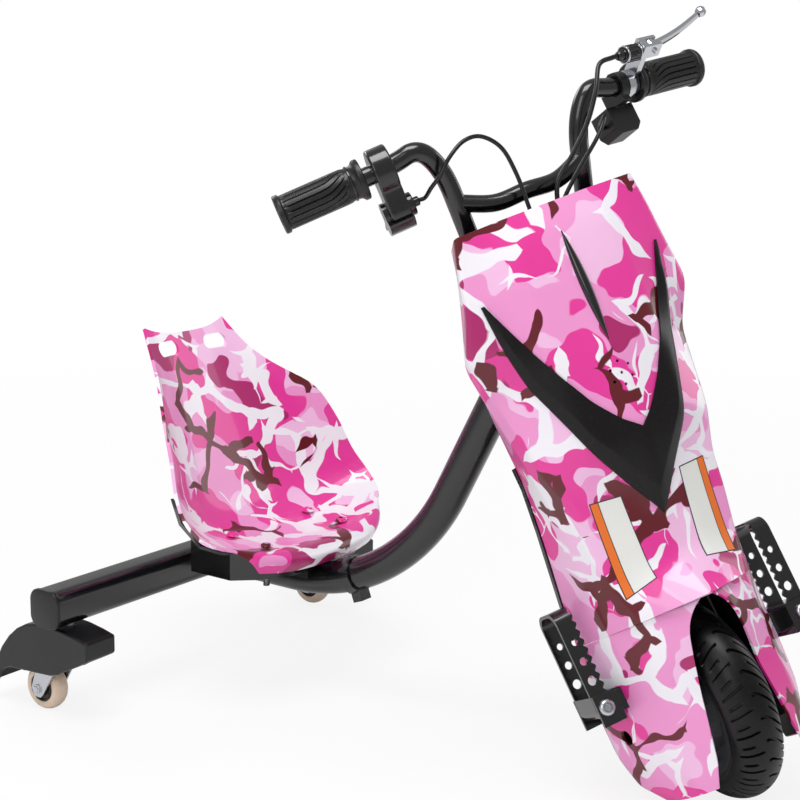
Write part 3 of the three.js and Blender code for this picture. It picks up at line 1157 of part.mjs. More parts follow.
function addBrake() {
  const inner = -BRAKE_STAND - BRAKE_CLAMP_WIDTH;
  const half = BRAKE_ARM_THICKNESS / 2;
  const eye = LEVER_EYE_RADIUS;
  const slotHalf = LEVER_THICKNESS / 2 + SEAT_GAP;
  const front = -BRAKE_REACH - eye;
  const body = joined(
    rod(vec(inner, 0, 0), vec(-BRAKE_STAND, 0, 0), BRAKE_CLAMP_RADIUS),
    block(vec(-BRAKE_STAND - BRAKE_ARM_WIDTH, front, -half), vec(-BRAKE_STAND, 0, half)),
    block(vec(-BRAKE_STAND - BRAKE_ARM_WIDTH, front, -half), vec(BRAKE_PIVOT_OUT + eye, -BRAKE_REACH + eye, half)),
  );
  const slot = block(vec(BRAKE_PIVOT_OUT - eye - RUNNING_GAP, front - OVERRUN, -slotHalf),
    vec(BRAKE_PIVOT_OUT + 2 * eye, -BRAKE_REACH + eye + OVERRUN, slotHalf));
  const pin = rod(vec(BRAKE_PIVOT_OUT, -BRAKE_REACH, -half - BRAKE_PIN_RADIUS),
    vec(BRAKE_PIVOT_OUT, -BRAKE_REACH, half + BRAKE_PIN_RADIUS), BRAKE_PIN_RADIUS, SIDES_SMALL);
  const made = body.subtract(solid(slot)).add(solid(pin));
  const placed = solid(geometryOf(made).applyMatrix4(brakeFrame()));
  addPiece(steering, "brake_bracket", placed.subtract(solid(barBody(1, BAR_RADIUS + SEAT_GAP, 0))), SILVER);
  addAdjuster();
  addLever();
}

function addAdjuster() {
  const start = -BRAKE_STAND - BRAKE_ARM_WIDTH - SEAT_GAP;
  const end = start - BARREL_LENGTH;
  const profile = [[0, start], [BARREL_RADIUS, start], [BARREL_RADIUS, end + GRIP_ROUND],
    [BARREL_RADIUS - GRIP_ROUND, end], [BARREL_NOSE_RADIUS, end], [BARREL_NOSE_RADIUS, end - BARREL_NOSE_LENGTH],
    [0, end - BARREL_NOSE_LENGTH]];
  const barrel = turned(profile, SIDES_MEDIUM).translate(0, -BRAKE_REACH + BRAKE_PIN_RADIUS, 0);
  addPiece(steering, "brake_adjuster", barrel.applyMatrix4(brakeFrame()), ALLOY);
}

// The blade tapers and bows from its eye to a ball at its end. It is drawn along X and then spread outwards.
function addLever() {
  const steps = LEVER_STEPS;
  const rings = Array.from({ length: steps + 1 }, (_, i) => {
    const t = i / steps;
    const deep = LEVER_EYE_RADIUS * lerp(0.75, LEVER_TIP_SHARE, t);
    const thick = (LEVER_THICKNESS / 2) * lerp(1, LEVER_TIP_SHARE + 0.3, t);
    const bow = LEVER_BOW * Math.sin(Math.PI * t);
    return arcPoints(1, QUARTER / 2, QUARTER / 2 + 3.5 * QUARTER, 7)
      .map(([y, z]) => vec(t * LEVER_LENGTH, bow + y * deep, z * thick));
  });
  const half = LEVER_THICKNESS / 2;
  const ball = new THREE.SphereGeometry(LEVER_BALL_RADIUS, SIDES_SMALL, SIDES_TINY).translate(LEVER_LENGTH, 0, 0);
  const eye = rod(vec(0, 0, -half), vec(0, 0, half), LEVER_EYE_RADIUS);
  const bore = rod(vec(0, 0, -LEVER_THICKNESS), vec(0, 0, LEVER_THICKNESS), BRAKE_PIN_RADIUS + SEAT_GAP, SIDES_FINE);
  const blade = joined(loft(rings), ball, eye).subtract(solid(bore));
  const place = brakeFrame().multiply(new THREE.Matrix4().makeTranslation(BRAKE_PIVOT_OUT, -BRAKE_REACH, 0))
    .multiply(new THREE.Matrix4().makeRotationZ(LEVER_SPREAD));
  addPiece(steering, "brake_lever", geometryOf(blade).applyMatrix4(place), SILVER);
}

// The switch box hangs behind and below the bar, inboard of the brake, with a push button towards the rider.
const SWITCH_WIDTH = 36;
const SWITCH_DEPTH = 30;
const SWITCH_HEIGHT = 30;
const SWITCH_OUT = -2;
const SWITCH_BACK = 9;
const SWITCH_DROP = 17;
const SWITCH_CLAMP_WIDTH = 10;
const SWITCH_BUTTON_RADIUS = 6;
const SWITCH_BUTTON_STAND = 3;
const SWITCH_WELL = 7;

function addSwitchBox() {
  const clampEnd = -BRAKE_STAND - BRAKE_CLAMP_WIDTH - RUNNING_GAP;
  const clampStart = clampEnd - SWITCH_CLAMP_WIDTH;
  const low = vec(SWITCH_OUT - SWITCH_WIDTH, SWITCH_BACK, -SWITCH_DROP - SWITCH_HEIGHT);
  const high = vec(SWITCH_OUT, SWITCH_BACK + SWITCH_DEPTH, -SWITCH_DROP);
  const middle = low.clone().lerp(high, 0.5);
  const well = rod(middle.clone().setY(high.y - SWITCH_WELL), middle.clone().setY(high.y + OVERRUN),
    SWITCH_BUTTON_RADIUS + RUNNING_GAP / 2);
  const outline = [[low.x, low.z + SWITCH_WELL], [low.x + SWITCH_WELL, low.z], [high.x - SWITCH_WELL, low.z],
    [high.x, low.z + SWITCH_WELL], [high.x, high.z], [low.x, high.z]];
  const box = plate(outline, SWITCH_DEPTH).rotateX(QUARTER).translate(0, high.y, 0);
  const body = joined(
    rod(vec(clampStart, 0, 0), vec(clampEnd, 0, 0), BRAKE_CLAMP_RADIUS),
    block(vec(clampStart, -SWITCH_BUTTON_RADIUS, high.z - OVERRUN), vec(clampEnd, middle.y, 0)),
    box,
  ).subtract(solid(well));
  const placed = solid(geometryOf(body).applyMatrix4(gripFrame(1)));
  addPiece(steering, "switch_box", placed.subtract(solid(barBody(1, BAR_RADIUS + SEAT_GAP, 0))), BLACK_PLASTIC);
  const button = rod(middle.clone().setY(high.y - SWITCH_WELL + SWITCH_BUTTON_STAND),
    middle.clone().setY(high.y + SWITCH_BUTTON_STAND), SWITCH_BUTTON_RADIUS);
  addPiece(steering, "switch_button", button.applyMatrix4(gripFrame(1)), CASE_GREY);
}

// Cables. Each starts at its control, and its other points follow the photographed run in the steering frame.
const CABLE_RADIUS = 2.2;
const BRAKE_CABLE_RADIUS = 2.5;
const CABLE_LEAD = 7;
const throttleCableRoute = [[-100, -140, 578], [-90, -152, 584], [-76, -158, 596], [-56, -160, 606], [-36, -158, 605],
  [-20, -155, 588], [-15, -150, 560], [-14, -142, 530], [-14, -134, 500]];
const brakeCableRoute = [[106, -178, 628], [90, -178, 604], [70, -170, 578], [46, -160, 556], [24, -150, 538],
  [17, -141, 520], [16, -134, 500]];
const switchLeadRoute = [[106, -128, 584], [99, -154, 582], [80, -158, 564], [54, -148, 544], [30, -138, 524],
  [20, -128, 510], [18, -122, 500]];

function addCable(name, frame, start, direction, route, radius) {
  const first = start.clone().addScaledVector(direction, SEAT_GAP).applyMatrix4(frame);
  const second = start.clone().addScaledVector(direction, CABLE_LEAD).applyMatrix4(frame);
  const points = [first, second, ...route.map((point) => vec(...point))];
  const curve = new THREE.CatmullRomCurve3(points, false, "centripetal");
  addPiece(steering, name, pipe(curve, radius, 0, SIDES_TINY, STEPS_LONG), CABLE);
}

function addCables() {
  addCable("throttle_cable", drumFrame(), vec(0, 0, THROTTLE_WIDTH + GLAND_LENGTH), Z_AXIS, throttleCableRoute,
    CABLE_RADIUS);
  const barrelEnd = -BRAKE_STAND - BRAKE_ARM_WIDTH - SEAT_GAP - BARREL_LENGTH - BARREL_NOSE_LENGTH;
  addCable("brake_cable", brakeFrame(), vec(barrelEnd, -BRAKE_REACH + BRAKE_PIN_RADIUS, 0), X_AXIS.clone().negate(),
    brakeCableRoute, BRAKE_CABLE_RADIUS);
  addCable("switch_lead", gripFrame(1), vec(SWITCH_OUT - SWITCH_WIDTH, SWITCH_BACK + SWITCH_DEPTH / 2,
    -SWITCH_DROP - SWITCH_HEIGHT / 2), X_AXIS.clone().negate(), switchLeadRoute, CABLE_RADIUS);
}

// Electronics behind the fairing's face
const BATTERY_WIDTH = 72;
const BATTERY_DEPTH = 38;
const BATTERY_HEIGHT = 116;
const BATTERY_BASE_HEIGHT = 180;
const BATTERY_LEAD = 20;
const CONTROLLER_WIDTH = 77.4;
const CONTROLLER_DEPTH = 24;
const CONTROLLER_HEIGHT = 100;

function addElectronics() {
  const base = BATTERY_BASE_HEIGHT;
  const battery = block(vec(-BATTERY_WIDTH / 2, -BATTERY_LEAD - BATTERY_DEPTH, base),
    vec(BATTERY_WIDTH / 2, -BATTERY_LEAD, base + BATTERY_HEIGHT));
  addPiece(steering, "battery", battery, CASE_GREY);
  const face = SEAT_GAP - BATTERY_LEAD;
  const controller = block(vec(-CONTROLLER_WIDTH / 2, face, base),
    vec(CONTROLLER_WIDTH / 2, face + CONTROLLER_DEPTH, base + CONTROLLER_HEIGHT));
  addPiece(steering, "motor_controller", controller, ALLOY);
}

// Seat. Each station holds the middle's back and up shares, then the edge's out, back and up shares.
const seatStationShares = [
  [0.04, 0.0, 0.651, 0.128, 0.019],
  [0.0, 0.052, 0.733, 0.128, 0.085],
  [0.06, 0.096, 0.837, 0.2, 0.144],
  [0.28, 0.07, 0.977, 0.272, 0.181],
  [0.496, 0.093, 1.0, 0.368, 0.263],
  [0.616, 0.189, 0.959, 0.44, 0.352],
  [0.708, 0.374, 0.907, 0.496, 0.493],
  [0.8, 0.559, 0.82, 0.6, 0.659],
  [0.888, 0.737, 0.593, 0.784, 0.774],
  [0.944, 0.856, 0.488, 0.888, 0.856],
  [0.988, 0.948, 0.407, 1.004, 0.989],
];
const SEAT_CURVE_POWER = 3;
const SEAT_STEPS_ACROSS = 10;

// A place on the seat's inner face: a station and a share across, from the right edge to the left.
function seatPoint(station, share) {
  const [back, up, edgeOut, edgeBack, edgeUp] = station;
  const blend = Math.abs(share) ** SEAT_CURVE_POWER;
  return vec(share * edgeOut * SEAT_HALF_WIDTH, SEAT_FRONT + lerp(back, edgeBack, blend) * SEAT_LENGTH,
    SEAT_UNDERSIDE + lerp(up, edgeUp, blend) * SEAT_HEIGHT);
}

const seatGrid = () =>
  seatStationShares.map((station) =>
    Array.from({ length: SEAT_STEPS_ACROSS + 1 }, (_, i) => seatPoint(station, (2 * i) / SEAT_STEPS_ACROSS - 1)));

// The seat's grid pushed out, to the underside and the back, along its own normals.
function outsideOf(grid, wall) {
  return grid.map((row, r) => row.map((point, i) => {
    const up = grid[Math.min(r + 1, grid.length - 1)][i].clone().sub(grid[Math.max(r - 1, 0)][i]);
    const across = row[Math.min(i + 1, row.length - 1)].clone().sub(row[Math.max(i - 1, 0)]);
    return point.clone().addScaledVector(up.cross(across).normalize(), wall);
  }));
}

const betweenGrids = (inner, outer) => loft(inner.map((row, r) => [...row, ...outer[r].slice().reverse()]));

const HANDLE_HOLE_SHARE = 0.53;
const HANDLE_HOLE_RISE_SHARE = 0.3;
const SEAT_BOLT_RADIUS = 4;
const SEAT_BOLT_ACROSS = 72;
const seatBoltBack = [535, 588];

const seatBoltPlaces = () =>
  [-1, 1].flatMap((side) => seatBoltBack.map((y) => [side * SEAT_BOLT_ACROSS, y]));

const boltBore = ([x, y], radius) =>
  solid(rod(vec(x, y, 0), vec(x, y, SEAT_UNDERSIDE + SEAT_HEIGHT / 2), radius, SIDES_SMALL));

function addSeat() {
  const inner = seatGrid();
  let shell = solid(betweenGrids(inner, outsideOf(inner, SEAT_WALL)));
  const [low, high] = seatStationShares.slice(-2);
  for (const side of [-1, 1]) {
    const share = side * HANDLE_HOLE_SHARE;
    const centre = seatPoint(low, share).lerp(seatPoint(high, share), HANDLE_HOLE_RISE_SHARE);
    shell = shell.subtract(solid(handleHole(centre)));
  }
  seatBoltPlaces().forEach((place, i) => addSeatBolt(`seat_bolt_${i + 1}`, place, shell));
  for (const place of seatBoltPlaces()) shell = shell.subtract(boltBore(place, SEAT_BOLT_RADIUS + SEAT_GAP));
  addPiece(scooter, "seat_shell", shell, PINK_SHELL);
  addSeatBracket(inner, shell);
}

// A slot with round ends that goes right through the seat's back.
function handleHole(centre) {
  const round = HANDLE_HOLE_HEIGHT / 2;
  const reach = HANDLE_HOLE_LENGTH / 2 - round;
  const shape = new THREE.Shape();
  shape.absarc(reach, 0, round, -QUARTER, QUARTER);
  shape.absarc(-reach, 0, round, QUARTER, 3 * QUARTER);
  const depth = SEAT_LENGTH / 2;
  const slot = new THREE.ExtrudeGeometry(shape, { depth, bevelEnabled: false, curveSegments: CORNER_STEPS });
  return slot.rotateX(QUARTER).translate(centre.x, centre.y + depth / 2, centre.z);
}

// The black pan under the seat: a tray on the main tube, walls up to the seat's underside and a tube saddle.
const PAN_THICKNESS = 4;
const PAN_WALL = 5;
const panHalfOutline = [[60, 504], [98, 526], [120, 550], [120, 612], [70, 648]];
const PAN_REAR = 648;
const PAN_TOP = 240;
const SADDLE_HALF = 25;
const SADDLE_FRONT = 510;
const SADDLE_DEPTH = 14;
const PAN_DISH_FIRST = 3;
const PAN_DISH_LAST = 6;

const panLow = MAIN_TUBE_HEIGHT + MAIN_TUBE_RADIUS + SEAT_GAP;

function addSeatBracket(inner, shell) {
  const low = panLow;
  const outline = [...panHalfOutline, ...panHalfOutline.map(([x, y]) => [-x, y]).reverse()];
  const within = outline.map(([x, y]) => [x - Math.sign(x) * PAN_WALL, y]);
  const tray = plate(outline, PAN_TOP - low).translate(0, 0, low);
  const hollow = plate(within, PAN_TOP).translate(0, 0, low + PAN_THICKNESS);
  const saddle = block(vec(-SADDLE_HALF, SADDLE_FRONT, low - SADDLE_DEPTH), vec(SADDLE_HALF, PAN_REAR, low + PAN_THICKNESS));
  const dishRows = (wall) => outsideOf(inner, wall).slice(PAN_DISH_FIRST, PAN_DISH_LAST);
  const dishBody = solid(betweenGrids(dishRows(SEAT_WALL / 2), dishRows(SEAT_WALL + PAN_THICKNESS)));
  const above = outsideOf(inner, SEAT_WALL + RUNNING_GAP).slice(PAN_DISH_FIRST - 1);
  const lifted = above.map((row) => row.map((point) => point.clone().setZ(point.z + SEAT_HEIGHT)));
  const over = solid(betweenGrids(above, lifted));
  const tube = solid(pipe(mainTubePath(), MAIN_TUBE_RADIUS + SEAT_GAP, 0, SIDES_MEDIUM, MAIN_BEND_STEPS));
  let pan = solid(tray).subtract(solid(hollow)).add(solid(saddle)).add(dishBody);
  pan = cutBy(pan, over, tube, ...seatBoltPlaces().map((place) => boltBore(place, SEAT_BOLT_RADIUS + SEAT_GAP)));
  addPiece(scooter, "seat_bracket", largest(pan.decompose()), BLACK_PAINT);
}

const BOLT_WASHER_RADIUS = 8;
const SEAT_BOLT_END = 10;

// A bolt through the seat and its pan, with its head just clear of the seat's highest place under it.
function addSeatBolt(name, [x, y], shell) {
  const under = boltBore([x, y], BOLT_WASHER_RADIUS).intersect(shell).boundingBox();
  const head = under.max[2] + SEAT_GAP;
  const at = (z) => vec(x, y, z);
  const nut = panLow - SEAT_GAP;
  const bolt = joined(
    rod(at(head), at(head + BOLT_HEAD_THICKNESS), BOLT_WASHER_RADIUS, SIDES_SMALL),
    rod(at(nut - BOLT_HEAD_THICKNESS - SEAT_BOLT_END), at(head), SEAT_BOLT_RADIUS, SIDES_SMALL),
    rod(at(nut - BOLT_HEAD_THICKNESS), at(nut), SEAT_BOLT_RADIUS * BOLT_HEAD_RATIO, 6),
  );
  addPiece(scooter, name, bolt, SILVER);
}

// Casters: the fork with its stem and axle, the hood over it, and the wheel's hub and tread.
const HOOD_HALF = 23;
const HOOD_STAND = 4.6;
const HOOD_CROWN = 12;
const HOOD_REACH = 113;
const FORK_HALF = 16.5;
const FORK_TOP = CROSS_TUBE_HEIGHT - CROSS_TUBE_SIZE / 2 - HOOD_STAND - HOOD_CROWN - CASTER_PLATE_THICKNESS;
const FORK_CROWN_DEPTH = 12;
const FORK_FRONT = 8;
const FORK_BACK = 30;
const STEM_HEAD_RADIUS = 12;
const STEM_HEAD_HEIGHT = 5;
const CASTER_AXLE_RADIUS = 4;
const CASTER_NUT_RADIUS = 6.5;
const CASTER_NUT_HEIGHT = 3;
const FORK_EYE_RADIUS = 10;

// The hood's side outline and hollow: back shares of its reach and up shares of its height.
const hoodOutlineShares = [[-0.46, 0.929], [0.142, 1], [0.451, 0.956], [0.717, 0.779], [0.92, 0.487], [1, 0.257],
  [0.912, 0.212], [0.832, 0.363], [0.053, 0.363], [-0.106, 0.504], [-0.301, 0.628], [-0.46, 0.717]];
const hoodHollowShares = [[0.142, 0.965], [0.434, 0.92], [0.69, 0.752], [0.885, 0.469], [0.956, 0.248], [0.894, 0]];

// A side outline, as back and up pairs from the stem's foot, made into a block about the caster's middle.
const sidePlate = (outline, half, x) =>
  plate(outline, 2 * half).applyMatrix4(new THREE.Matrix4().makeBasis(Y_AXIS, Z_AXIS, X_AXIS)
    .setPosition(x - half, WHEELBASE, 0));

function addCaster(side) {
  const x = side * CASTER_TRACK_HALF;
  const suffix = side > 0 ? "left" : "right";
  const stem = (low, high, radius) => rod(vec(x, WHEELBASE, low), vec(x, WHEELBASE, high), radius);
  const cut = (radius) => solid(stem(0, CROSS_TUBE_HEIGHT, radius));
  const roof = FORK_TOP + CASTER_PLATE_THICKNESS;
  const scaled = (shares) => shares.map(([along, up]) => [along * HOOD_REACH, up * (roof + HOOD_CROWN)]);
  const hollow = [[-FORK_FRONT - RUNNING_GAP, 0], [-FORK_FRONT - RUNNING_GAP, roof + RUNNING_GAP],
    ...scaled(hoodHollowShares)];
  const hood = solid(sidePlate(scaled(hoodOutlineShares), HOOD_HALF, x))
    .subtract(solid(sidePlate(hollow, HOOD_HALF - HOOD_WALL, x)))
    .subtract(cut(CASTER_STEM_RADIUS + SEAT_GAP));
  addPiece(scooter, `caster_hood_${suffix}`, hood, BLACK_PLASTIC);
  const floor = CROSS_TUBE_HEIGHT - CROSS_TUBE_SIZE / 2 + CROSS_TUBE_WALL + RUNNING_GAP;
  const back = WHEELBASE + CASTER_TRAIL;
  const axle = (half, radius, sides) => rod(vec(x - half, back, CASTER_WHEEL_RADIUS),
    vec(x + half, back, CASTER_WHEEL_RADIUS), radius, sides);
  const eye = FORK_EYE_RADIUS;
  const forkOutline = [[-FORK_FRONT, roof], [-FORK_FRONT, FORK_TOP - FORK_CROWN_DEPTH],
    [CASTER_TRAIL - eye, CASTER_WHEEL_RADIUS - eye / 2], [CASTER_TRAIL - eye / 2, CASTER_WHEEL_RADIUS - eye],
    [CASTER_TRAIL + eye / 2, CASTER_WHEEL_RADIUS - eye], [CASTER_TRAIL + eye, CASTER_WHEEL_RADIUS],
    [FORK_BACK, FORK_TOP - FORK_CROWN_DEPTH], [FORK_BACK, roof]];
  const [front, rear] = [-FORK_FRONT - OVERRUN, CASTER_TRAIL + eye + OVERRUN];
  const forkHollow = [[front, 0], [front, FORK_TOP], [rear, FORK_TOP], [rear, 0]];
  const fork = solid(sidePlate(forkOutline, FORK_HALF, x))
    .subtract(solid(sidePlate(forkHollow, FORK_HALF - CASTER_PLATE_THICKNESS, x)))
    .add(solid(stem(FORK_TOP, floor + STEM_HEAD_HEIGHT, CASTER_STEM_RADIUS)))
    .add(solid(stem(floor, floor + STEM_HEAD_HEIGHT, STEM_HEAD_RADIUS)))
    .add(solid(axle(FORK_HALF + CASTER_NUT_HEIGHT, CASTER_AXLE_RADIUS, SIDES_SMALL)))
    .add(solid(axle(FORK_HALF + CASTER_NUT_HEIGHT - OVERRUN / 2, CASTER_NUT_RADIUS, 6))
      .subtract(solid(axle(FORK_HALF - CASTER_PLATE_THICKNESS / 2, CASTER_NUT_RADIUS + OVERRUN, SIDES_SMALL))));
  addPiece(scooter, `caster_fork_${suffix}`, fork, SILVER);
  addCasterWheel(x, back, suffix);
}

const TREAD_ROUND = 7;
const WHEEL_CHAMFER = 2;

function addCasterWheel(x, back, suffix) {
  const half = CASTER_WHEEL_WIDTH / 2;
  const bore = CASTER_AXLE_RADIUS + RUNNING_GAP;
  const rim = CASTER_HUB_RADIUS;
  const edge = WHEEL_CHAMFER;
  const hub = turned([[bore, -half], [rim - edge, -half], [rim, edge - half], [rim, half - edge], [rim - edge, half],
    [bore, half], [bore, -half]], SIDES_MEDIUM);
  const inner = rim + SEAT_GAP;
  const top = CASTER_WHEEL_RADIUS;
  const shoulder = top - TREAD_ROUND;
  const tread = turned([[inner, edge - half], [shoulder, edge / 2 - half], [top - edge, TREAD_ROUND - half], [top, 0],
    [top - edge, half - TREAD_ROUND], [shoulder, half - edge / 2], [inner, half - edge], [inner, edge - half]],
    SIDES_LARGE);
  addPiece(scooter, `caster_hub_${suffix}`, hub.translate(x, back, CASTER_WHEEL_RADIUS), BLACK_PLASTIC);
  addPiece(scooter, `caster_tread_${suffix}`, tread.translate(x, back, CASTER_WHEEL_RADIUS), AMBER);
}

addFrame();
addCrossTube();
addFork();
addFrontWheel();
addFrontShell();
addRearCover();
addVTrim();
addCentreFin();
addHandlebar();
addThrottle();
addBrake();
addSwitchBox();
addCables();
addElectronics();
addSeat();
for (const side of [-1, 1]) {
  addSideStrip(side);
  addBoot(side);
  addPegBracket(side);
  addCaster(side);
}

// The frame's origin is the middle of the bounding box at ground height.
scooter.updateMatrixWorld(true);
const bounds = new THREE.Box3().setFromObject(scooter, true);
const middle = bounds.getCenter(vec(0, 0, 0));
scooter.position.set(-middle.x, -middle.y, -bounds.min.z);

export default scooter;
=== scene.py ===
# %% [markdown]
# # A tricycle drift scooter in pink camouflage
#
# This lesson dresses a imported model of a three-wheeled drift scooter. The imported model, called the frame
# here, gives every part its true place and size in metres. We add the finishes, the rounded edges, the
# tyre's tread, the ribs of the grips and the small fasteners, and we never move what the frame gives.

# %% Load the frame
import json
import math

import bmesh
import bpy
from mathutils import Matrix, Vector
from mathutils.bvhtree import BVHTree


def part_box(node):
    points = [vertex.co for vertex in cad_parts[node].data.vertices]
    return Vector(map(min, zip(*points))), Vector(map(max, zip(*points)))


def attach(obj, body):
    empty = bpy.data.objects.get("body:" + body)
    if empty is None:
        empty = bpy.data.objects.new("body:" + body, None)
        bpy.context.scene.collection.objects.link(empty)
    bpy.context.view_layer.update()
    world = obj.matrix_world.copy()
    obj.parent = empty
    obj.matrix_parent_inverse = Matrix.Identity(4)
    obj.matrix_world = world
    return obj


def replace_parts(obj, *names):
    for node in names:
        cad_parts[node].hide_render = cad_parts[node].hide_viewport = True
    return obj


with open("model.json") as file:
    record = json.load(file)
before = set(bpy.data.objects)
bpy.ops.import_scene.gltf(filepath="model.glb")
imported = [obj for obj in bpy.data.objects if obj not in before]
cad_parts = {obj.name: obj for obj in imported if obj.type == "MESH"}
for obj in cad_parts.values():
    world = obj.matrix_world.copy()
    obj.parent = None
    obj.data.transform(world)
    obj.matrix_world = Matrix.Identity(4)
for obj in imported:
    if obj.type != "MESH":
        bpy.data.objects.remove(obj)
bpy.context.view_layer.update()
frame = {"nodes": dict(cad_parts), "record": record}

# %% [markdown]
# ## The steering's own directions
#
# The front end stands turned to the rider's right and leans back on its column. Sizes are easier to read
# along the wheel's axle, towards the rider and up the column, so one matrix takes such places to the
# frame.

# %% Measures
MM = 0.001
STEERING_FOOT = Vector((0.0, -0.356081, 0.111984))
ALONG_AXLE = Vector((0.813101, -0.496872, 0.303292))
TO_RIDER = Vector((0.582123, 0.694023, -0.423633))
UP_COLUMN = Vector((0.0, 0.52101, 0.853551))
STEERED = Matrix((ALONG_AXLE, TO_RIDER, UP_COLUMN)).transposed().to_4x4()
STEERED.translation = STEERING_FOOT
AXLE_BACK = 13.8
AXLE_AHEAD = 344.302
HANDS = ((1, "left"), (-1, "right"))


def steered(across, back, up):
    """A place in millimetres on the steering assembly, as a point of the frame."""
    return STEERED @ Vector((across * MM, back * MM, up * MM))


print("wheel axle at", [round(value, 4) for value in steered(0, AXLE_BACK, 0)])

# %% [markdown]
# ## The camera
#
# The photograph was taken with a long lens from the front right, a little above the seat. A long lens
# keeps the near wheel from looking much larger than the far ones.

# %% Camera
CAMERA_PLACE = Vector((-1.4943, -1.0243, 0.7437))
CAMERA_LENS = 73.3077
CAMERA_YAW = math.radians(54.3)
CAMERA_PITCH = math.radians(-11.3)
CAMERA_ROLL = math.radians(0.7)


def add_camera():
    data = bpy.data.cameras.new("camera")
    data.lens = CAMERA_LENS
    data.sensor_width = 36.0
    camera = bpy.data.objects.new("camera", data)
    bpy.context.scene.collection.objects.link(camera)
    ahead = Vector((
        math.sin(CAMERA_YAW) * math.cos(CAMERA_PITCH),
        math.cos(CAMERA_YAW) * math.cos(CAMERA_PITCH),
        math.sin(CAMERA_PITCH),
    ))
    right = ahead.cross(Vector((0.0, 0.0, 1.0))).normalized()
    up = right.cross(ahead)
    rolled_right = right * math.cos(CAMERA_ROLL) + up * math.sin(CAMERA_ROLL)
    rolled_up = up * math.cos(CAMERA_ROLL) - right * math.sin(CAMERA_ROLL)
    turn = Matrix((rolled_right, rolled_up, -ahead)).transposed().to_4x4()
    camera.matrix_world = Matrix.Translation(CAMERA_PLACE) @ turn
    bpy.context.scene.camera = camera
    return camera


add_camera()
bpy.context.scene.view_settings.view_transform = "Standard"
print("camera at", [round(value, 3) for value in CAMERA_PLACE])

# %% [markdown]
# ## Light and floor
#
# A product studio has a large soft light above, a weaker one on each side, and a white sweep below. The
# sweep's white comes from its own colour and from what the camera sees directly, so the lamps can stay
# modest. Near the scooter the floor keeps its shadow, and further out it fades to plain white, so that no
# horizon shows.

# %% Light and floor
FLOOR_HALF = 40.0
SHADOW_REACH = (0.7, 2.6)
FLOOR_GLOW = 0.84
FLOOR_GREY = (0.93, 0.93, 0.93, 1.0)
FLOOR_ROUGHNESS = 0.9
ROOM_LIGHT = 0.4
WHITE = 1.0
LAMPS = (
    # name, place, aimed at, width, height, power
    ("key", (-0.9, -0.3, 2.7), (0.0, 0.05, 0.3), 1.5, 1.2, 40.0),
    ("left fill", (2.4, -1.2, 1.4), (0.0, 0.0, 0.3), 1.2, 1.6, 12.0),
    ("right fill", (-2.6, -0.4, 1.5), (0.0, 0.0, 0.3), 1.2, 1.6, 15.0),
    ("back rim", (0.6, 2.6, 1.9), (0.0, 0.0, 0.4), 2.0, 1.0, 20.0),
)


def add_lamp(name, place, target, width, height, power):
    data = bpy.data.lights.new(name, "AREA")
    data.shape = "RECTANGLE"
    data.size = width
    data.size_y = height
    data.energy = power
    lamp = bpy.data.objects.new(name, data)
    bpy.context.scene.collection.objects.link(lamp)
    lamp.location = place
    lamp.rotation_euler = (Vector(target) - Vector(place)).to_track_quat("-Z", "Y").to_euler()
    return lamp


def math_node(tree, operation, first, second=0.0):
    """A Math node whose two inputs are numbers or other nodes' sockets."""
    node = tree.nodes.new("ShaderNodeMath")
    node.operation = operation
    for socket, value in zip(node.inputs, (first, second)):
        if isinstance(value, (int, float)):
            socket.default_value = value
        else:
            tree.links.new(value, socket)
    return node.outputs[0]


def ramp_between(tree, value, low, high):
    """0 below low, 1 above high, and a straight slope between them."""
    node = tree.nodes.new("ShaderNodeMapRange")
    node.inputs["From Min"].default_value = low
    node.inputs["From Max"].default_value = high
    tree.links.new(value, node.inputs["Value"])
    return node.outputs["Result"]


def seen_directly(tree):
    """1 where a ray comes from the camera or through glass, else 0, so that black parts mirror a dim room."""
    path = tree.nodes.new("ShaderNodeLightPath")
    return math_node(tree, "MAXIMUM", path.outputs["Is Camera Ray"], path.outputs["Is Transmission Ray"])


def add_world():
    world = bpy.data.worlds.new("studio")
    bpy.context.scene.world = world
    world.use_nodes = True
    tree = world.node_tree
    background = tree.nodes["Background"]
    background.inputs["Color"].default_value = (1.0, 1.0, 1.0, 1.0)
    strength = tree.nodes.new("ShaderNodeMapRange")
    strength.inputs["To Min"].default_value = ROOM_LIGHT
    strength.inputs["To Max"].default_value = WHITE
    tree.links.new(seen_directly(tree), strength.inputs["Value"])
    tree.links.new(strength.outputs["Result"], background.inputs["Strength"])


def floor_material():
    material = bpy.data.materials.new("white sweep")
    material.use_nodes = True
    tree = material.node_tree
    nodes, links = tree.nodes, tree.links
    matt = nodes["Principled BSDF"]
    matt.inputs["Base Color"].default_value = FLOOR_GREY
    matt.inputs["Roughness"].default_value = FLOOR_ROUGHNESS
    glow = nodes.new("ShaderNodeEmission")
    glow.inputs["Strength"].default_value = WHITE
    distance = nodes.new("ShaderNodeVectorMath")
    distance.operation = "LENGTH"
    links.new(nodes.new("ShaderNodeTexCoord").outputs["Object"], distance.inputs[0])
    far = ramp_between(tree, distance.outputs["Value"], *SHADOW_REACH)
    share = math_node(tree, "ADD", math_node(tree, "MULTIPLY", far, 1.0 - FLOOR_GLOW), FLOOR_GLOW)
    mix = nodes.new("ShaderNodeMixShader")
    links.new(math_node(tree, "MULTIPLY", seen_directly(tree), share), mix.inputs["Fac"])
    links.new(matt.outputs["BSDF"], mix.inputs[1])
    links.new(glow.outputs["Emission"], mix.inputs[2])
    links.new(mix.outputs["Shader"], nodes["Material Output"].inputs["Surface"])
    return material


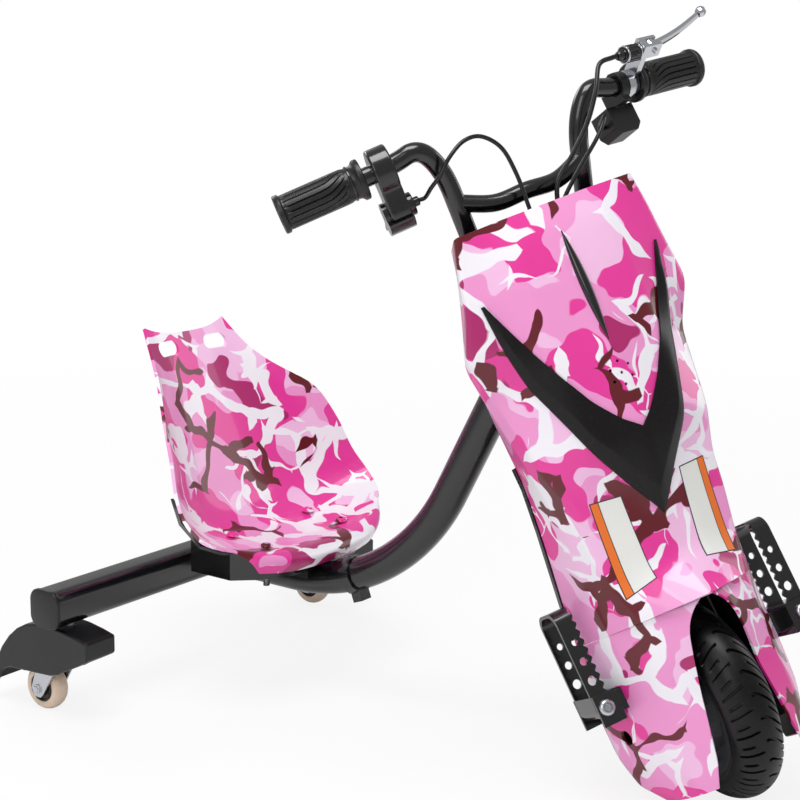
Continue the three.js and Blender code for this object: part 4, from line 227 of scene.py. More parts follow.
def add_floor():
    mesh = bpy.data.meshes.new("floor")
    corners = [(x * FLOOR_HALF, y * FLOOR_HALF, 0.0) for x, y in ((-1, -1), (1, -1), (1, 1), (-1, 1))]
    mesh.from_pydata(corners, [], [(0, 1, 2, 3)])
    mesh.materials.append(floor_material())
    floor = bpy.data.objects.new("floor", mesh)
    bpy.context.scene.collection.objects.link(floor)


for lamp_values in LAMPS:
    add_lamp(*lamp_values)
add_world()
add_floor()
print(len(LAMPS), "lamps")

# %% [markdown]
# ## Colours
#
# A colour picker gives screen values, and a shader works with light. One function takes a picked colour
# to the linear values that the shader needs.

# %% Colours


def screen(red, green, blue):
    """A picked screen colour, 0 to 255, as the linear colour of a shader."""
    def linear(value):
        share = value / 255.0
        return share / 12.92 if share <= 0.04045 else ((share + 0.055) / 1.055) ** 2.4
    return (linear(red), linear(green), linear(blue), 1.0)


LIGHT_PINK = screen(240, 152, 208)
PALE_PINK = screen(245, 192, 230)
HOT_PINK = screen(232, 58, 156)
DEEP_PINK = screen(176, 36, 108)
PRINT_WHITE = screen(246, 241, 249)
PRINT_BROWN = screen(100, 16, 30)
print("six camouflage colours, from", [round(value, 2) for value in LIGHT_PINK[:3]])

# %% [markdown]
# ## Shader groups
#
# An effect that several finishes share is built once as a node group: the print of the camouflage, the
# fine grain of moulded plastic, and the marks of handling. Each finish then sets the group's own values.

# %% Shader group helpers


def shader_group(name, inputs, outputs):
    """An empty shader group with its named sockets, and its input and output nodes."""
    group = bpy.data.node_groups.new(name, "ShaderNodeTree")
    for label, kind, value in inputs:
        socket = group.interface.new_socket(label, in_out="INPUT", socket_type=kind)
        if value is not None:
            socket.default_value = value
    for label, kind in outputs:
        group.interface.new_socket(label, in_out="OUTPUT", socket_type=kind)
    return group, group.nodes.new("NodeGroupInput"), group.nodes.new("NodeGroupOutput")


def vector_node(tree, operation, first, second=None, scale=None):
    """A Vector Math node; a second value is a fixed vector or another node's socket."""
    node = tree.nodes.new("ShaderNodeVectorMath")
    node.operation = operation
    tree.links.new(first, node.inputs[0])
    if isinstance(second, tuple):
        node.inputs[1].default_value = second
    elif second is not None:
        tree.links.new(second, node.inputs[1])
    if scale is not None:
        tree.links.new(scale, node.inputs["Scale"])
    return node.outputs[0]


def noise_node(tree, place, scale, detail, offset, roughness=0.5):
    """Soft noise at a place that is first moved by an offset, so that each layer differs."""
    noise = tree.nodes.new("ShaderNodeTexNoise")
    noise.inputs["Detail"].default_value = detail
    noise.inputs["Roughness"].default_value = roughness
    if isinstance(scale, (int, float)):
        noise.inputs["Scale"].default_value = scale
    else:
        tree.links.new(scale, noise.inputs["Scale"])
    tree.links.new(vector_node(tree, "ADD", place, offset), noise.inputs["Vector"])
    return noise


def mixed_colour(tree, share, below, above):
    node = tree.nodes.new("ShaderNodeMix")
    node.data_type = "RGBA"
    tree.links.new(share, node.inputs["Factor"])
    for socket, value in ((node.inputs["A"], below), (node.inputs["B"], above)):
        if isinstance(value, tuple):
            socket.default_value = value
        else:
            tree.links.new(value, socket)
    return node.outputs["Result"]


print("helpers for", len(bpy.data.node_groups), "groups so far")

# %% [markdown]
# ## The camouflage
#
# The print on the real shells is laid down in layers: broad soft patches of pink, then forked white arms,
# and a few thin brown twigs on top. A patch is where slow noise is above a level. Arms fork as cracks in
# mud do, so they follow the seams between Voronoi cells, and a noise opens and closes their width so that
# each one tapers out.

# %% Camouflage group
PRINT_EDGE = 0.006
ARM_EDGE = 0.012
PATCH_DETAIL = 1.2
PATCH_ROUGHNESS = 0.45
ARM_DETAIL = 0.6
BEND_SCALE = 26.0
BEND_OFFSET = (3.1, 1.7, 5.3)
PATCH_LAYERS = (
    # offset, level, colour
    ((2.0, 4.0, 6.0), 0.54, PALE_PINK),
    ((7.3, 1.1, 3.9), 0.515, HOT_PINK),
    ((1.9, 9.2, 4.4), 0.66, DEEP_PINK),
)
ARM_LAYERS = (
    # cells' share of the scale, offset, opening, spread, widest, colour
    (1.0, (5.5, 2.7, 8.1), 0.455, 0.9, 0.09, PRINT_WHITE),
    (1.6, (2.5, 7.7, 3.1), 0.55, 0.9, 0.08, PRINT_WHITE),
    (1.15, (8.8, 6.2, 0.7), 0.53, 1.4, 0.085, PRINT_BROWN),
)


def patches(tree, place, scale, offset, level):
    """Soft-edged patches where slow noise is above the level."""
    noise = noise_node(tree, place, scale, PATCH_DETAIL, offset, PATCH_ROUGHNESS)
    return ramp_between(tree, noise.outputs["Fac"], level, level + PRINT_EDGE)


def arms(tree, place, scale, cells_share, offset, opening, spread, widest):
    """Forked arms: the seams between cells, as wide as a noise is above the opening."""
    cells = tree.nodes.new("ShaderNodeTexVoronoi")
    cells.feature = "DISTANCE_TO_EDGE"
    tree.links.new(math_node(tree, "MULTIPLY", scale, cells_share), cells.inputs["Scale"])
    tree.links.new(vector_node(tree, "ADD", place, offset), cells.inputs["Vector"])
    widening = noise_node(tree, place, scale, ARM_DETAIL, (offset[2], offset[0], offset[1]))
    opened = math_node(tree, "SUBTRACT", widening.outputs["Fac"], opening)
    width = math_node(tree, "MINIMUM", math_node(tree, "MULTIPLY", opened, spread), widest)
    return ramp_between(tree, math_node(tree, "SUBTRACT", width, cells.outputs["Distance"]), 0.0, ARM_EDGE)


def camouflage_group():
    group, start, end = shader_group(
        "camouflage",
        (("Position", "NodeSocketVector", None), ("Scale", "NodeSocketFloat", 13.0),
         ("Bend", "NodeSocketFloat", 0.03)),
        (("Color", "NodeSocketColor"),),
    )
    bend = noise_node(group, start.outputs["Position"], BEND_SCALE, 1.0, BEND_OFFSET)
    centred = vector_node(group, "SUBTRACT", bend.outputs["Color"], (0.5, 0.5, 0.5))
    sized = vector_node(group, "SCALE", centred, scale=start.outputs["Bend"])
    place = vector_node(group, "ADD", start.outputs["Position"], sized)
    scale = start.outputs["Scale"]
    colour = LIGHT_PINK
    for *values, layer_colour in PATCH_LAYERS:
        colour = mixed_colour(group, patches(group, place, scale, *values), colour, layer_colour)
    for *values, layer_colour in ARM_LAYERS:
        colour = mixed_colour(group, arms(group, place, scale, *values), colour, layer_colour)
    group.links.new(colour, end.inputs["Color"])
    return group


camouflage = camouflage_group()
print("camouflage nodes", len(camouflage.nodes))

# %% [markdown]
# ## Grain and handling marks
#
# Moulded plastic has a fine grain from its mould, powder coat has a wavy skin like orange peel, and both
# pick up faint smears. The grain group gives a height for a Bump node, and the marks group shifts the
# roughness.

# %% Grain and marks groups
SMEAR_SCALE = 14.0
SPECK_SCALE = 260.0
SPECK_LEVELS = (0.5, 0.75)
DUST_COLOUR = (0.55, 0.53, 0.5, 1.0)


def grain_group():
    group, start, end = shader_group(
        "surface grain",
        (("Position", "NodeSocketVector", None), ("Fine", "NodeSocketFloat", 900.0),
         ("Broad", "NodeSocketFloat", 60.0), ("Broad Share", "NodeSocketFloat", 0.3)),
        (("Height", "NodeSocketFloat"),),
    )
    fine = noise_node(group, start.outputs["Position"], start.outputs["Fine"], 2.0, (0.3, 0.1, 0.7))
    broad = noise_node(group, start.outputs["Position"], start.outputs["Broad"], 1.0, (1.3, 2.1, 0.2))
    waves = math_node(group, "MULTIPLY", broad.outputs["Fac"], start.outputs["Broad Share"])
    group.links.new(math_node(group, "ADD", fine.outputs["Fac"], waves), end.inputs["Height"])
    return group


def marks_group():
    group, start, end = shader_group(
        "handling marks",
        (("Position", "NodeSocketVector", None), ("Roughness", "NodeSocketFloat", 0.4),
         ("Spread", "NodeSocketFloat", 0.1), ("Color", "NodeSocketColor", (0.5, 0.5, 0.5, 1.0)),
         ("Dust", "NodeSocketFloat", 0.04)),
        (("Roughness", "NodeSocketFloat"), ("Color", "NodeSocketColor")),
    )
    smear = noise_node(group, start.outputs["Position"], SMEAR_SCALE, 4.0, (4.0, 0.0, 2.0), 0.6)
    centred = math_node(group, "SUBTRACT", smear.outputs["Fac"], 0.5)
    shift = math_node(group, "MULTIPLY", centred, start.outputs["Spread"])
    group.links.new(math_node(group, "ADD", start.outputs["Roughness"], shift), end.inputs["Roughness"])
    specks = noise_node(group, start.outputs["Position"], SPECK_SCALE, 3.0, (1.0, 5.0, 0.0), 0.7)
    speckled = ramp_between(group, specks.outputs["Fac"], *SPECK_LEVELS)
    dusty = math_node(group, "MULTIPLY", speckled, start.outputs["Dust"])
    group.links.new(mixed_colour(group, dusty, start.outputs["Color"], DUST_COLOUR), end.inputs["Color"])
    return group


surface_grain = grain_group()
handling_marks = marks_group()
print("groups", surface_grain.name, "and", handling_marks.name)

# %% [markdown]
# ## The finishes
#
# Each finish is one Principled shader. Its colour and roughness pass through the marks group, and its
# bump comes from the grain group. What stays the same all over a surface, such as the clear coat, is set
# on the shader.

# %% Finish builder
PRINT_SCALE = 13.0
PRINT_BEND = 0.032
BUMP_HEIGHT = 0.0002


def place_group(material, group, values):
    node = material.node_tree.nodes.new("ShaderNodeGroup")
    node.node_tree = group
    for label, value in values.items():
        node.inputs[label].default_value = value
    return node


def finish(name, colour, roughness, metallic=0.0, coat=0.0, coat_roughness=0.1, grain=(900.0, 60.0, 0.3),
           bump=0.02, marks=0.1, dust=0.03, specular=0.5):
    """A finish with grain and handling marks. A colour of None means the camouflage print."""
    material = bpy.data.materials.new(name)
    material.use_nodes = True
    nodes, links = material.node_tree.nodes, material.node_tree.links
    shader = nodes["Principled BSDF"]
    shader.inputs["Metallic"].default_value = metallic
    shader.inputs["Coat Weight"].default_value = coat
    shader.inputs["Coat Roughness"].default_value = coat_roughness
    shader.inputs["Specular IOR Level"].default_value = specular
    place = nodes.new("ShaderNodeTexCoord").outputs["Object"]
    worn = place_group(material, handling_marks, {"Roughness": roughness, "Spread": marks, "Dust": dust})
    links.new(place, worn.inputs["Position"])
    if colour is None:
        printed = place_group(material, camouflage, {"Scale": PRINT_SCALE, "Bend": PRINT_BEND})
        links.new(place, printed.inputs["Position"])
        links.new(printed.outputs["Color"], worn.inputs["Color"])
    else:
        worn.inputs["Color"].default_value = colour
    links.new(worn.outputs["Color"], shader.inputs["Base Color"])
    links.new(worn.outputs["Roughness"], shader.inputs["Roughness"])
    fine, broad, share = grain
    grained = place_group(material, surface_grain, {"Fine": fine, "Broad": broad, "Broad Share": share})
    links.new(place, grained.inputs["Position"])
    raised = nodes.new("ShaderNodeBump")
    raised.inputs["Strength"].default_value = bump
    raised.inputs["Distance"].default_value = BUMP_HEIGHT
    links.new(grained.outputs["Height"], raised.inputs["Height"])
    links.new(raised.outputs["Normal"], shader.inputs["Normal"])
    return material


# %% Finishes
camouflage_gloss = finish("camouflage gloss", None, 0.36, coat=0.5, coat_roughness=0.06,
                          grain=(500.0, 25.0, 1.6), bump=0.05, marks=0.08, dust=0.0, specular=0.3)
powder_black = finish("powder coat black", screen(9, 9, 12), 0.22, coat=0.5, coat_roughness=0.05,
                      grain=(700.0, 240.0, 1.0), bump=0.12, marks=0.12, dust=0.01)
gloss_black = finish("gloss black plastic", screen(10, 9, 10), 0.2, coat=0.5, coat_roughness=0.05,
                     grain=(900.0, 40.0, 1.0), marks=0.08, dust=0.01)
satin_trim = finish("satin trim plastic", screen(14, 10, 11), 0.36, grain=(1200.0, 60.0, 0.6), bump=0.05,
                    dust=0.01, specular=0.28)
moulded_black = finish("moulded black plastic", screen(12, 12, 15), 0.38, grain=(1400.0, 90.0, 0.4), bump=0.2,
                       marks=0.14, dust=0.015)
grip_rubber = finish("grip rubber", screen(14, 13, 17), 0.36, grain=(1100.0, 120.0, 0.4), bump=0.2,
                     marks=0.16, dust=0.015)
tyre_rubber = finish("tyre rubber", screen(9, 8, 10), 0.38, grain=(1000.0, 150.0, 0.5), bump=0.25, marks=0.2,
                     dust=0.01, specular=0.3)
zinc_steel = finish("zinc plated steel", screen(196, 198, 203), 0.26, metallic=1.0,
                    grain=(1200.0, 90.0, 0.5), bump=0.08, marks=0.2, dust=0.02)
polished_alloy = finish("polished alloy", screen(208, 210, 215), 0.16, metallic=1.0,
                        grain=(900.0, 60.0, 0.6), bump=0.04, marks=0.12, dust=0.0)
grey_alloy = finish("anodised alloy", screen(120, 122, 128), 0.32, metallic=1.0, bump=0.05, marks=0.14)
case_grey = finish("dark grey case", screen(58, 60, 66), 0.5, grain=(1200.0, 90.0, 0.4), bump=0.2)
cable_black = finish("cable sheath", screen(12, 12, 14), 0.3, grain=(800.0, 100.0, 0.4), bump=0.08)
amber_tread = finish("amber urethane", screen(226, 202, 180), 0.22, coat=0.3, coat_roughness=0.12, bump=0.03)
plate_white = finish("bare white plate", screen(232, 232, 228), 0.35, grain=(1500.0, 80.0, 0.5), bump=0.04,
                     dust=0.05)
plate_orange = finish("bare orange strip", screen(236, 116, 34), 0.35, grain=(1500.0, 80.0, 0.5), bump=0.04,
                      dust=0.05)
plate_edge = finish("plate edge", screen(40, 34, 36), 0.4)
print(len(bpy.data.materials), "materials so far")

# %% [markdown]
# ## Dressing what keeps its shape
#
# Most small hard parts already have the right form in the frame, so they only need their finish. Their
# loose triangles are left alone.

# %% Finishes of the frame's own nodes
NODE_FINISHES = {
    powder_black: (
        "main_tube", "head_tube", "tube_collar", "rear_cross_tube", "seat_bracket", "steerer_and_lower_crown",
        "upper_crown", "fork_leg_left", "fork_leg_right", "handlebar", "peg_bracket_left",
        "peg_bracket_right", "peg_left", "peg_right",
    ),
    gloss_black: ("centre_fin", "side_strip_left", "side_strip_right"),
    satin_trim: ("v_trim",),
    moulded_black: (
        "end_cap_left", "end_cap_right", "speaker", "rear_cover", "throttle_housing", "throttle_paddle",
        "switch_box", "caster_hood_left", "caster_hood_right", "caster_hub_left", "caster_hub_right",
    ),
    grip_rubber: ("grip_left", "grip_right"),
    tyre_rubber: ("tyre",),
    zinc_steel: (
        "seat_bolt_1", "seat_bolt_2", "seat_bolt_3", "seat_bolt_4", "front_axle", "peg_bolt_left",
        "peg_bolt_right", "caster_fork_left", "caster_fork_right",
    ),
    polished_alloy: ("brake_bracket", "brake_lever"),
    grey_alloy: ("brake_adjuster", "motor_controller", "head_bearing_lower", "head_bearing_upper"),
    case_grey: ("hub_motor", "switch_button", "battery"),
    cable_black: ("throttle_cable", "brake_cable", "switch_lead"),
    amber_tread: ("caster_tread_left", "caster_tread_right"),
    camouflage_gloss: ("front_shell", "boot_left", "boot_right", "seat_shell"),
}


def give_finish(piece, material):
    if not piece.material_slots:
        piece.data.materials.append(material)
    for slot in piece.material_slots:
        slot.material = material


finish_of = {node: material for material, nodes in NODE_FINISHES.items() for node in nodes}
for node, piece in frame["nodes"].items():
    give_finish(piece, finish_of[node])
print(len(finish_of), "nodes have a finish")

# %% [markdown]
# ## Pieces that stand for a node
#
# A new piece is made from points and faces, turned outwards if its volume comes out negative, and set to
# ride with the body of the node that it stands for.

# %% Piece helpers
MERGE_DISTANCE = 1e-5
FLAT_ANGLE = math.radians(1.0)
SOFT_ANGLE = math.radians(33.0)
bodies_of = {node: body for body, nodes in frame["record"]["behaviour"]["bodies"].items() for node in nodes}


def plain_mesh(shape, name, *materials):
    """A mesh of a bmesh's points, faces and slots; the bmesh is freed. A closed skin is turned outwards."""
    closed = all(edge.is_manifold for edge in shape.edges)
    if closed and shape.calc_volume(signed=True) < 0.0:
        bmesh.ops.reverse_faces(shape, faces=shape.faces)
    shape.verts.index_update()
    points = [vert.co.copy() for vert in shape.verts]
    faces = [[vert.index for vert in face.verts] for face in shape.faces]
    slots = [min(face.material_index, len(materials) - 1) for face in shape.faces]
    shape.free()
    mesh = bpy.data.meshes.new(name)
    mesh.from_pydata(points, [], faces)
    for material in materials:
        mesh.materials.append(material)
    mesh.polygons.foreach_set("material_index", slots)
    return mesh


def piece_from(shape, name, material):
    piece = bpy.data.objects.new(name, plain_mesh(shape, name, material))
    bpy.context.scene.collection.objects.link(piece)
    return piece


def soften(piece, angle=SOFT_ANGLE):
    piece.data.polygons.foreach_set("use_smooth", [True] * len(piece.data.polygons))
    piece.data.set_sharp_from_angle(angle=angle)
    return piece


def round_edges(piece, width, segments=2):
    """Narrow bevels along the edges, live on the piece."""
    bevel = piece.modifiers.new("rounded edges", "BEVEL")
    bevel.width = width
    bevel.segments = segments
    bevel.limit_method = "ANGLE"
    bevel.angle_limit = SOFT_ANGLE
    bevel.use_clamp_overlap = True
    bevel.harden_normals = True
    return piece


def even_shading(piece):
    """Lets large faces decide the shading at a rounded edge, live on the piece."""
    weighted = piece.modifiers.new("even shading", "WEIGHTED_NORMAL")
    weighted.keep_sharp = True
    return piece


def bake(piece):
    """Replaces the piece's mesh with what its modifiers make of it, and takes them off."""
    graph = bpy.context.evaluated_depsgraph_get()
    mesh = bpy.data.meshes.new_from_object(piece.evaluated_get(graph))
    piece.modifiers.clear()
    piece.data = mesh
    return piece


def ride_beside(piece, node):
    """A piece that moves with the node's body."""
    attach(piece, bodies_of[node])
    return piece


def stand_for(piece, node):
    """A piece that rides beside the node and hides it."""
    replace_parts(ride_beside(piece, node), node)
    return piece


# %% [markdown]
# ## Skins from stations
#
# Shells and trims are skins through cross sections, here called stations. A moulded shell is flat between
# its folds, and each fold is a small arc. So a list of stations is first softened, which swaps each inner
# station for a short arc, and then filled with more stations so that no quad gets long.

# %% Station helpers
ARC_STEPS = 4
MOST_OF_SPAN = 0.45


def lerp(low, high, share):
    return low + (high - low) * share


def blended(first, second, share):
    return [a.lerp(b, share) for a, b in zip(first, second)]


def span_of(first, second):
    return max((a - b).length for a, b in zip(first, second))


def softened(stations, reach):
    """The stations with each bend replaced by a short arc that starts a reach before it."""
    result = [stations[0]]
    for before, here, after in zip(stations, stations[1:], stations[2:]):
        start = blended(here, before, min(MOST_OF_SPAN, reach / span_of(here, before)))
        end = blended(here, after, min(MOST_OF_SPAN, reach / span_of(here, after)))
        for step in range(ARC_STEPS + 1):
            share = step / ARC_STEPS
            result.append(blended(blended(start, here, share), blended(here, end, share), share))
    return result + [stations[-1]]


def filled(stations, longest):
    """The stations with more between them, so that no two are further apart than the longest."""
    result = []
    for first, second in zip(stations, stations[1:]):
        steps = max(1, math.ceil(span_of(first, second) / longest))
        result += [blended(first, second, step / steps) for step in range(steps)]
    return result + [stations[-1]]


def skin(rows, around=False, capped=False):
    """A bmesh of quads through rows of points. Around joins each row's ends; capped closes both ends."""
    shape = bmesh.new()
    grid = [[shape.verts.new(point) for point in row] for row in rows]
    count = len(rows[0])
    for low, high in zip(grid, grid[1:]):
        for i in range(count if around else count - 1):
            j = (i + 1) % count
            shape.faces.new((low[i], low[j], high[j], high[i]))
    if capped:
        shape.faces.new(list(reversed(grid[0])))
        shape.faces.new(grid[-1])
    return shape


def prism(outline, low, high, place):
    """A closed bar from an outline; place turns (first, second, depth) into a point of the scene."""
    return skin([[place(a, b, depth) for a, b in outline] for depth in (low, high)], around=True, capped=True)


def arc_of(centre, radius, start, end, steps=10):
    """Points of an arc from one turn to another, in degrees."""
    turns = [math.radians(lerp(start, end, i / steps)) for i in range(steps + 1)]
    return [(centre[0] + radius * math.cos(turn), centre[1] + radius * math.sin(turn)) for turn in turns]


print("arcs have", ARC_STEPS, "steps")

# %% [markdown]
# ## A node tree that sweeps tubes
#
# The frame tube, the fork, the handlebar and the cables are each one round section along a path. A
# Geometry Nodes tree does this best: the path's edges become a curve, a circle follows it, and its ends
# are closed. The radius and the number of sides are inputs, so one tree makes a 40 mm frame tube as well
# as a 4 mm cable.

# %% Swept tube tree
TUBE_SIDES = 40
TUBE_EDGE = 0.4 * MM


def node_group(name, inputs):
    """A Geometry Nodes group with a geometry input and output, and the named inputs after it."""
    group = bpy.data.node_groups.new(name, "GeometryNodeTree")
    group.interface.new_socket("Geometry", in_out="INPUT", socket_type="NodeSocketGeometry")
    for label, kind in inputs:
        group.interface.new_socket(label, in_out="INPUT", socket_type=kind)
    group.interface.new_socket("Geometry", in_out="OUTPUT", socket_type="NodeSocketGeometry")
    return group, group.nodes.new("NodeGroupInput"), group.nodes.new("NodeGroupOutput")


def finish_group(group, start, end, geometry):
    """Every tree ends alike: instances made real, then the material set."""
    realize = group.nodes.new("GeometryNodeRealizeInstances")
    dressed = group.nodes.new("GeometryNodeSetMaterial")
    group.links.new(geometry, realize.inputs["Geometry"])
    group.links.new(realize.outputs["Geometry"], dressed.inputs["Geometry"])
    group.links.new(start.outputs["Material"], dressed.inputs["Material"])
    group.links.new(dressed.outputs["Geometry"], end.inputs["Geometry"])


def swept_tube_group():
    inputs = (("Radius", "NodeSocketFloat"), ("Sides", "NodeSocketInt"), ("Material", "NodeSocketMaterial"))
    group, start, end = node_group("swept tube", inputs)
    path = group.nodes.new("GeometryNodeMeshToCurve")
    section = group.nodes.new("GeometryNodeCurvePrimitiveCircle")
    sweep = group.nodes.new("GeometryNodeCurveToMesh")
    sweep.inputs["Fill Caps"].default_value = True
    group.links.new(start.outputs["Geometry"], path.inputs["Mesh"])
    group.links.new(start.outputs["Radius"], section.inputs["Radius"])
    group.links.new(start.outputs["Sides"], section.inputs["Resolution"])
    group.links.new(path.outputs["Curve"], sweep.inputs["Curve"])
    group.links.new(section.outputs["Curve"], sweep.inputs["Profile Curve"])
    finish_group(group, start, end, sweep.outputs["Mesh"])
    return group


def grown(name, mesh, tree, values):
    """A plain mesh piece from a tree, whose inputs are set by their sockets' identifiers."""
    maker = bpy.data.objects.new(name + "_maker", mesh)
    bpy.context.scene.collection.objects.link(maker)
    modifier = maker.modifiers.new("grow", "NODES")
    modifier.node_group = tree
    sockets = {item.name: item.identifier for item in tree.interface.items_tree if item.in_out == "INPUT"}
    for label, value in values.items():
        modifier[sockets[label]] = value
    graph = bpy.context.evaluated_depsgraph_get()
    made = bpy.data.meshes.new_from_object(maker.evaluated_get(graph))
    bpy.data.objects.remove(maker)
    shape = bmesh.new()
    shape.from_mesh(made)
    bmesh.ops.remove_doubles(shape, verts=shape.verts, dist=MERGE_DISTANCE)
    return piece_from(shape, name, values["Material"])


swept_tube = swept_tube_group()


def tube(name, path, radius, material, sides=TUBE_SIDES):
    mesh = bpy.data.meshes.new(name + "_path")
    mesh.from_pydata(path, [(i, i + 1) for i in range(len(path) - 1)], [])
    piece = grown(name, mesh, swept_tube, {"Radius": radius, "Sides": sides, "Material": material})
    return round_edges(soften(piece), TUBE_EDGE)


print("tree", swept_tube.name, "with", len(swept_tube.nodes), "nodes")

# %% [markdown]
# ## The main tube
#
# One tube runs level under the seat, bends up in a wide arc and meets the head tube. Its front end is
# coped, which means cut to fit round the head tube, so a cylinder takes that end away.

# %% Main tube
MAIN_TUBE_RADIUS = 20 * MM
MAIN_TUBE_REAR = Vector((0.0, 0.3174, 0.138))
BEND_CENTRE = Vector((0.0, 0.20365, 0.393))
BEND_RADIUS = 0.255
BEND_TURN = math.radians(62.9)
BEND_STEPS = 40
JOINT_HEIGHT = 435.47
HEAD_TUBE_FIT = 22 * MM
HEAD_TUBE_REACH = 90


def cylinder_between(first, second, radius, sides=48):
    """A closed cylinder as a bmesh, for cutting or for a small part."""
    axis = second - first
    turn = axis.to_track_quat("Z", "Y").to_matrix().to_4x4()
    shape = bmesh.new()
    bmesh.ops.create_cone(shape, cap_ends=True, segments=sides, radius1=radius, radius2=radius,
                          depth=axis.length, matrix=Matrix.Translation((first + second) / 2) @ turn)
    return shape


def cut(piece, cutter_shape, operation="DIFFERENCE"):
    """Takes the cutter's volume out of the piece, or another Boolean operation, and leaves a plain mesh."""
    materials = list(piece.data.materials)
    cutter = piece_from(cutter_shape, "cutter", materials[0])
    boolean = piece.modifiers.new("cut", "BOOLEAN")
    boolean.object = cutter
    boolean.solver = "EXACT"
    boolean.operation = operation
    bake(piece)
    bpy.data.objects.remove(cutter)
    shape = bmesh.new()
    shape.from_mesh(piece.data)
    bmesh.ops.remove_doubles(shape, verts=shape.verts, dist=MERGE_DISTANCE)
    bmesh.ops.dissolve_degenerate(shape, edges=shape.edges, dist=MERGE_DISTANCE)
    piece.data = plain_mesh(shape, piece.name, *materials)
    return piece


def main_tube_path():
    arc = []
    for i in range(BEND_STEPS + 1):
        turn = BEND_TURN * i / BEND_STEPS
        arc.append(BEND_CENTRE + BEND_RADIUS * Vector((0.0, -math.sin(turn), -math.cos(turn))))
    return [MAIN_TUBE_REAR] + arc + [steered(0, 0, JOINT_HEIGHT)]


main_tube = tube("main_tube_swept", main_tube_path(), MAIN_TUBE_RADIUS, powder_black)
main_tube.modifiers.clear()
head_tube_ends = [steered(0, 0, JOINT_HEIGHT + reach) for reach in (-HEAD_TUBE_REACH, HEAD_TUBE_REACH)]
cut(main_tube, cylinder_between(*head_tube_ends, HEAD_TUBE_FIT))
stand_for(soften(main_tube), "main_tube")
print("main tube", len(main_tube.data.polygons), "faces")

# %% [markdown]
# ## The handlebar
#
# Two mirrored bars rise from the fork's legs, turn outwards at the shoulder and end inside the grips. A
# bowed crossbar joins them. Real bars are bent round a former, so each corner is a smooth arc and never a
# mitre.

# %% Handlebar
BAR_RADIUS = 10 * MM
CROSSBAR_RADIUS = 9 * MM
BAR_REACH = 26 * MM
BAR_SWEEP = math.radians(14.6)
BAR_STEP = 2 * MM
BAR_FOOT = 478
BAR_STRAIGHT = 30 * MM
BAR_END = 87.7 * MM
RISER_FOOT = (57, -58, 450)
RISER_TOP = (78, -134, 591)
SHOULDER = (98, -149, 619)
GRIP_INNER = (156.94, -129.94, 613.0)
CROSSBAR_HEIGHT = 546
CROSSBAR_ENDS = 560
CROSSBAR_BOW = 6
CROSSBAR_STEPS = 14


def riser_at(side, height):
    """A place on the riser's middle line at this height."""
    share = (height - RISER_FOOT[2]) / (RISER_TOP[2] - RISER_FOOT[2])
    across, back = [lerp(low, high, share) for low, high in zip(RISER_FOOT[:2], RISER_TOP[:2])]
    return steered(side * across, back, height)


def bar_direction(side):
    return (STEERED.to_3x3() @ Vector((side * math.cos(BAR_SWEEP), math.sin(BAR_SWEEP), 0.0))).normalized()


ALMOST_HALF = 0.48
FEWEST_STEPS = 6


def smooth_path(corners, reach, step):
    """A path with each corner swapped for a finely divided arc."""
    result = [corners[0]]
    for before, here, after in zip(corners, corners[1:], corners[2:]):
        start = here.lerp(before, min(ALMOST_HALF, reach / (before - here).length))
        end = here.lerp(after, min(ALMOST_HALF, reach / (after - here).length))
        steps = max(FEWEST_STEPS, int((start - end).length / step))
        for i in range(steps + 1):
            share = i / steps
            result.append(start.lerp(here, share).lerp(here.lerp(end, share), share))
    return result + [corners[-1]]


def through_points(points, steps):
    """A smooth curve that passes through every point."""
    padded = [points[0] * 2 - points[1]] + list(points) + [points[-1] * 2 - points[-2]]
    result = []
    for a, b, c, d in zip(padded, padded[1:], padded[2:], padded[3:]):
        for i in range(steps):
            t = i / steps
            result.append(0.5 * (2 * b + (c - a) * t + (2 * a - 5 * b + 4 * c - d) * t ** 2
                                 + (3 * b - a - 3 * c + d) * t ** 3))
    return result + [points[-1]]


bar_pieces = []
for side, hand in HANDS:
    bends = [steered(side * across, back, up) for across, back, up in (RISER_TOP, SHOULDER, GRIP_INNER)]
    along = bar_direction(side)
    inner = bends.pop()
    corners = [riser_at(side, BAR_FOOT)] + bends + [inner - along * BAR_STRAIGHT, inner + along * BAR_END]
    path = smooth_path(corners, BAR_REACH, BAR_STEP)
    bar_pieces.append(tube("handlebar_" + hand, path, BAR_RADIUS, powder_black))
ends = {side: riser_at(side, CROSSBAR_ENDS) for side in (-1, 1)}
end_back = (STEERED.inverted() @ ends[1]).y / MM
middle = steered(0, end_back - CROSSBAR_BOW, CROSSBAR_HEIGHT)
quarters = {side: ends[side].lerp(middle, 0.5) for side in (-1, 1)}
for side in (-1, 1):
    place = STEERED.inverted() @ quarters[side]
    place.z = CROSSBAR_HEIGHT * MM
    quarters[side] = STEERED @ place
crossbar_path = through_points([ends[-1], quarters[-1], middle, quarters[1], ends[1]], CROSSBAR_STEPS)
bar_pieces.append(tube("handlebar_crossbar", crossbar_path, CROSSBAR_RADIUS, powder_black))
for bar in bar_pieces:
    stand_for(bar, "handlebar")
print(len(bar_pieces), "handlebar tubes")

# %% [markdown]
# ## The fork legs
#
# Each leg is a tube from the axle plate past both crowns up to the handlebar's riser. The plate at the
# foot takes the axle. The tube stops above the axle, as on the frame, and the plate closes it.

# %% Fork legs
LEG_RADIUS = 12.5 * MM
LEG_OUT = 50
LEG_FOOT = 20
LEG_BEND = 110
LEG_TOP = 496
LEG_REACH = 25 * MM
LEG_STEP = 3 * MM
PLATE_SIZE = (6, 32.5, 56.25)
PLATE_MIDDLE = 9.375
PLATE_EDGE = 2 * MM
AXLE_BORE = 6.5 * MM
BORE_SPAN = (40, 60)


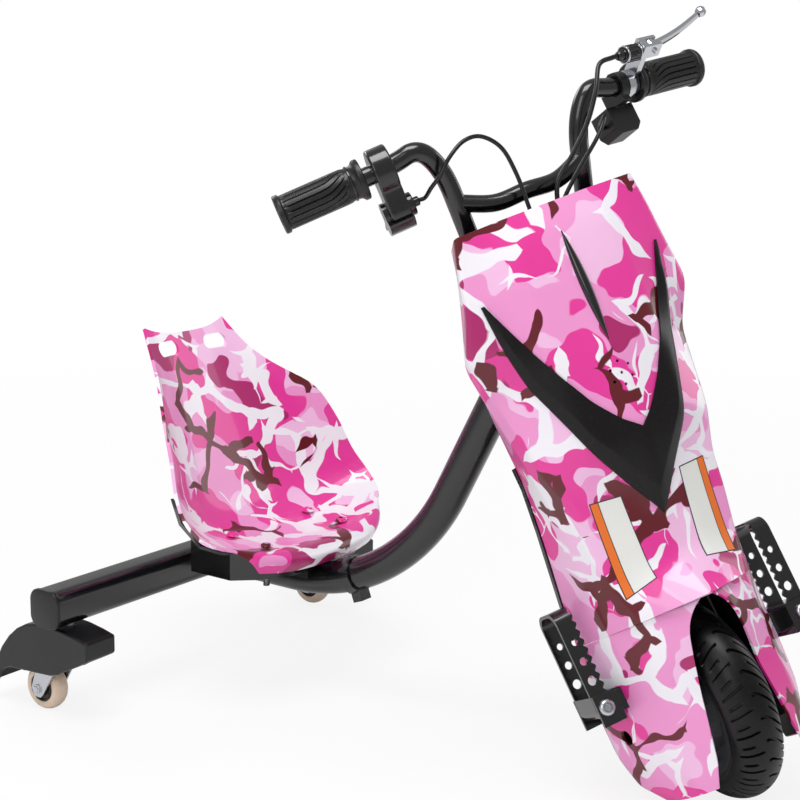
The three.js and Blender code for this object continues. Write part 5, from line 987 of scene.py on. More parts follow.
def steered_block(middle, size):
    """A block along the steering's own directions, from its middle and its size in millimetres."""
    shape = bmesh.new()
    bmesh.ops.create_cube(shape, size=1.0)
    place = STEERED @ Matrix.Translation(Vector(middle) * MM)
    shape.transform(place @ Matrix.Diagonal((*(Vector(size) * MM), 1.0)))
    return shape


def rod_across(side, span, back, up, radius):
    """A round bar along the wheel's axle between two distances on one side."""
    near, far = [steered(side * across, back, up) for across in span]
    return cylinder_between(near, far, radius)


for side, hand in HANDS:
    corners = [steered(side * LEG_OUT, AXLE_BACK, LEG_FOOT), steered(side * LEG_OUT, AXLE_BACK, LEG_BEND),
               riser_at(side, RISER_FOOT[2]), riser_at(side, LEG_TOP)]
    leg_path = smooth_path(corners, LEG_REACH, LEG_STEP)
    stand_for(tube("fork_leg_%s_tube" % hand, leg_path, LEG_RADIUS, powder_black), "fork_leg_" + hand)
    plate_shape = steered_block((side * LEG_OUT, AXLE_BACK, PLATE_MIDDLE), PLATE_SIZE)
    plate = piece_from(plate_shape, "fork_leg_%s_plate" % hand, powder_black)
    round_edges(soften(plate), PLATE_EDGE, 3)
    cut(plate, rod_across(side, BORE_SPAN, AXLE_BACK, 0, AXLE_BORE))
    stand_for(soften(plate), "fork_leg_" + hand)
print("fork legs with", len(leg_path), "stations each")

# %% [markdown]
# ## Cables
#
# The throttle cable, the brake cable and the switch's lead leave their housings and arc down behind the
# fairing. They hang in smooth curves because a sheath resists sharp bends.

# %% Cables
CABLE_SIDES = 14
CABLE_LEAD = 7 * MM
CABLE_GAP = 0.3 * MM
CABLE_STEPS = 10
LEVER_TILT = math.radians(-26.0)
DRUM_CENTRE = (-4, -18.6, -38)
DRUM_TURN = Matrix(((0, 0, -1, 0), (-1, 0, 0, 0), (0, 1, 0, 0), (0, 0, 0, 1)))
CABLES = {
    # radius, then places across, back and up
    "throttle_cable": (2.2, (
        (-100, -140, 578), (-90, -152, 584), (-76, -158, 596), (-56, -160, 606), (-36, -158, 605),
        (-20, -155, 588), (-15, -150, 560), (-14, -142, 530), (-14, -134, 500))),
    "brake_cable": (2.5, (
        (106, -178, 628), (90, -178, 604), (70, -170, 578), (46, -160, 556), (24, -150, 538),
        (17, -141, 520), (16, -134, 500))),
    "switch_lead": (2.2, (
        (106, -128, 584), (99, -154, 582), (80, -158, 564), (54, -148, 544), (30, -138, 524),
        (20, -128, 510), (18, -122, 500))),
}


def grip_frame(side):
    """Along the grip from its inner end, towards the rider, and up."""
    turn = BAR_SWEEP if side > 0 else math.pi - BAR_SWEEP
    place = Matrix.Translation(Vector((side * GRIP_INNER[0], GRIP_INNER[1], GRIP_INNER[2])) * MM)
    return STEERED @ place @ Matrix.Rotation(turn, 4, "Z")


BRAKE_FRAME = grip_frame(1) @ Matrix.Rotation(LEVER_TILT, 4, "X")
DRUM_FRAME = grip_frame(-1) @ Matrix.Translation(Vector(DRUM_CENTRE) * MM) @ DRUM_TURN
CABLE_STARTS = {
    # frame, place in it, direction in it
    "throttle_cable": (DRUM_FRAME, (0, 0, 39), (0, 0, 1)),
    "brake_cable": (BRAKE_FRAME, (-37.3, -41, 0), (-1, 0, 0)),
    "switch_lead": (grip_frame(1), (-38, 24, -32), (-1, 0, 0)),
}
for node, (radius, route) in CABLES.items():
    place, start, direction = CABLE_STARTS[node]
    first = place @ (Vector(start) * MM)
    heading = (place.to_3x3() @ Vector(direction)).normalized()
    leads = [first + heading * reach for reach in (CABLE_GAP, CABLE_LEAD)]
    path = through_points(leads + [steered(*point) for point in route], CABLE_STEPS)
    stand_for(tube(node + "_swept", path, radius * MM, cable_black, CABLE_SIDES), node)
    print(node, "is", round(sum((b - a).length for a, b in zip(path, path[1:])) / MM), "mm long")

# %% [markdown]
# ## The fairing's front shell
#
# The shell is moulded in one wall of 3 mm. It is a set of flat planes with soft ridges between them,
# which bevels on a rough block would not place well. So it is a skin through ten cross sections. Each one
# is given as shares of the shell's half width and depth: its middle, and then four corners on each side.

# %% Front shell sections
SHELL_TOP = 520
SHELL_BOTTOM = 104
SHELL_HALF_WIDTH = 132
SHELL_DEPTH = 155
SHELL_WALL = 3 * MM
SHELL_SECTIONS = (
    # height share, middle ahead, then out and ahead of: inner crease, front corner, side, rear edge
    (1.0, 0.981, 0.379, 0.981, 0.788, 0.942, 0.697, 0.613, 0.545, 0.323),
    (0.928, 1.0, 0.394, 0.994, 0.848, 0.877, 0.742, 0.594, 0.606, 0.323),
    (0.829, 0.987, 0.417, 0.968, 0.894, 0.806, 0.848, 0.568, 0.682, 0.297),
    (0.724, 0.968, 0.439, 0.923, 1.0, 0.665, 0.939, 0.465, 0.788, 0.245),
    (0.62, 0.942, 0.455, 0.865, 0.848, 0.542, 0.879, 0.426, 0.773, 0.168),
    (0.416, 0.845, 0.394, 0.755, 0.758, 0.529, 0.78, 0.387, 0.727, 0.077),
    (0.308, 0.697, 0.273, 0.613, 0.636, 0.516, 0.712, 0.335, 0.742, 0.026),
    (0.216, 0.568, 0.258, 0.555, 0.636, 0.439, 0.697, 0.284, 0.75, -0.039),
    (0.113, 0.503, 0.25, 0.503, 0.591, 0.387, 0.697, 0.194, 0.765, -0.116),
    (0.0, 0.684, 0.22, 0.594, 0.515, 0.4, 0.667, 0.194, 0.78, -0.194),
)
RIDGE_REACH = 8 * MM
SECTION_REACH = 12 * MM
LONGEST_QUAD = 12 * MM


def fairing_row(side, pairs, up):
    """Places on one side at this height, from shares of the fairing's half width and depth."""
    return [steered(side * out * SHELL_HALF_WIDTH, -ahead * SHELL_DEPTH, up) for out, ahead in pairs]


def shell_row(section):
    share, middle_ahead = section[:2]
    up = lerp(SHELL_BOTTOM, SHELL_TOP, share)
    pairs = [(0.0, middle_ahead)] + [section[i:i + 2] for i in range(2, 10, 2)]
    return list(reversed(fairing_row(-1, pairs, up))) + fairing_row(1, pairs[1:], up)


def smooth_skin(rows, section_reach, ridge_reach, longest):
    """A fine grid through coarse rows, softened from row to row and along each row."""
    rows = filled(softened(rows, section_reach), longest)
    columns = [list(column) for column in zip(*rows)]
    columns = filled(softened(columns, ridge_reach), longest)
    return [list(row) for row in zip(*columns)]


def open_skin(rows, inside):
    """A skin through the rows whose faces look away from a point behind it."""
    shape = skin(rows)
    shape.normal_update()
    away = [(face.calc_center_median() - inside).dot(face.normal) * face.calc_area() for face in shape.faces]
    if sum(away) < 0.0:
        bmesh.ops.reverse_faces(shape, faces=shape.faces)
    return shape


def walled(piece, thickness, rim=0.5 * MM, segments=2, inside=None):
    """Gives an open skin its wall behind the faces, with a rounded rim and, if named, a material inside."""
    wall = piece.modifiers.new("wall", "SOLIDIFY")
    wall.thickness = thickness
    wall.offset = -1.0
    wall.use_even_offset = True
    if inside:
        piece.data.materials.append(inside)
        wall.material_offset = 1
    bake(piece)
    round_edges(soften(piece), rim, segments)
    return piece


shell_rows = [shell_row(section) for section in SHELL_SECTIONS]
shell_grid = smooth_skin(shell_rows, SECTION_REACH, RIDGE_REACH, LONGEST_QUAD)
shell_shape = open_skin(shell_grid, steered(0, 40, 300))
front_surface = BVHTree.FromBMesh(shell_shape)
front_shell = piece_from(shell_shape, "front_shell_moulded", camouflage_gloss)
print("front shell grid", len(shell_grid), "by", len(shell_grid[0]))

# %% [markdown]
# Seven small vents let the speaker behind the shell be heard: one in the middle and six around it. They
# are cut after the wall is made, so each hole shows the wall's thickness.

# %% Vents
VENT_RADIUS = 1.6 * MM
VENT_PITCH = 12
VENT_HEIGHT = 336
VENT_SIDES = 14
VENT_SPAN = (-160, -115)


def vent_cutters():
    places = [(0.0, VENT_HEIGHT)]
    for degree in range(30, 360, 60):
        turn = math.radians(degree)
        places.append((VENT_PITCH * math.cos(turn), VENT_HEIGHT + VENT_PITCH * math.sin(turn)))
    joined = bmesh.new()
    for across, up in places:
        front, rear = [steered(across, back, up) for back in VENT_SPAN]
        rod = cylinder_between(front, rear, VENT_RADIUS, VENT_SIDES)
        mesh = bpy.data.meshes.new("vent")
        rod.to_mesh(mesh)
        rod.free()
        joined.from_mesh(mesh)
    return joined


cut(walled(front_shell, SHELL_WALL, inside=moulded_black), vent_cutters())
stand_for(even_shading(soften(front_shell)), "front_shell")
print("front shell", len(front_shell.data.polygons), "faces")

# %% [markdown]
# ## The boots
#
# A boot on each side carries the fairing down past the wheel. Its front edge curves in at the top, so the
# two boots and the shell frame the wheel with a round arch. The boot's wall has a round hole by the axle
# and a slot where the peg's arm comes through.

# %% Boots
BOOT_TOP = 103.7
BOOT_DROP = 78
BOOT_SECTIONS = (
    # drop share, then out and ahead of: front edge, ridge, corner, side, rear edge
    (0.0, 0.227, 0.581, 0.47, 0.413, 0.667, 0.194, 0.78, -0.129, 0.773, -0.297),
    (0.246, 0.242, 0.503, 0.5, 0.348, 0.682, 0.129, 0.795, -0.181, 0.735, -0.426),
    (0.471, 0.273, 0.406, 0.53, 0.271, 0.727, 0.039, 0.811, -0.245, 0.72, -0.516),
    (0.679, 0.318, 0.368, 0.561, 0.206, 0.742, -0.026, 0.811, -0.284, 0.705, -0.542),
    (0.865, 0.356, 0.323, 0.561, 0.168, 0.697, -0.052, 0.75, -0.271, 0.667, -0.49),
    (1.0, 0.409, 0.271, 0.515, 0.194, 0.591, 0.052, 0.636, -0.129, 0.591, -0.284),
)
ARCH = ((0.0, 0.05, 0.615), (0.025, 0.1, 0.6), (0.06, 0.15, 0.58), (0.11, 0.195, 0.553), (0.17, 0.225, 0.53))
BOOT_SECTION_REACH = 7 * MM
BOOT_RIDGE_REACH = 9 * MM
ACCESS_RADIUS = 8 * MM
ACCESS_SPAN = (50, 132)
ARM_SLOT_OUT = 79.65
ARM_SLOT_SIZE = (52.7, 23.2, 23.2)
HINGE_UP = 41


def boot_sections():
    """The given sections, with more near the top whose front edge curves in for the arch."""
    first, second = BOOT_SECTIONS[:2]
    rows = []
    for drop, out, ahead in ARCH:
        share = (drop - first[0]) / (second[0] - first[0])
        between = [lerp(a, b, share) for a, b in zip(first, second)]
        rows.append([drop, out, ahead] + between[3:])
    return rows + [list(section) for section in BOOT_SECTIONS[1:]]


def boot_row(side, section):
    up = BOOT_TOP - section[0] * (BOOT_TOP + BOOT_DROP)
    return fairing_row(side, [section[i:i + 2] for i in range(1, 11, 2)], up)


for side, hand in HANDS:
    rows = [boot_row(side, section) for section in boot_sections()]
    grid = smooth_skin(rows, BOOT_SECTION_REACH, BOOT_RIDGE_REACH, LONGEST_QUAD)
    boot_shape = open_skin(grid, steered(side * 30, 40, 10))
    boot = piece_from(boot_shape, "boot_%s_moulded" % hand, camouflage_gloss)
    walled(boot, SHELL_WALL, inside=moulded_black)
    cut(boot, rod_across(side, ACCESS_SPAN, AXLE_BACK, 0, ACCESS_RADIUS))
    cut(boot, steered_block((side * ARM_SLOT_OUT, 0, HINGE_UP), ARM_SLOT_SIZE))
    stand_for(even_shading(soften(boot)), "boot_" + hand)
print("boots", len(boot.data.polygons), "faces each")

# %% [markdown]
# ## The V trim and the fin
#
# A black swept V and a slim fin sit on the shell's face. Both follow the shell exactly, because rays are
# cast onto its skin to find the base. The V has one ridge near its outer edge, so its upper face stays
# dark while the narrow face below mirrors the floor.

# %% V trim
TRIM_INNER = ((0.758, 0.829), (0.606, 0.716), (0.447, 0.606), (0.288, 0.519), (0.129, 0.457), (0.0, 0.423))
TRIM_OUTER = ((0.78, 0.829), (0.735, 0.719), (0.636, 0.606), (0.417, 0.413), (0.258, 0.337), (0.0, 0.216))
TRIM_PROFILE = (
    # share from the inner to the outer edge, how far it stands
    (0.0, -1.0), (0.0, 1.9), (0.04, 2.5), (0.36, 4.2), (0.69, 5.9), (0.72, 6.0), (0.75, 5.7), (0.96, 2.8),
    (1.0, 2.1), (1.0, -1.0),
)
TRIM_REACH = 14 * MM
TRIM_STEP = 6 * MM
TRIM_CREASE = math.radians(22.0)
LEAST_STAND = 0.6
STAND_FOR_WIDTH = 0.35
RAY_START = -400


def front_at(across, up):
    """How far back the shell's skin is, in millimetres, found by a ray from the front."""
    hit = front_surface.ray_cast(steered(across, RAY_START, up), TO_RIDER)[0]
    return (STEERED.inverted() @ hit).y / MM


def trim_edge(shares, side):
    """One edge of an arm from the middle to its tip, as across and up in the shell's own plane."""
    return [Vector((side * out * SHELL_HALF_WIDTH * MM, 0.0, lerp(SHELL_BOTTOM, SHELL_TOP, share) * MM))
            for out, share in reversed(shares)]


def trim_arm(side):
    """Pairs of inner and outer places from the middle to one tip."""
    pairs = zip(trim_edge(TRIM_INNER, side), trim_edge(TRIM_OUTER, side))
    return filled(softened([list(pair) for pair in pairs], TRIM_REACH), TRIM_STEP)


def trim_ring(inner, outer):
    """The closed cross section between two places, standing on the shell."""
    width = (outer - inner).length / MM
    ring = []
    for share, stand in TRIM_PROFILE:
        place = inner.lerp(outer, share)
        stand = stand if stand < 0.0 else min(stand, LEAST_STAND + width * STAND_FOR_WIDTH)
        across, up = place.x / MM, place.z / MM
        ring.append(steered(across, front_at(across, up) - stand, up))
    return ring


trim_rings = [trim_ring(inner, outer) for inner, outer in list(reversed(trim_arm(-1))) + trim_arm(1)[1:]]
v_trim = piece_from(skin(trim_rings, around=True, capped=True), "v_trim_swept", satin_trim)
stand_for(round_edges(soften(v_trim, TRIM_CREASE), 0.4 * MM), "v_trim")
print("V trim", len(trim_rings), "sections")

# %% Fin
FIN_LOW = 371
FIN_HIGH = 488
FIN_HALF = 5.5
FIN_STAND = 5.0
FIN_LIFT = 0.3
FIN_FOOT = 1.0
FIN_TIP = 0.1
FIN_FULLNESS = 0.8
FIN_RINGS = 30
FIN_SIDES = 9


def fin_ring(share):
    """A low rounded cross section that swells to the fin's middle and dies out at its tips."""
    swell = max(FIN_TIP, math.sin(math.pi * share) ** FIN_FULLNESS)
    up = lerp(FIN_LOW, FIN_HIGH, share)
    ring = [steered(-FIN_HALF * swell, front_at(0, up) + FIN_FOOT, up)]
    for i in range(FIN_SIDES):
        turn = math.pi * i / (FIN_SIDES - 1)
        across = -math.cos(turn) * FIN_HALF * swell
        ring.append(steered(across, front_at(across, up) - FIN_LIFT - FIN_STAND * swell * math.sin(turn), up))
    return ring + [steered(FIN_HALF * swell, front_at(0, up) + FIN_FOOT, up)]


fin_rings = [fin_ring(i / FIN_RINGS) for i in range(FIN_RINGS + 1)]
fin = piece_from(skin(fin_rings, around=True, capped=True), "centre_fin_swept", gloss_black)
stand_for(round_edges(soften(fin), 0.3 * MM), "centre_fin")
print("fin", len(fin_rings), "sections")

# %% [markdown]
# ## Plates on the fairing
#
# Two small printed plates sit low on the fairing, one on each side of the nose. They are bare here: a
# white field in a thin dark frame with a plain orange strip at its outer side. Each one follows the
# shell's bend.

# %% Plates
PLATE_STEPS = (10, 14)
PLATE_WALL = 0.35 * MM
PLATE_RIM = 0.1 * MM
PLATE_CORNERS = {
    "left": ((33, 230), (68, 231), (65, 129), (24, 137)),
    "right": ((-37, 227), (-69, 232), (-68, 130), (-34, 138)),
}
PLATE_PARTS = (
    # name, then the low and high shares across and down, how far it stands, material
    ("edge", 0.0, 1.0, 0.0, 1.0, 0.25, plate_edge),
    ("field", 0.03, 0.72, 0.012, 0.988, 0.4, plate_white),
    ("strip", 0.745, 0.97, 0.012, 0.988, 0.4, plate_orange),
)


def plate_point(corners, share_across, share_down, stand):
    (ax, az), (bx, bz), (cx, cz), (dx, dz) = corners
    across = lerp(lerp(ax, bx, share_across), lerp(dx, cx, share_across), share_down)
    up = lerp(lerp(az, bz, share_across), lerp(dz, cz, share_across), share_down)
    return steered(across, front_at(across, up) - stand, up)


for hand, corners in PLATE_CORNERS.items():
    for part, across_low, across_high, down_low, down_high, stand, material in PLATE_PARTS:
        rows = [[plate_point(corners, lerp(across_low, across_high, i / PLATE_STEPS[0]),
                             lerp(down_low, down_high, j / PLATE_STEPS[1]), stand)
                 for i in range(PLATE_STEPS[0] + 1)] for j in range(PLATE_STEPS[1] + 1)]
        plate_shape = open_skin(rows, steered(0, 40, 180))
        plate = piece_from(plate_shape, "plain_plate_%s_%s" % (hand, part), material)
        ride_beside(walled(plate, PLATE_WALL, PLATE_RIM, 1), "front_shell")
print("two bare plates")

# %% [markdown]
# ## The seat
#
# The bucket seat is one 4 mm moulded shell, curved both ways. It flows down its back into the pan, with a
# fold where the back meets the seat. Two slots near its top are handles. Eleven cross sections give its
# shape.

# %% Seat
SEAT_HALF_WIDTH = 172
SEAT_FRONT = 480 - AXLE_AHEAD
SEAT_LENGTH = 250
SEAT_UNDERSIDE = 167
SEAT_HEIGHT = 270
SEAT_WALL = 4 * MM
SEAT_RIM = 1.3 * MM
SEAT_REACH = 22 * MM
SEAT_QUAD = 7 * MM
SEAT_CURVE = 3
BEHIND_SEAT = Vector((0.0, 0.42, 0.1))
SEAT_COLUMNS = 44
SEAT_SECTIONS = (
    # back and up of the middle, then how far out, back and up the edge is
    (0.04, 0.0, 0.651, 0.128, 0.019), (0.0, 0.052, 0.733, 0.128, 0.085), (0.06, 0.096, 0.837, 0.2, 0.144),
    (0.28, 0.07, 0.977, 0.272, 0.181), (0.496, 0.093, 1.0, 0.368, 0.263), (0.616, 0.189, 0.959, 0.44, 0.352),
    (0.708, 0.374, 0.907, 0.496, 0.493), (0.8, 0.559, 0.82, 0.6, 0.659), (0.888, 0.737, 0.593, 0.784, 0.774),
    (0.944, 0.856, 0.488, 0.888, 0.856), (0.988, 0.948, 0.407, 1.004, 0.989),
)
SLOT_HALF = (19 * MM, 9 * MM)
SLOT_SHARE = 0.53
SLOT_DOWN = 0.3
SLOT_SPAN = (-0.05, 0.05)


def seat_point(section, share):
    """A place on the seat at this share of its half width, as far as the section tells."""
    back, up, edge_out, edge_back, edge_up = section
    bend = abs(share) ** SEAT_CURVE
    return Vector((share * edge_out * SEAT_HALF_WIDTH, SEAT_FRONT + lerp(back, edge_back, bend) * SEAT_LENGTH,
                   SEAT_UNDERSIDE + lerp(up, edge_up, bend) * SEAT_HEIGHT)) * MM


def seat_rows():
    shares = [2.0 * i / SEAT_COLUMNS - 1.0 for i in range(SEAT_COLUMNS + 1)]
    return [[seat_point(section, share) for share in shares] for section in SEAT_SECTIONS]


def slot_cutter(side):
    """A stadium-shaped bar that runs through the seat's back."""
    low, high = [seat_point(section, side * SLOT_SHARE) for section in SEAT_SECTIONS[-2:]]
    centre = low.lerp(high, SLOT_DOWN)
    half_width, radius = SLOT_HALF
    outline = (arc_of((half_width - radius, 0.0), radius, -90, 90, 12)
               + arc_of((radius - half_width, 0.0), radius, 90, 270, 12))
    return prism(outline, *SLOT_SPAN, lambda x, z, back: centre + Vector((x, back, z)))


seat_grid = filled(softened(seat_rows(), SEAT_REACH), SEAT_QUAD)
seat_shape = open_skin(seat_grid, BEHIND_SEAT)
seat = walled(piece_from(seat_shape, "seat_shell_moulded", camouflage_gloss), SEAT_WALL, SEAT_RIM, 3)
for side in (-1, 1):
    cut(seat, slot_cutter(side))
stand_for(even_shading(soften(seat)), "seat_shell")
print("seat", len(seat.data.polygons), "faces")

# %% [markdown]
# ## A node tree that repeats a segment round an axis
#
# The tyre's tread, the ribs of the grips and the flutes of the brake's adjuster all repeat round an axis.
# So only one segment is drawn. The tree places copies at equal turns and makes them real, and their seams
# are merged after that. To change the number of blocks on the tyre, only one number changes.

# %% Ring tree
FULL_TURN = 2.0 * math.pi


def ring_group():
    inputs = (("Count", "NodeSocketInt"), ("Material", "NodeSocketMaterial"))
    group, start, end = node_group("ring of segments", inputs)
    nodes, links = group.nodes, group.links
    places = nodes.new("GeometryNodeMeshLine")
    places.inputs["Offset"].default_value = (0.0, 0.0, 0.0)
    copies = nodes.new("GeometryNodeInstanceOnPoints")
    index = nodes.new("GeometryNodeInputIndex")
    turn = nodes.new("ShaderNodeMath")
    turn.operation = "DIVIDE"
    turn.inputs[0].default_value = FULL_TURN
    angle = nodes.new("ShaderNodeMath")
    angle.operation = "MULTIPLY"
    heading = nodes.new("ShaderNodeCombineXYZ")
    links.new(start.outputs["Count"], places.inputs["Count"])
    links.new(start.outputs["Count"], turn.inputs[1])
    links.new(index.outputs["Index"], angle.inputs[0])
    links.new(turn.outputs[0], angle.inputs[1])
    links.new(angle.outputs[0], heading.inputs["X"])
    links.new(places.outputs["Mesh"], copies.inputs["Points"])
    links.new(start.outputs["Geometry"], copies.inputs["Instance"])
    links.new(heading.outputs["Vector"], copies.inputs["Rotation"])
    finish_group(group, start, end, copies.outputs["Instances"])
    return group


ring_of_segments = ring_group()


def ring_piece(name, rows, count, material, place, capped=False):
    """A closed ring about X from one segment's rows, each of which crosses one pitch of the turn."""
    segment = skin(rows)
    mesh = bpy.data.meshes.new(name + "_segment")
    segment.to_mesh(mesh)
    segment.free()
    piece = grown(name, mesh, ring_of_segments, {"Count": count, "Material": material})
    shape = bmesh.new()
    shape.from_mesh(piece.data)
    if capped:
        bmesh.ops.holes_fill(shape, edges=shape.edges, sides=0)
    bmesh.ops.recalc_face_normals(shape, faces=shape.faces)
    shape.transform(place)
    bpy.data.objects.remove(piece)
    return piece_from(shape, name, material)


def round_x(x, radius, turn):
    """A place round the X axis."""
    return Vector((x, radius * math.cos(turn), radius * math.sin(turn)))


def at_pitch(count, x, radius, share):
    """A place round the X axis at a share of one pitch."""
    return round_x(x, radius, FULL_TURN / count * share)


print("tree", ring_of_segments.name, "with", len(ring_of_segments.nodes), "nodes")

# %% [markdown]
# ## The tyre
#
# The tyre is a pneumatic one with a deep scooter tread. Long S-shaped grooves sweep from near the middle
# to one shoulder, short ones answer them on the other side, and fine cuts sit between. The segment's
# columns lean with the twist of the grooves, so a groove is only a few columns pressed in.

# %% Tyre
TYRE_RING = 82 * MM
TYRE_SECTION = 28 * MM
TREAD_PITCHES = 28
TREAD_EDGE = 72.0
SECTION_END = 113.0
SECTION_STEP = 3.5
TREAD_COLUMNS = (0.0, 0.04, 0.08, 0.11, 0.21, 0.24, 0.32, 0.4, 0.48, 0.53, 0.56, 0.64, 0.67, 0.76, 0.9, 1.0)
GROOVES = (
    # column shares pressed in, from and to section degree, depth in mm
    (0.11, 0.21, -7.0, 72.0, 3.2),
    (0.56, 0.64, 20.0, 64.0, 2.4),
    (0.56, 0.64, -70.0, -14.0, 3.2),
    (0.11, 0.21, -62.0, -30.0, 2.4),
)
GROOVE_FADES = (4.0, 5.0)
LINES_ON_WALL = ((84.0, 0.5), (96.0, 0.7), (107.0, 0.5))
LINE_HALF = 2.5
LONG_TWIST = (1.55, 1.35)
SHORT_TWIST = (0.4, 1.2)
BEAD_STEPS = 4
TYRE_CREASE = math.radians(28.0)
WHEEL_FRAME = STEERED @ Matrix.Translation((0.0, AXLE_BACK * MM, 0.0))


def fade_between(value, low, high, fades):
    """1 between low and high, which fades to 0 over a stretch at each end."""
    return min(1.0, max(0.0, (value - low) / fades[0]), max(0.0, (high - value) / fades[1]))


def tread_twist(degree):
    """How many pitches a groove has run on at this place of the section."""
    pitches, power = LONG_TWIST if degree > 0.0 else SHORT_TWIST
    return pitches * (min(abs(degree), TREAD_EDGE) / TREAD_EDGE) ** power


def groove_depth(share, degree):
    return max(full * fade_between(degree, start, end, GROOVE_FADES) if low <= share <= high else 0.0
               for low, high, start, end, full in GROOVES)


def wall_line(degree):
    """How high the fine lines on the side wall stand here."""
    return sum(height * max(0.0, 1.0 - abs(abs(degree) - centre) / LINE_HALF)
               for centre, height in LINES_ON_WALL)


def tyre_row(degree):
    """One row across a pitch at this place of the section."""
    angle, twist = math.radians(degree), tread_twist(degree)
    row = []
    for share in TREAD_COLUMNS:
        section = TYRE_SECTION - groove_depth(share, degree) * MM + wall_line(degree) * MM
        row.append(at_pitch(TREAD_PITCHES, section * math.sin(angle), TYRE_RING + section * math.cos(angle),
                            share + twist))
    return row


section_count = int(2 * SECTION_END / SECTION_STEP)
tyre_rows = [tyre_row(lerp(-SECTION_END, SECTION_END, i / section_count)) for i in range(section_count + 1)]
INNER_RADIUS = TYRE_RING + TYRE_SECTION * math.cos(math.radians(SECTION_END))
HALF_BEAD = TYRE_SECTION * math.sin(math.radians(SECTION_END))


def bead_row(share):
    """The hidden band between the beads, turned back step by step so that the segment closes."""
    twist = lerp(tread_twist(SECTION_END), tread_twist(-SECTION_END), share)
    x = lerp(HALF_BEAD, -HALF_BEAD, share)
    return [at_pitch(TREAD_PITCHES, x, INNER_RADIUS, column + twist) for column in TREAD_COLUMNS]


tyre_rows += [bead_row(i / BEAD_STEPS) for i in range(1, BEAD_STEPS)] + [tyre_rows[0]]
tyre = ring_piece("tyre_treaded", tyre_rows, TREAD_PITCHES, tyre_rubber, WHEEL_FRAME)
stand_for(soften(tyre, TYRE_CREASE), "tyre")
print("tyre", len(tyre.data.polygons), "faces")

# %% [markdown]
# ## The grips
#
# Each grip is a rubber sleeve with a flat flange against the thumb. Its ribs run straight over the outer
# part and lean over near the flange, where they end in leaf shapes. Its inner end is a smooth collar.

# %% Grips
GRIP_RIBS = 18
RIB_COLUMNS = (0.0, 0.08, 0.16, 0.5, 0.84, 0.92, 1.0)
RIB_SPAN = (17.0, 83.5)
RIB_FADES = (6.0, 2.5)
RIB_DEPTH = 1.3
VALLEY_STEPS = ((0.04, 1.0), (0.1, 0.55))
RIB_LEAN = (1.7, 1.6)
LEAN_FROM = 42.0
GRIP_BORE = ((88.0, 1.5), (88.0, 10.3), (2.0, 10.3))
GRIP_PROFILE = (
    # along in mm, radius in mm
    (0.0, 10.3), (0.0, 20.0), (0.6, 20.8), (1.4, 21.0), (4.6, 21.0), (5.4, 20.8), (6.0, 20.0), (7.5, 18.3),
    (9.0, 17.4), (12.0, 17.0), (12.6, 17.7), (14.2, 17.7), (14.8, 17.0), (16.5, 17.0), (18.0, 17.5),
    (20.0, 17.8), (22.5, 17.9), (25.0, 18.0), (28.0, 18.0), (31.0, 18.0), (34.0, 18.0), (38.0, 18.0),
    (46.0, 18.0), (54.0, 18.0), (62.0, 18.0), (70.0, 18.0), (78.0, 18.0), (82.0, 18.0), (84.0, 17.8),
    (84.6, 18.0), (85.4, 19.6), (86.0, 20.0), (89.6, 20.0), (90.4, 19.7), (91.0, 18.8), (91.0, 12.0),
    (90.4, 11.4), (90.4, 1.5),
)


def rib_twist(x):
    """Ribs run straight far out, and lean over by less than two pitches towards the collar."""
    pitches, power = RIB_LEAN
    return pitches * max(0.0, (LEAN_FROM - max(x, RIB_SPAN[0])) / (LEAN_FROM - RIB_SPAN[0])) ** power


def rib_drop(share, x):
    """How deep the valley between two ribs is here."""
    from_edge = min(share, 1.0 - share)
    valley = next((depth for reach, depth in VALLEY_STEPS if from_edge < reach), 0.0)
    return RIB_DEPTH * fade_between(x, *RIB_SPAN, RIB_FADES) * valley


def grip_row(x, radius, lean, ribbed):
    return [at_pitch(GRIP_RIBS, x * MM, (radius - rib_drop(share, x) * ribbed) * MM, share + lean)
            for share in RIB_COLUMNS]


for side, hand in HANDS:
    rows = [grip_row(x, radius, rib_twist(0.0), False) for x, radius in GRIP_BORE]
    rows += [grip_row(x, radius, rib_twist(x), True) for x, radius in GRIP_PROFILE]
    grip = ring_piece("grip_%s_ribbed" % hand, rows, GRIP_RIBS, grip_rubber, grip_frame(side), capped=True)
    stand_for(soften(grip), "grip_" + hand)
print("grips", len(grip.data.polygons), "faces each")

# %% [markdown]
# ## The brake's adjuster
#
# The knurled barrel by the lever sets the cable's length. Its flutes give wet fingers a hold, and a
# bright collar closes each end.

# %% Adjuster
ADJUSTER_FLUTES = 14
FLUTE_COLUMNS = (0.0, 0.15, 0.35, 0.65, 0.85, 1.0)
FLUTE_DEPTH = 1.1
FLUTE_SPAN = (-25.0, -12.0)
FLUTE_SHARES = (0.3, 0.7)
BARREL = (
    (-8.3, 1.5), (-8.3, 8.0), (-8.7, 8.6), (-10.3, 8.8), (-10.9, 8.4), (-11.3, 8.3), (-12.2, 9.0),
    (-24.8, 9.0), (-25.8, 8.3), (-26.2, 8.4), (-26.8, 8.8), (-28.0, 8.6), (-28.3, 8.0), (-28.3, 5.4),
    (-28.9, 5.0), (-34.6, 5.0), (-36.4, 4.4), (-37.3, 3.4), (-37.3, 1.5),
)
COLLARS = {"inner": -9.5, "outer": -27.4}
COLLAR_PROFILE = ((-0.9, 8.2), (-0.9, 9.1), (-0.6, 9.4), (0.6, 9.4), (0.9, 9.1), (0.9, 8.2))
GRIP_RING_PROFILE = ((12.4, 16.6), (12.4, 17.9), (12.8, 18.3), (14.0, 18.3), (14.4, 17.9), (14.4, 16.6))
BAND_SIDES = 40


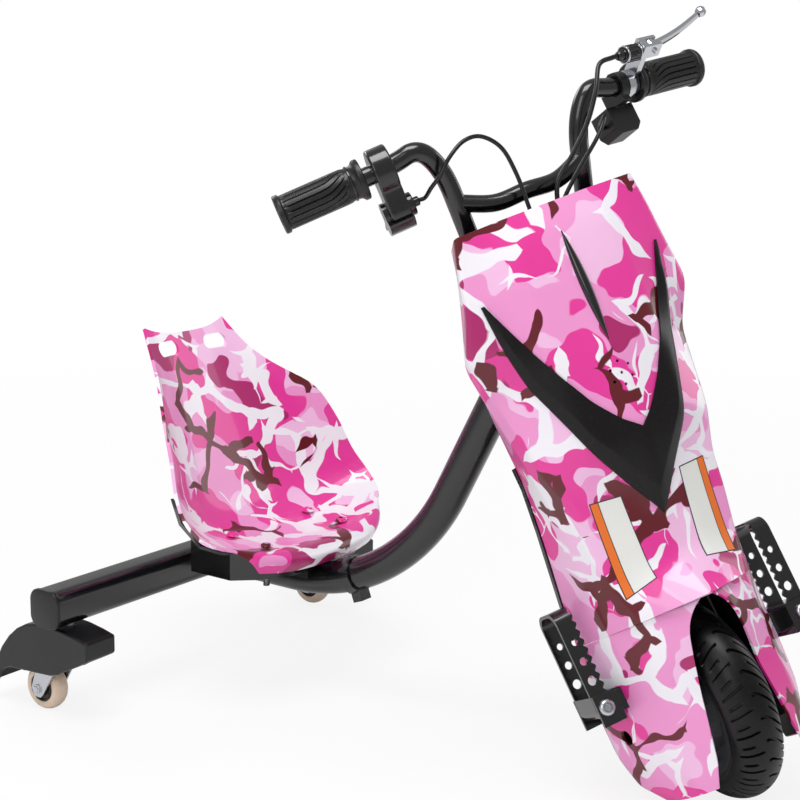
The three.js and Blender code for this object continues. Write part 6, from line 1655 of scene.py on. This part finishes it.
def flute_row(x, radius):
    row = []
    for share in FLUTE_COLUMNS:
        pressed = FLUTE_SPAN[0] <= x <= FLUTE_SPAN[1] and FLUTE_SHARES[0] < share < FLUTE_SHARES[1]
        row.append(at_pitch(ADJUSTER_FLUTES, x * MM, (radius - FLUTE_DEPTH * pressed) * MM, share))
    return row


ADJUSTER_FRAME = BRAKE_FRAME @ Matrix.Translation((0.0, -41 * MM, 0.0))
flute_rows = [flute_row(x, radius) for x, radius in BARREL]
adjuster = ring_piece("brake_adjuster_fluted", flute_rows, ADJUSTER_FLUTES, gloss_black, ADJUSTER_FRAME,
                      capped=True)
stand_for(soften(adjuster), "brake_adjuster")
print("adjuster", len(adjuster.data.polygons), "faces")


def turned_rings(profile, sides):
    """Rings round the X axis from along and radius pairs in millimetres."""
    return [[at_pitch(sides, x * MM, radius * MM, i) for i in range(sides)] for x, radius in profile]


def band(name, node, material, place, profile, sides=BAND_SIDES):
    """A closed ring about X from a closed profile of along and radius pairs."""
    rings = turned_rings(profile, sides)
    shape = skin(rings + [rings[0]], around=True)
    bmesh.ops.remove_doubles(shape, verts=shape.verts, dist=MERGE_DISTANCE)
    bmesh.ops.recalc_face_normals(shape, faces=shape.faces)
    shape.transform(place)
    return ride_beside(soften(piece_from(shape, name, material)), node)


for end_name, x in COLLARS.items():
    profile = [(x + along, radius) for along, radius in COLLAR_PROFILE]
    band("adjuster_collar_" + end_name, "brake_adjuster", polished_alloy, ADJUSTER_FRAME, profile)
for side, hand in HANDS:
    band("grip_%s_ring" % hand, "grip_" + hand, gloss_black, grip_frame(side), GRIP_RING_PROFILE)
print("collars")

# %% [markdown]
# ## Caster wheels
#
# A caster wheel is a hard black hub with a cast urethane tread. The tread is a rounded ring with a slight
# crown, because a drift wheel wears smooth.

# %% Caster treads and hubs
CASTER_OUT = 250
CASTER_BACK = 684 + 40 - AXLE_AHEAD
CASTER_RADIUS = 28
TREAD_PROFILE = (
    (-10.0, 17.3), (-10.6, 18.2), (-11.0, 20.0), (-11.0, 21.6), (-10.4, 23.4), (-8.8, 25.2), (-6.5, 26.7),
    (-3.4, 27.7), (0.0, 28.0), (3.4, 27.7), (6.5, 26.7), (8.8, 25.2), (10.4, 23.4), (11.0, 21.6),
    (11.0, 20.0), (10.6, 18.2), (10.0, 17.3), (4.0, 17.3), (-4.0, 17.3),
)
HUB_PROFILE = (
    (-12.0, 4.8), (-12.0, 9.0), (-11.4, 9.8), (-9.2, 10.4), (-8.8, 11.2), (-8.8, 13.4), (-9.2, 14.2),
    (-11.2, 14.8), (-11.6, 15.4), (-11.0, 16.6), (-10.0, 17.0), (10.0, 17.0), (11.0, 16.6), (11.6, 15.4),
    (11.2, 14.8), (9.2, 14.2), (8.8, 13.4), (8.8, 11.2), (9.2, 10.4), (11.4, 9.8), (12.0, 9.0), (12.0, 4.8),
    (4.0, 4.8), (-4.0, 4.8),
)
CASTER_PARTS = (("tread", TREAD_PROFILE, amber_tread), ("hub", HUB_PROFILE, moulded_black))
WHEEL_SIDES = 64
for side, hand in HANDS:
    place = Matrix.Translation(Vector((side * CASTER_OUT, CASTER_BACK, CASTER_RADIUS)) * MM)
    for part, profile, material in CASTER_PARTS:
        node = "caster_%s_%s" % (part, hand)
        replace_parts(band(node + "_turned", node, material, place, profile, WHEEL_SIDES), node)
print("caster wheels")

# %% [markdown]
# ## Merged copies with rounded edges
#
# No moulded or pressed part has a knife edge. A copy of the node is merged into one skin, its flat
# triangles are joined, and a narrow bevel catches the light along each edge. The copy then stands for the
# node.

# %% Merged copies


def merged_shape(node):
    """The node's surface as one bmesh with its doubled points merged."""
    shape = bmesh.new()
    shape.from_mesh(frame["nodes"][node].data)
    bmesh.ops.remove_doubles(shape, verts=shape.verts, dist=MERGE_DISTANCE)
    return shape


def rounded_copy(node, width, segments):
    shape = merged_shape(node)
    bmesh.ops.dissolve_limit(shape, angle_limit=FLAT_ANGLE, verts=shape.verts, edges=shape.edges)
    piece = piece_from(shape, node + "_rounded", finish_of[node])
    stand_for(round_edges(soften(piece), width, segments), node)


EDGE_WIDTHS = (
    # width, bevel segments, nodes
    (0.5 * MM, 2, ("side_strip_left", "side_strip_right")),
    (0.8 * MM, 2, ("brake_bracket", "peg_bracket_left", "peg_bracket_right", "tube_collar", "upper_crown",
                   "caster_fork_left", "caster_fork_right")),
    (1.6 * MM, 4, ("seat_bracket", "rear_cover", "switch_box")),
)
for edge_width, edge_segments, edge_nodes in EDGE_WIDTHS:
    for edge_node in edge_nodes:
        rounded_copy(edge_node, edge_width, edge_segments)
print(sum(len(nodes) for _, _, nodes in EDGE_WIDTHS), "rounded copies")

# %% [markdown]
# ## The folding pegs
#
# A peg is a steel band bent to a loop with round corners and a round foot on the hinge bolt. Its tread
# side is toothed, and three holes through it grow towards the hinge. The side profile with its teeth is
# drawn first. It is then kept only inside the loop's outline, and the hollow, the holes and the bore are
# cut from it.

# %% Pegs
PEG_LENGTH = 108
PEG_HALF = 25
PEG_DEPTH = 20
PEG_BAND = 3.5
PEG_HEEL = 15
PEG_CORNER = 15
PEG_TEETH = 10
TOOTH_DEPTH = 3.2
TOOTH_CREST = 0.2
HINGE_OUT = 122
HOLE_RADII = (5.0, 4.2, 3.6)
HOLE_PITCH = 21
FIRST_HOLE = PEG_HEEL + 0.7 * HOLE_PITCH
PEG_BORE = 5.3
BORE_SIDES = 24
PEG_FOOT = -12
CUT_PAST = 2


def loop_outline(half, low, high):
    corner = min(PEG_CORNER, half)
    return ([(-half, low), (half, low)] + arc_of((half - corner, high - corner), corner, 0, 90)
            + arc_of((corner - half, high - corner), corner, 90, 180))


def toothed_side():
    """Along and deep of the side profile: round at the hinge, with teeth along the tread."""
    pitch = (PEG_LENGTH - PEG_HEEL) / PEG_TEETH
    outline = [(PEG_LENGTH, PEG_DEPTH)] + arc_of((0.0, PEG_DEPTH / 2), PEG_DEPTH / 2, 90, 270, 20)
    for i in range(PEG_TEETH):
        low, high = PEG_HEEL + i * pitch, PEG_HEEL + (i + 1 - TOOTH_CREST) * pitch
        outline += [(low, 0.0), ((low + high) / 2, TOOTH_DEPTH), (high, 0.0)]
    return outline + [(PEG_LENGTH, 0.0)]


def peg_place(side):
    """The peg's width, length and depth as a point of the frame."""
    def place(width, along, deep):
        return steered(side * (HINGE_OUT - PEG_DEPTH / 2 + deep), side * width, HINGE_UP + along)
    return place


through_depth = (-CUT_PAST, PEG_DEPTH + CUT_PAST)
bores = [(FIRST_HOLE + i * HOLE_PITCH, radius) for i, radius in enumerate(HOLE_RADII)] + [(0, PEG_BORE)]
for side, hand in HANDS:
    place = peg_place(side)
    teeth = prism(toothed_side(), -PEG_HALF, PEG_HALF, lambda along, deep, width: place(width, along, deep))
    peg = piece_from(teeth, "peg_%s_toothed" % hand, powder_black)
    cut(peg, prism(loop_outline(PEG_HALF, PEG_FOOT, PEG_LENGTH), *through_depth, place), "INTERSECT")
    cut(peg, prism(loop_outline(PEG_HALF - PEG_BAND, PEG_HEEL, PEG_LENGTH - PEG_BAND), *through_depth, place))
    for along, radius in bores:
        ends = [place(width, along, PEG_DEPTH / 2) for width in (-PEG_HALF - CUT_PAST, PEG_HALF + CUT_PAST)]
        cut(peg, cylinder_between(*ends, radius * MM, BORE_SIDES))
    stand_for(round_edges(soften(peg), 0.5 * MM), "peg_" + hand)
print("pegs", len(peg.data.polygons), "faces each")

# %% [markdown]
# The hinge bolt has a domed head at the front, a washer face, and a hexagon nut at the back.

# %% Peg bolts
BOLT_PROFILE = (
    (-34.4, 2.0), (-34.4, 3.4), (-34.0, 3.7), (-33.4, 4.2), (-34.4, 4.6), (-34.3, 6.0), (-33.4, 7.6),
    (-32.2, 8.4), (-30.6, 8.5), (-29.9, 8.2), (-29.9, 5.0), (29.9, 5.0), (34.4, 5.0), (34.4, 2.0),
)
NUT_PROFILE = ((29.9, 7.6), (30.5, 8.5), (33.8, 8.5), (34.4, 7.6))
FRONT_TO_BACK = Matrix.Rotation(math.pi / 2, 4, "Z")


def turned_piece(name, profile, sides, material, place):
    """A closed turned part about the place's X axis, from along and radius pairs in millimetres."""
    shape = skin(turned_rings(profile, sides), around=True, capped=True)
    shape.transform(place)
    return soften(piece_from(shape, name, material))


for side, hand in HANDS:
    hinge = STEERED @ Matrix.Translation(Vector((side * HINGE_OUT, 0, HINGE_UP)) * MM) @ FRONT_TO_BACK
    for part, profile, sides in (("bolt", BOLT_PROFILE, 36), ("nut", NUT_PROFILE, 6)):
        turned = turned_piece("peg_%s_%s_turned" % (part, hand), profile, sides, zinc_steel, hinge)
        stand_for(turned, "peg_bolt_" + hand)
print("peg bolts and nuts")

# %% [markdown]
# ## The thumb throttle
#
# The throttle is a round drum hung from a clamp ring on the bar. A lip curves round the drum below, and
# its cheek turns on the drum's pin. The cable leaves through a gland at the drum's other side.

# %% Thumb throttle
DRUM_RADIUS = 18
RING_RADIUS = 24
RING_CENTRE = (-18.6, 38.0)
RING_BORE = 10.3
RING_TURNS = (-23.3, 255.5)
THROTTLE_WIDTH = 27
CHEEK_RADIUS = 12
CHEEK_WIDTH = 5
LIP_INNER = 18.6
LIP_OUTER = 22.1
LIP_TURNS = (-12, -132)
LIP_TIP = ((31.1, -3.9), (31.1, -8.1))
PIN_BORE = 4.3
HOUSING_GAP = 0.6
GLAND_PROFILE = (
    (0.0, 3.2), (0.6, 4.0), (26.0, 4.0), (26.4, 12.0), (31.6, 12.0), (32.7, 11.4), (33.0, 10.0), (33.0, 6.0),
    (34.0, 5.0), (38.0, 5.0), (39.0, 4.2),
)
X_TO_Z = Matrix(((0, 1, 0, 0), (0, 0, 1, 0), (1, 0, 0, 0), (0, 0, 0, 1)))


def drum_place(a, b, depth):
    return DRUM_FRAME @ (Vector((a, b, depth)) * MM)


body_outline = (arc_of((0.0, 0.0), DRUM_RADIUS, 180, 360, 26)
                + arc_of(RING_CENTRE, RING_RADIUS, *RING_TURNS, 40))
housing_shape = prism(body_outline, CHEEK_WIDTH + HOUSING_GAP, THROTTLE_WIDTH, drum_place)
housing = piece_from(housing_shape, "throttle_housing_moulded", gloss_black)
bake(round_edges(soften(housing), 2.4 * MM, 4))
cut(housing, cylinder_between(drum_place(*RING_CENTRE, 0), drum_place(*RING_CENTRE, 40), RING_BORE * MM))
stand_for(even_shading(soften(housing)), "throttle_housing")
gland = turned_piece("throttle_gland_turned", GLAND_PROFILE, 40, gloss_black, DRUM_FRAME @ X_TO_Z)
stand_for(gland, "throttle_housing")

outer_lip = arc_of((0.0, 0.0), LIP_OUTER, *LIP_TURNS, 28)
inner_lip = arc_of((0.0, 0.0), LIP_INNER, LIP_TURNS[1], LIP_TURNS[0], 28)
cheek_outline = outer_lip + arc_of((0.0, 0.0), CHEEK_RADIUS, LIP_TURNS[1], LIP_TURNS[0] - 360, 32)[1:-1]
paddle_shape = prism(list(LIP_TIP) + outer_lip[1:] + inner_lip, 0, THROTTLE_WIDTH, drum_place)
paddle = piece_from(paddle_shape, "throttle_paddle_moulded", gloss_black)
cut(paddle, prism(cheek_outline, 0, CHEEK_WIDTH, drum_place), "UNION")
cut(paddle, cylinder_between(drum_place(0, 0, -2), drum_place(0, 0, 7), PIN_BORE * MM))
stand_for(round_edges(soften(paddle), 0.7 * MM), "throttle_paddle")
print("throttle", len(housing.data.polygons) + len(paddle.data.polygons), "faces")

# %% [markdown]
# ## The arch liner, a dark sheet of painted shade
#
# A dark inner panel closes each boot from behind its rear edge to the fork leg. It is painted shade: a dark
# sheet that stands in for the shade inside the arch, so that the wheel stands in a dark arch.

# %% Arch liner, painted shade
SHADE_LINER_LINE = ((0.735, -0.24), (0.725, -0.27), (0.66, -0.3), (0.56, -0.31), (0.47, -0.3))
SHADE_LINER_UPS = (98, 80, 60, 30, 0, -30, -55)
SHADE_LINER_REACHES = (5 * MM, 8 * MM)
SHADE_LINER_WALL = 1.6 * MM
for side, hand in HANDS:
    shade_liner_rows = [fairing_row(side, SHADE_LINER_LINE, up) for up in SHADE_LINER_UPS]
    shade_liner_grid = smooth_skin(shade_liner_rows, *SHADE_LINER_REACHES, LONGEST_QUAD)
    # The dark panel is painted shade: it stands in for the shade inside the arch.
    shade_liner = piece_from(skin(shade_liner_grid), "arch_shade_liner_" + hand, moulded_black)
    ride_beside(walled(shade_liner, SHADE_LINER_WALL), "boot_" + hand)
print("liners", len(shade_liner.data.polygons), "faces each")

# %% [markdown]
# ## The caster hoods
#
# A hood is a moulded cap over each caster wheel: a round back that runs out in a point behind the wheel,
# a flat front, and an open underside. Its side profile is drawn in shares of its reach, backwards and
# upwards.

# %% Caster hoods
HOOD_REACH = 113
HOOD_HALF = 23
HOOD_WALL = 3
HOOD_EDGE = 2.8 * MM
STEM_BACK = 339.7
STEM_BORE = 8.3
STEM_SHARES = (0.8, 1.2)
HOOD_SHARES = (
    (-0.46, 0.925), (-0.3, 0.96), (-0.1, 0.99), (0.142, 1.0), (0.31, 0.987), (0.451, 0.95), (0.59, 0.875),
    (0.717, 0.768), (0.83, 0.63), (0.92, 0.475), (0.97, 0.36), (1.0, 0.255), (0.912, 0.215), (0.84, 0.34),
    (0.8, 0.385), (0.7, 0.42), (0.4, 0.44), (0.1, 0.46), (-0.02, 0.5), (-0.106, 0.55), (-0.301, 0.65),
    (-0.46, 0.735),
)
HOOD_HOLLOW = (
    (-0.076, 0.0), (-0.076, 0.895), (0.142, 0.96), (0.3, 0.945), (0.434, 0.91), (0.57, 0.835), (0.69, 0.73),
    (0.8, 0.59), (0.885, 0.45), (0.93, 0.34), (0.95, 0.24), (0.89, 0.0),
)
for side, hand in HANDS:
    def hood_place(back, up, across):
        return Vector((side * CASTER_OUT + across, STEM_BACK + back * HOOD_REACH, up * HOOD_REACH)) * MM

    hood_shape = prism(HOOD_SHARES, -HOOD_HALF, HOOD_HALF, hood_place)
    hood = piece_from(hood_shape, "caster_hood_%s_moulded" % hand, moulded_black)
    bake(round_edges(soften(hood), HOOD_EDGE, 4))
    cut(hood, prism(HOOD_HOLLOW, HOOD_WALL - HOOD_HALF, HOOD_HALF - HOOD_WALL, hood_place))
    cut(hood, cylinder_between(*[hood_place(0, share, 0) for share in STEM_SHARES], STEM_BORE * MM))
    stand_for(even_shading(soften(hood)), "caster_hood_" + hand)
print("hoods", len(hood.data.polygons), "faces each")

# %% [markdown]
# ## The rear cross tube
#
# The cross tube is a square section with round corners, closed by a plastic cap at each end. The cap's
# face is slightly domed, and its lip stands a little proud of the tube.

# %% Cross tube and caps
CROSS_CENTRE = Vector((0.0, STEM_BACK, 139.6)) * MM
CROSS_SIZE = 44
CROSS_CORNER = 13
CROSS_HALF_LENGTH = 283
CAP_FACES = (
    # distance along the tube, size, corner
    (283.3, 45.0, 13.5), (283.9, 46.0, 14.0), (287.0, 46.0, 14.0), (287.9, 44.6, 13.3), (288.3, 42.0, 12.0),
)
CORNER_POINTS = 10


def rounded_square(x, size, corner):
    """Points round a square with round corners, at this distance along the tube, in millimetres."""
    ring = []
    for quarter in range(4):
        middle = math.radians(45 + 90 * quarter)
        out = math.sqrt(2.0) * (size / 2 - corner)
        centre = (out * math.cos(middle), out * math.sin(middle))
        ring += arc_of(centre, corner, 90 * quarter, 90 * quarter + 90, CORNER_POINTS)
    return [CROSS_CENTRE + Vector((x, back, up)) * MM for back, up in ring]


def square_piece(name, stations, material):
    shape = skin([rounded_square(*station) for station in stations], around=True, capped=True)
    return soften(piece_from(shape, name, material))


cross_distances = (-CROSS_HALF_LENGTH, -140, 0, 140, CROSS_HALF_LENGTH)
cross_stations = [(x, CROSS_SIZE, CROSS_CORNER) for x in cross_distances]
cross_tube = square_piece("cross_tube_square", cross_stations, powder_black)
stand_for(round_edges(cross_tube, 0.6 * MM), "rear_cross_tube")
for side, hand in HANDS:
    stations = [(side * x, size, corner) for x, size, corner in CAP_FACES]
    stand_for(square_piece("end_cap_%s_domed" % hand, stations, moulded_black), "end_cap_" + hand)
print("cross tube and two caps")

# %% [markdown]
# ## Bolts
#
# Four bolts hold the seat to its pan. Each has a domed head with a socket on a washer, and a hexagon nut
# with the end of the thread below it. The thread is a row of fine ridges, because a screw's slope can't
# be seen at 8 mm.

# %% Seat bolts
BOLT_HEADS = ("seat_bolt_1", "seat_bolt_2", "seat_bolt_3", "seat_bolt_4")
BOLT_SIDES = 24
THREAD_PITCH = 1.25
THREAD_LENGTH = 10.0
THREAD_RADII = (4.0, 3.45)
THREAD_START = 0.5
THREAD_CORE = 3.0
NECK_DOWN = 4.0
NECK_RADIUS = 3.5
HEAD_PROFILE = (
    # height against the top of the head, radius
    (-4.5, 3.9), (-4.5, 8.0), (-3.6, 8.0), (-3.4, 7.0), (-3.2, 6.8), (-1.6, 6.4), (-0.4, 4.9), (0.0, 3.2),
    (-0.2, 2.9), (-2.4, 2.7),
)
SEAT_NUT_PROFILE = ((0.0, 5.6), (0.7, 6.8), (3.8, 6.8), (4.5, 5.6))


def upright(profile, height):
    """The profile with its heights counted from here."""
    return [(height + up, radius) for up, radius in profile]


for node in BOLT_HEADS:
    low, high = [Vector(corner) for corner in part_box(node)]
    centre = (low + high) / 2
    low, high = low.z / MM, high.z / MM
    place = Matrix.Translation((centre.x, centre.y, 0.0)) @ X_TO_Z
    ridge_count = int((high - NECK_DOWN - 1 - low) / (THREAD_PITCH / 2))
    ridges = [(THREAD_START + i * THREAD_PITCH / 2, THREAD_RADII[i % 2]) for i in range(ridge_count)]
    thread = upright([(0.0, THREAD_CORE)] + ridges, low) + [(high - NECK_DOWN, NECK_RADIUS)]
    nut = upright(SEAT_NUT_PROFILE, low + THREAD_LENGTH)
    head = upright(HEAD_PROFILE, high)
    stand_for(turned_piece(node + "_head", head, BOLT_SIDES, camouflage_gloss, place), node)
    stand_for(turned_piece(node + "_thread", thread, BOLT_SIDES, zinc_steel, place), node)
    stand_for(round_edges(turned_piece(node + "_nut", nut, 6, zinc_steel, place), 0.3 * MM), node)
print(len(BOLT_HEADS), "bolts")
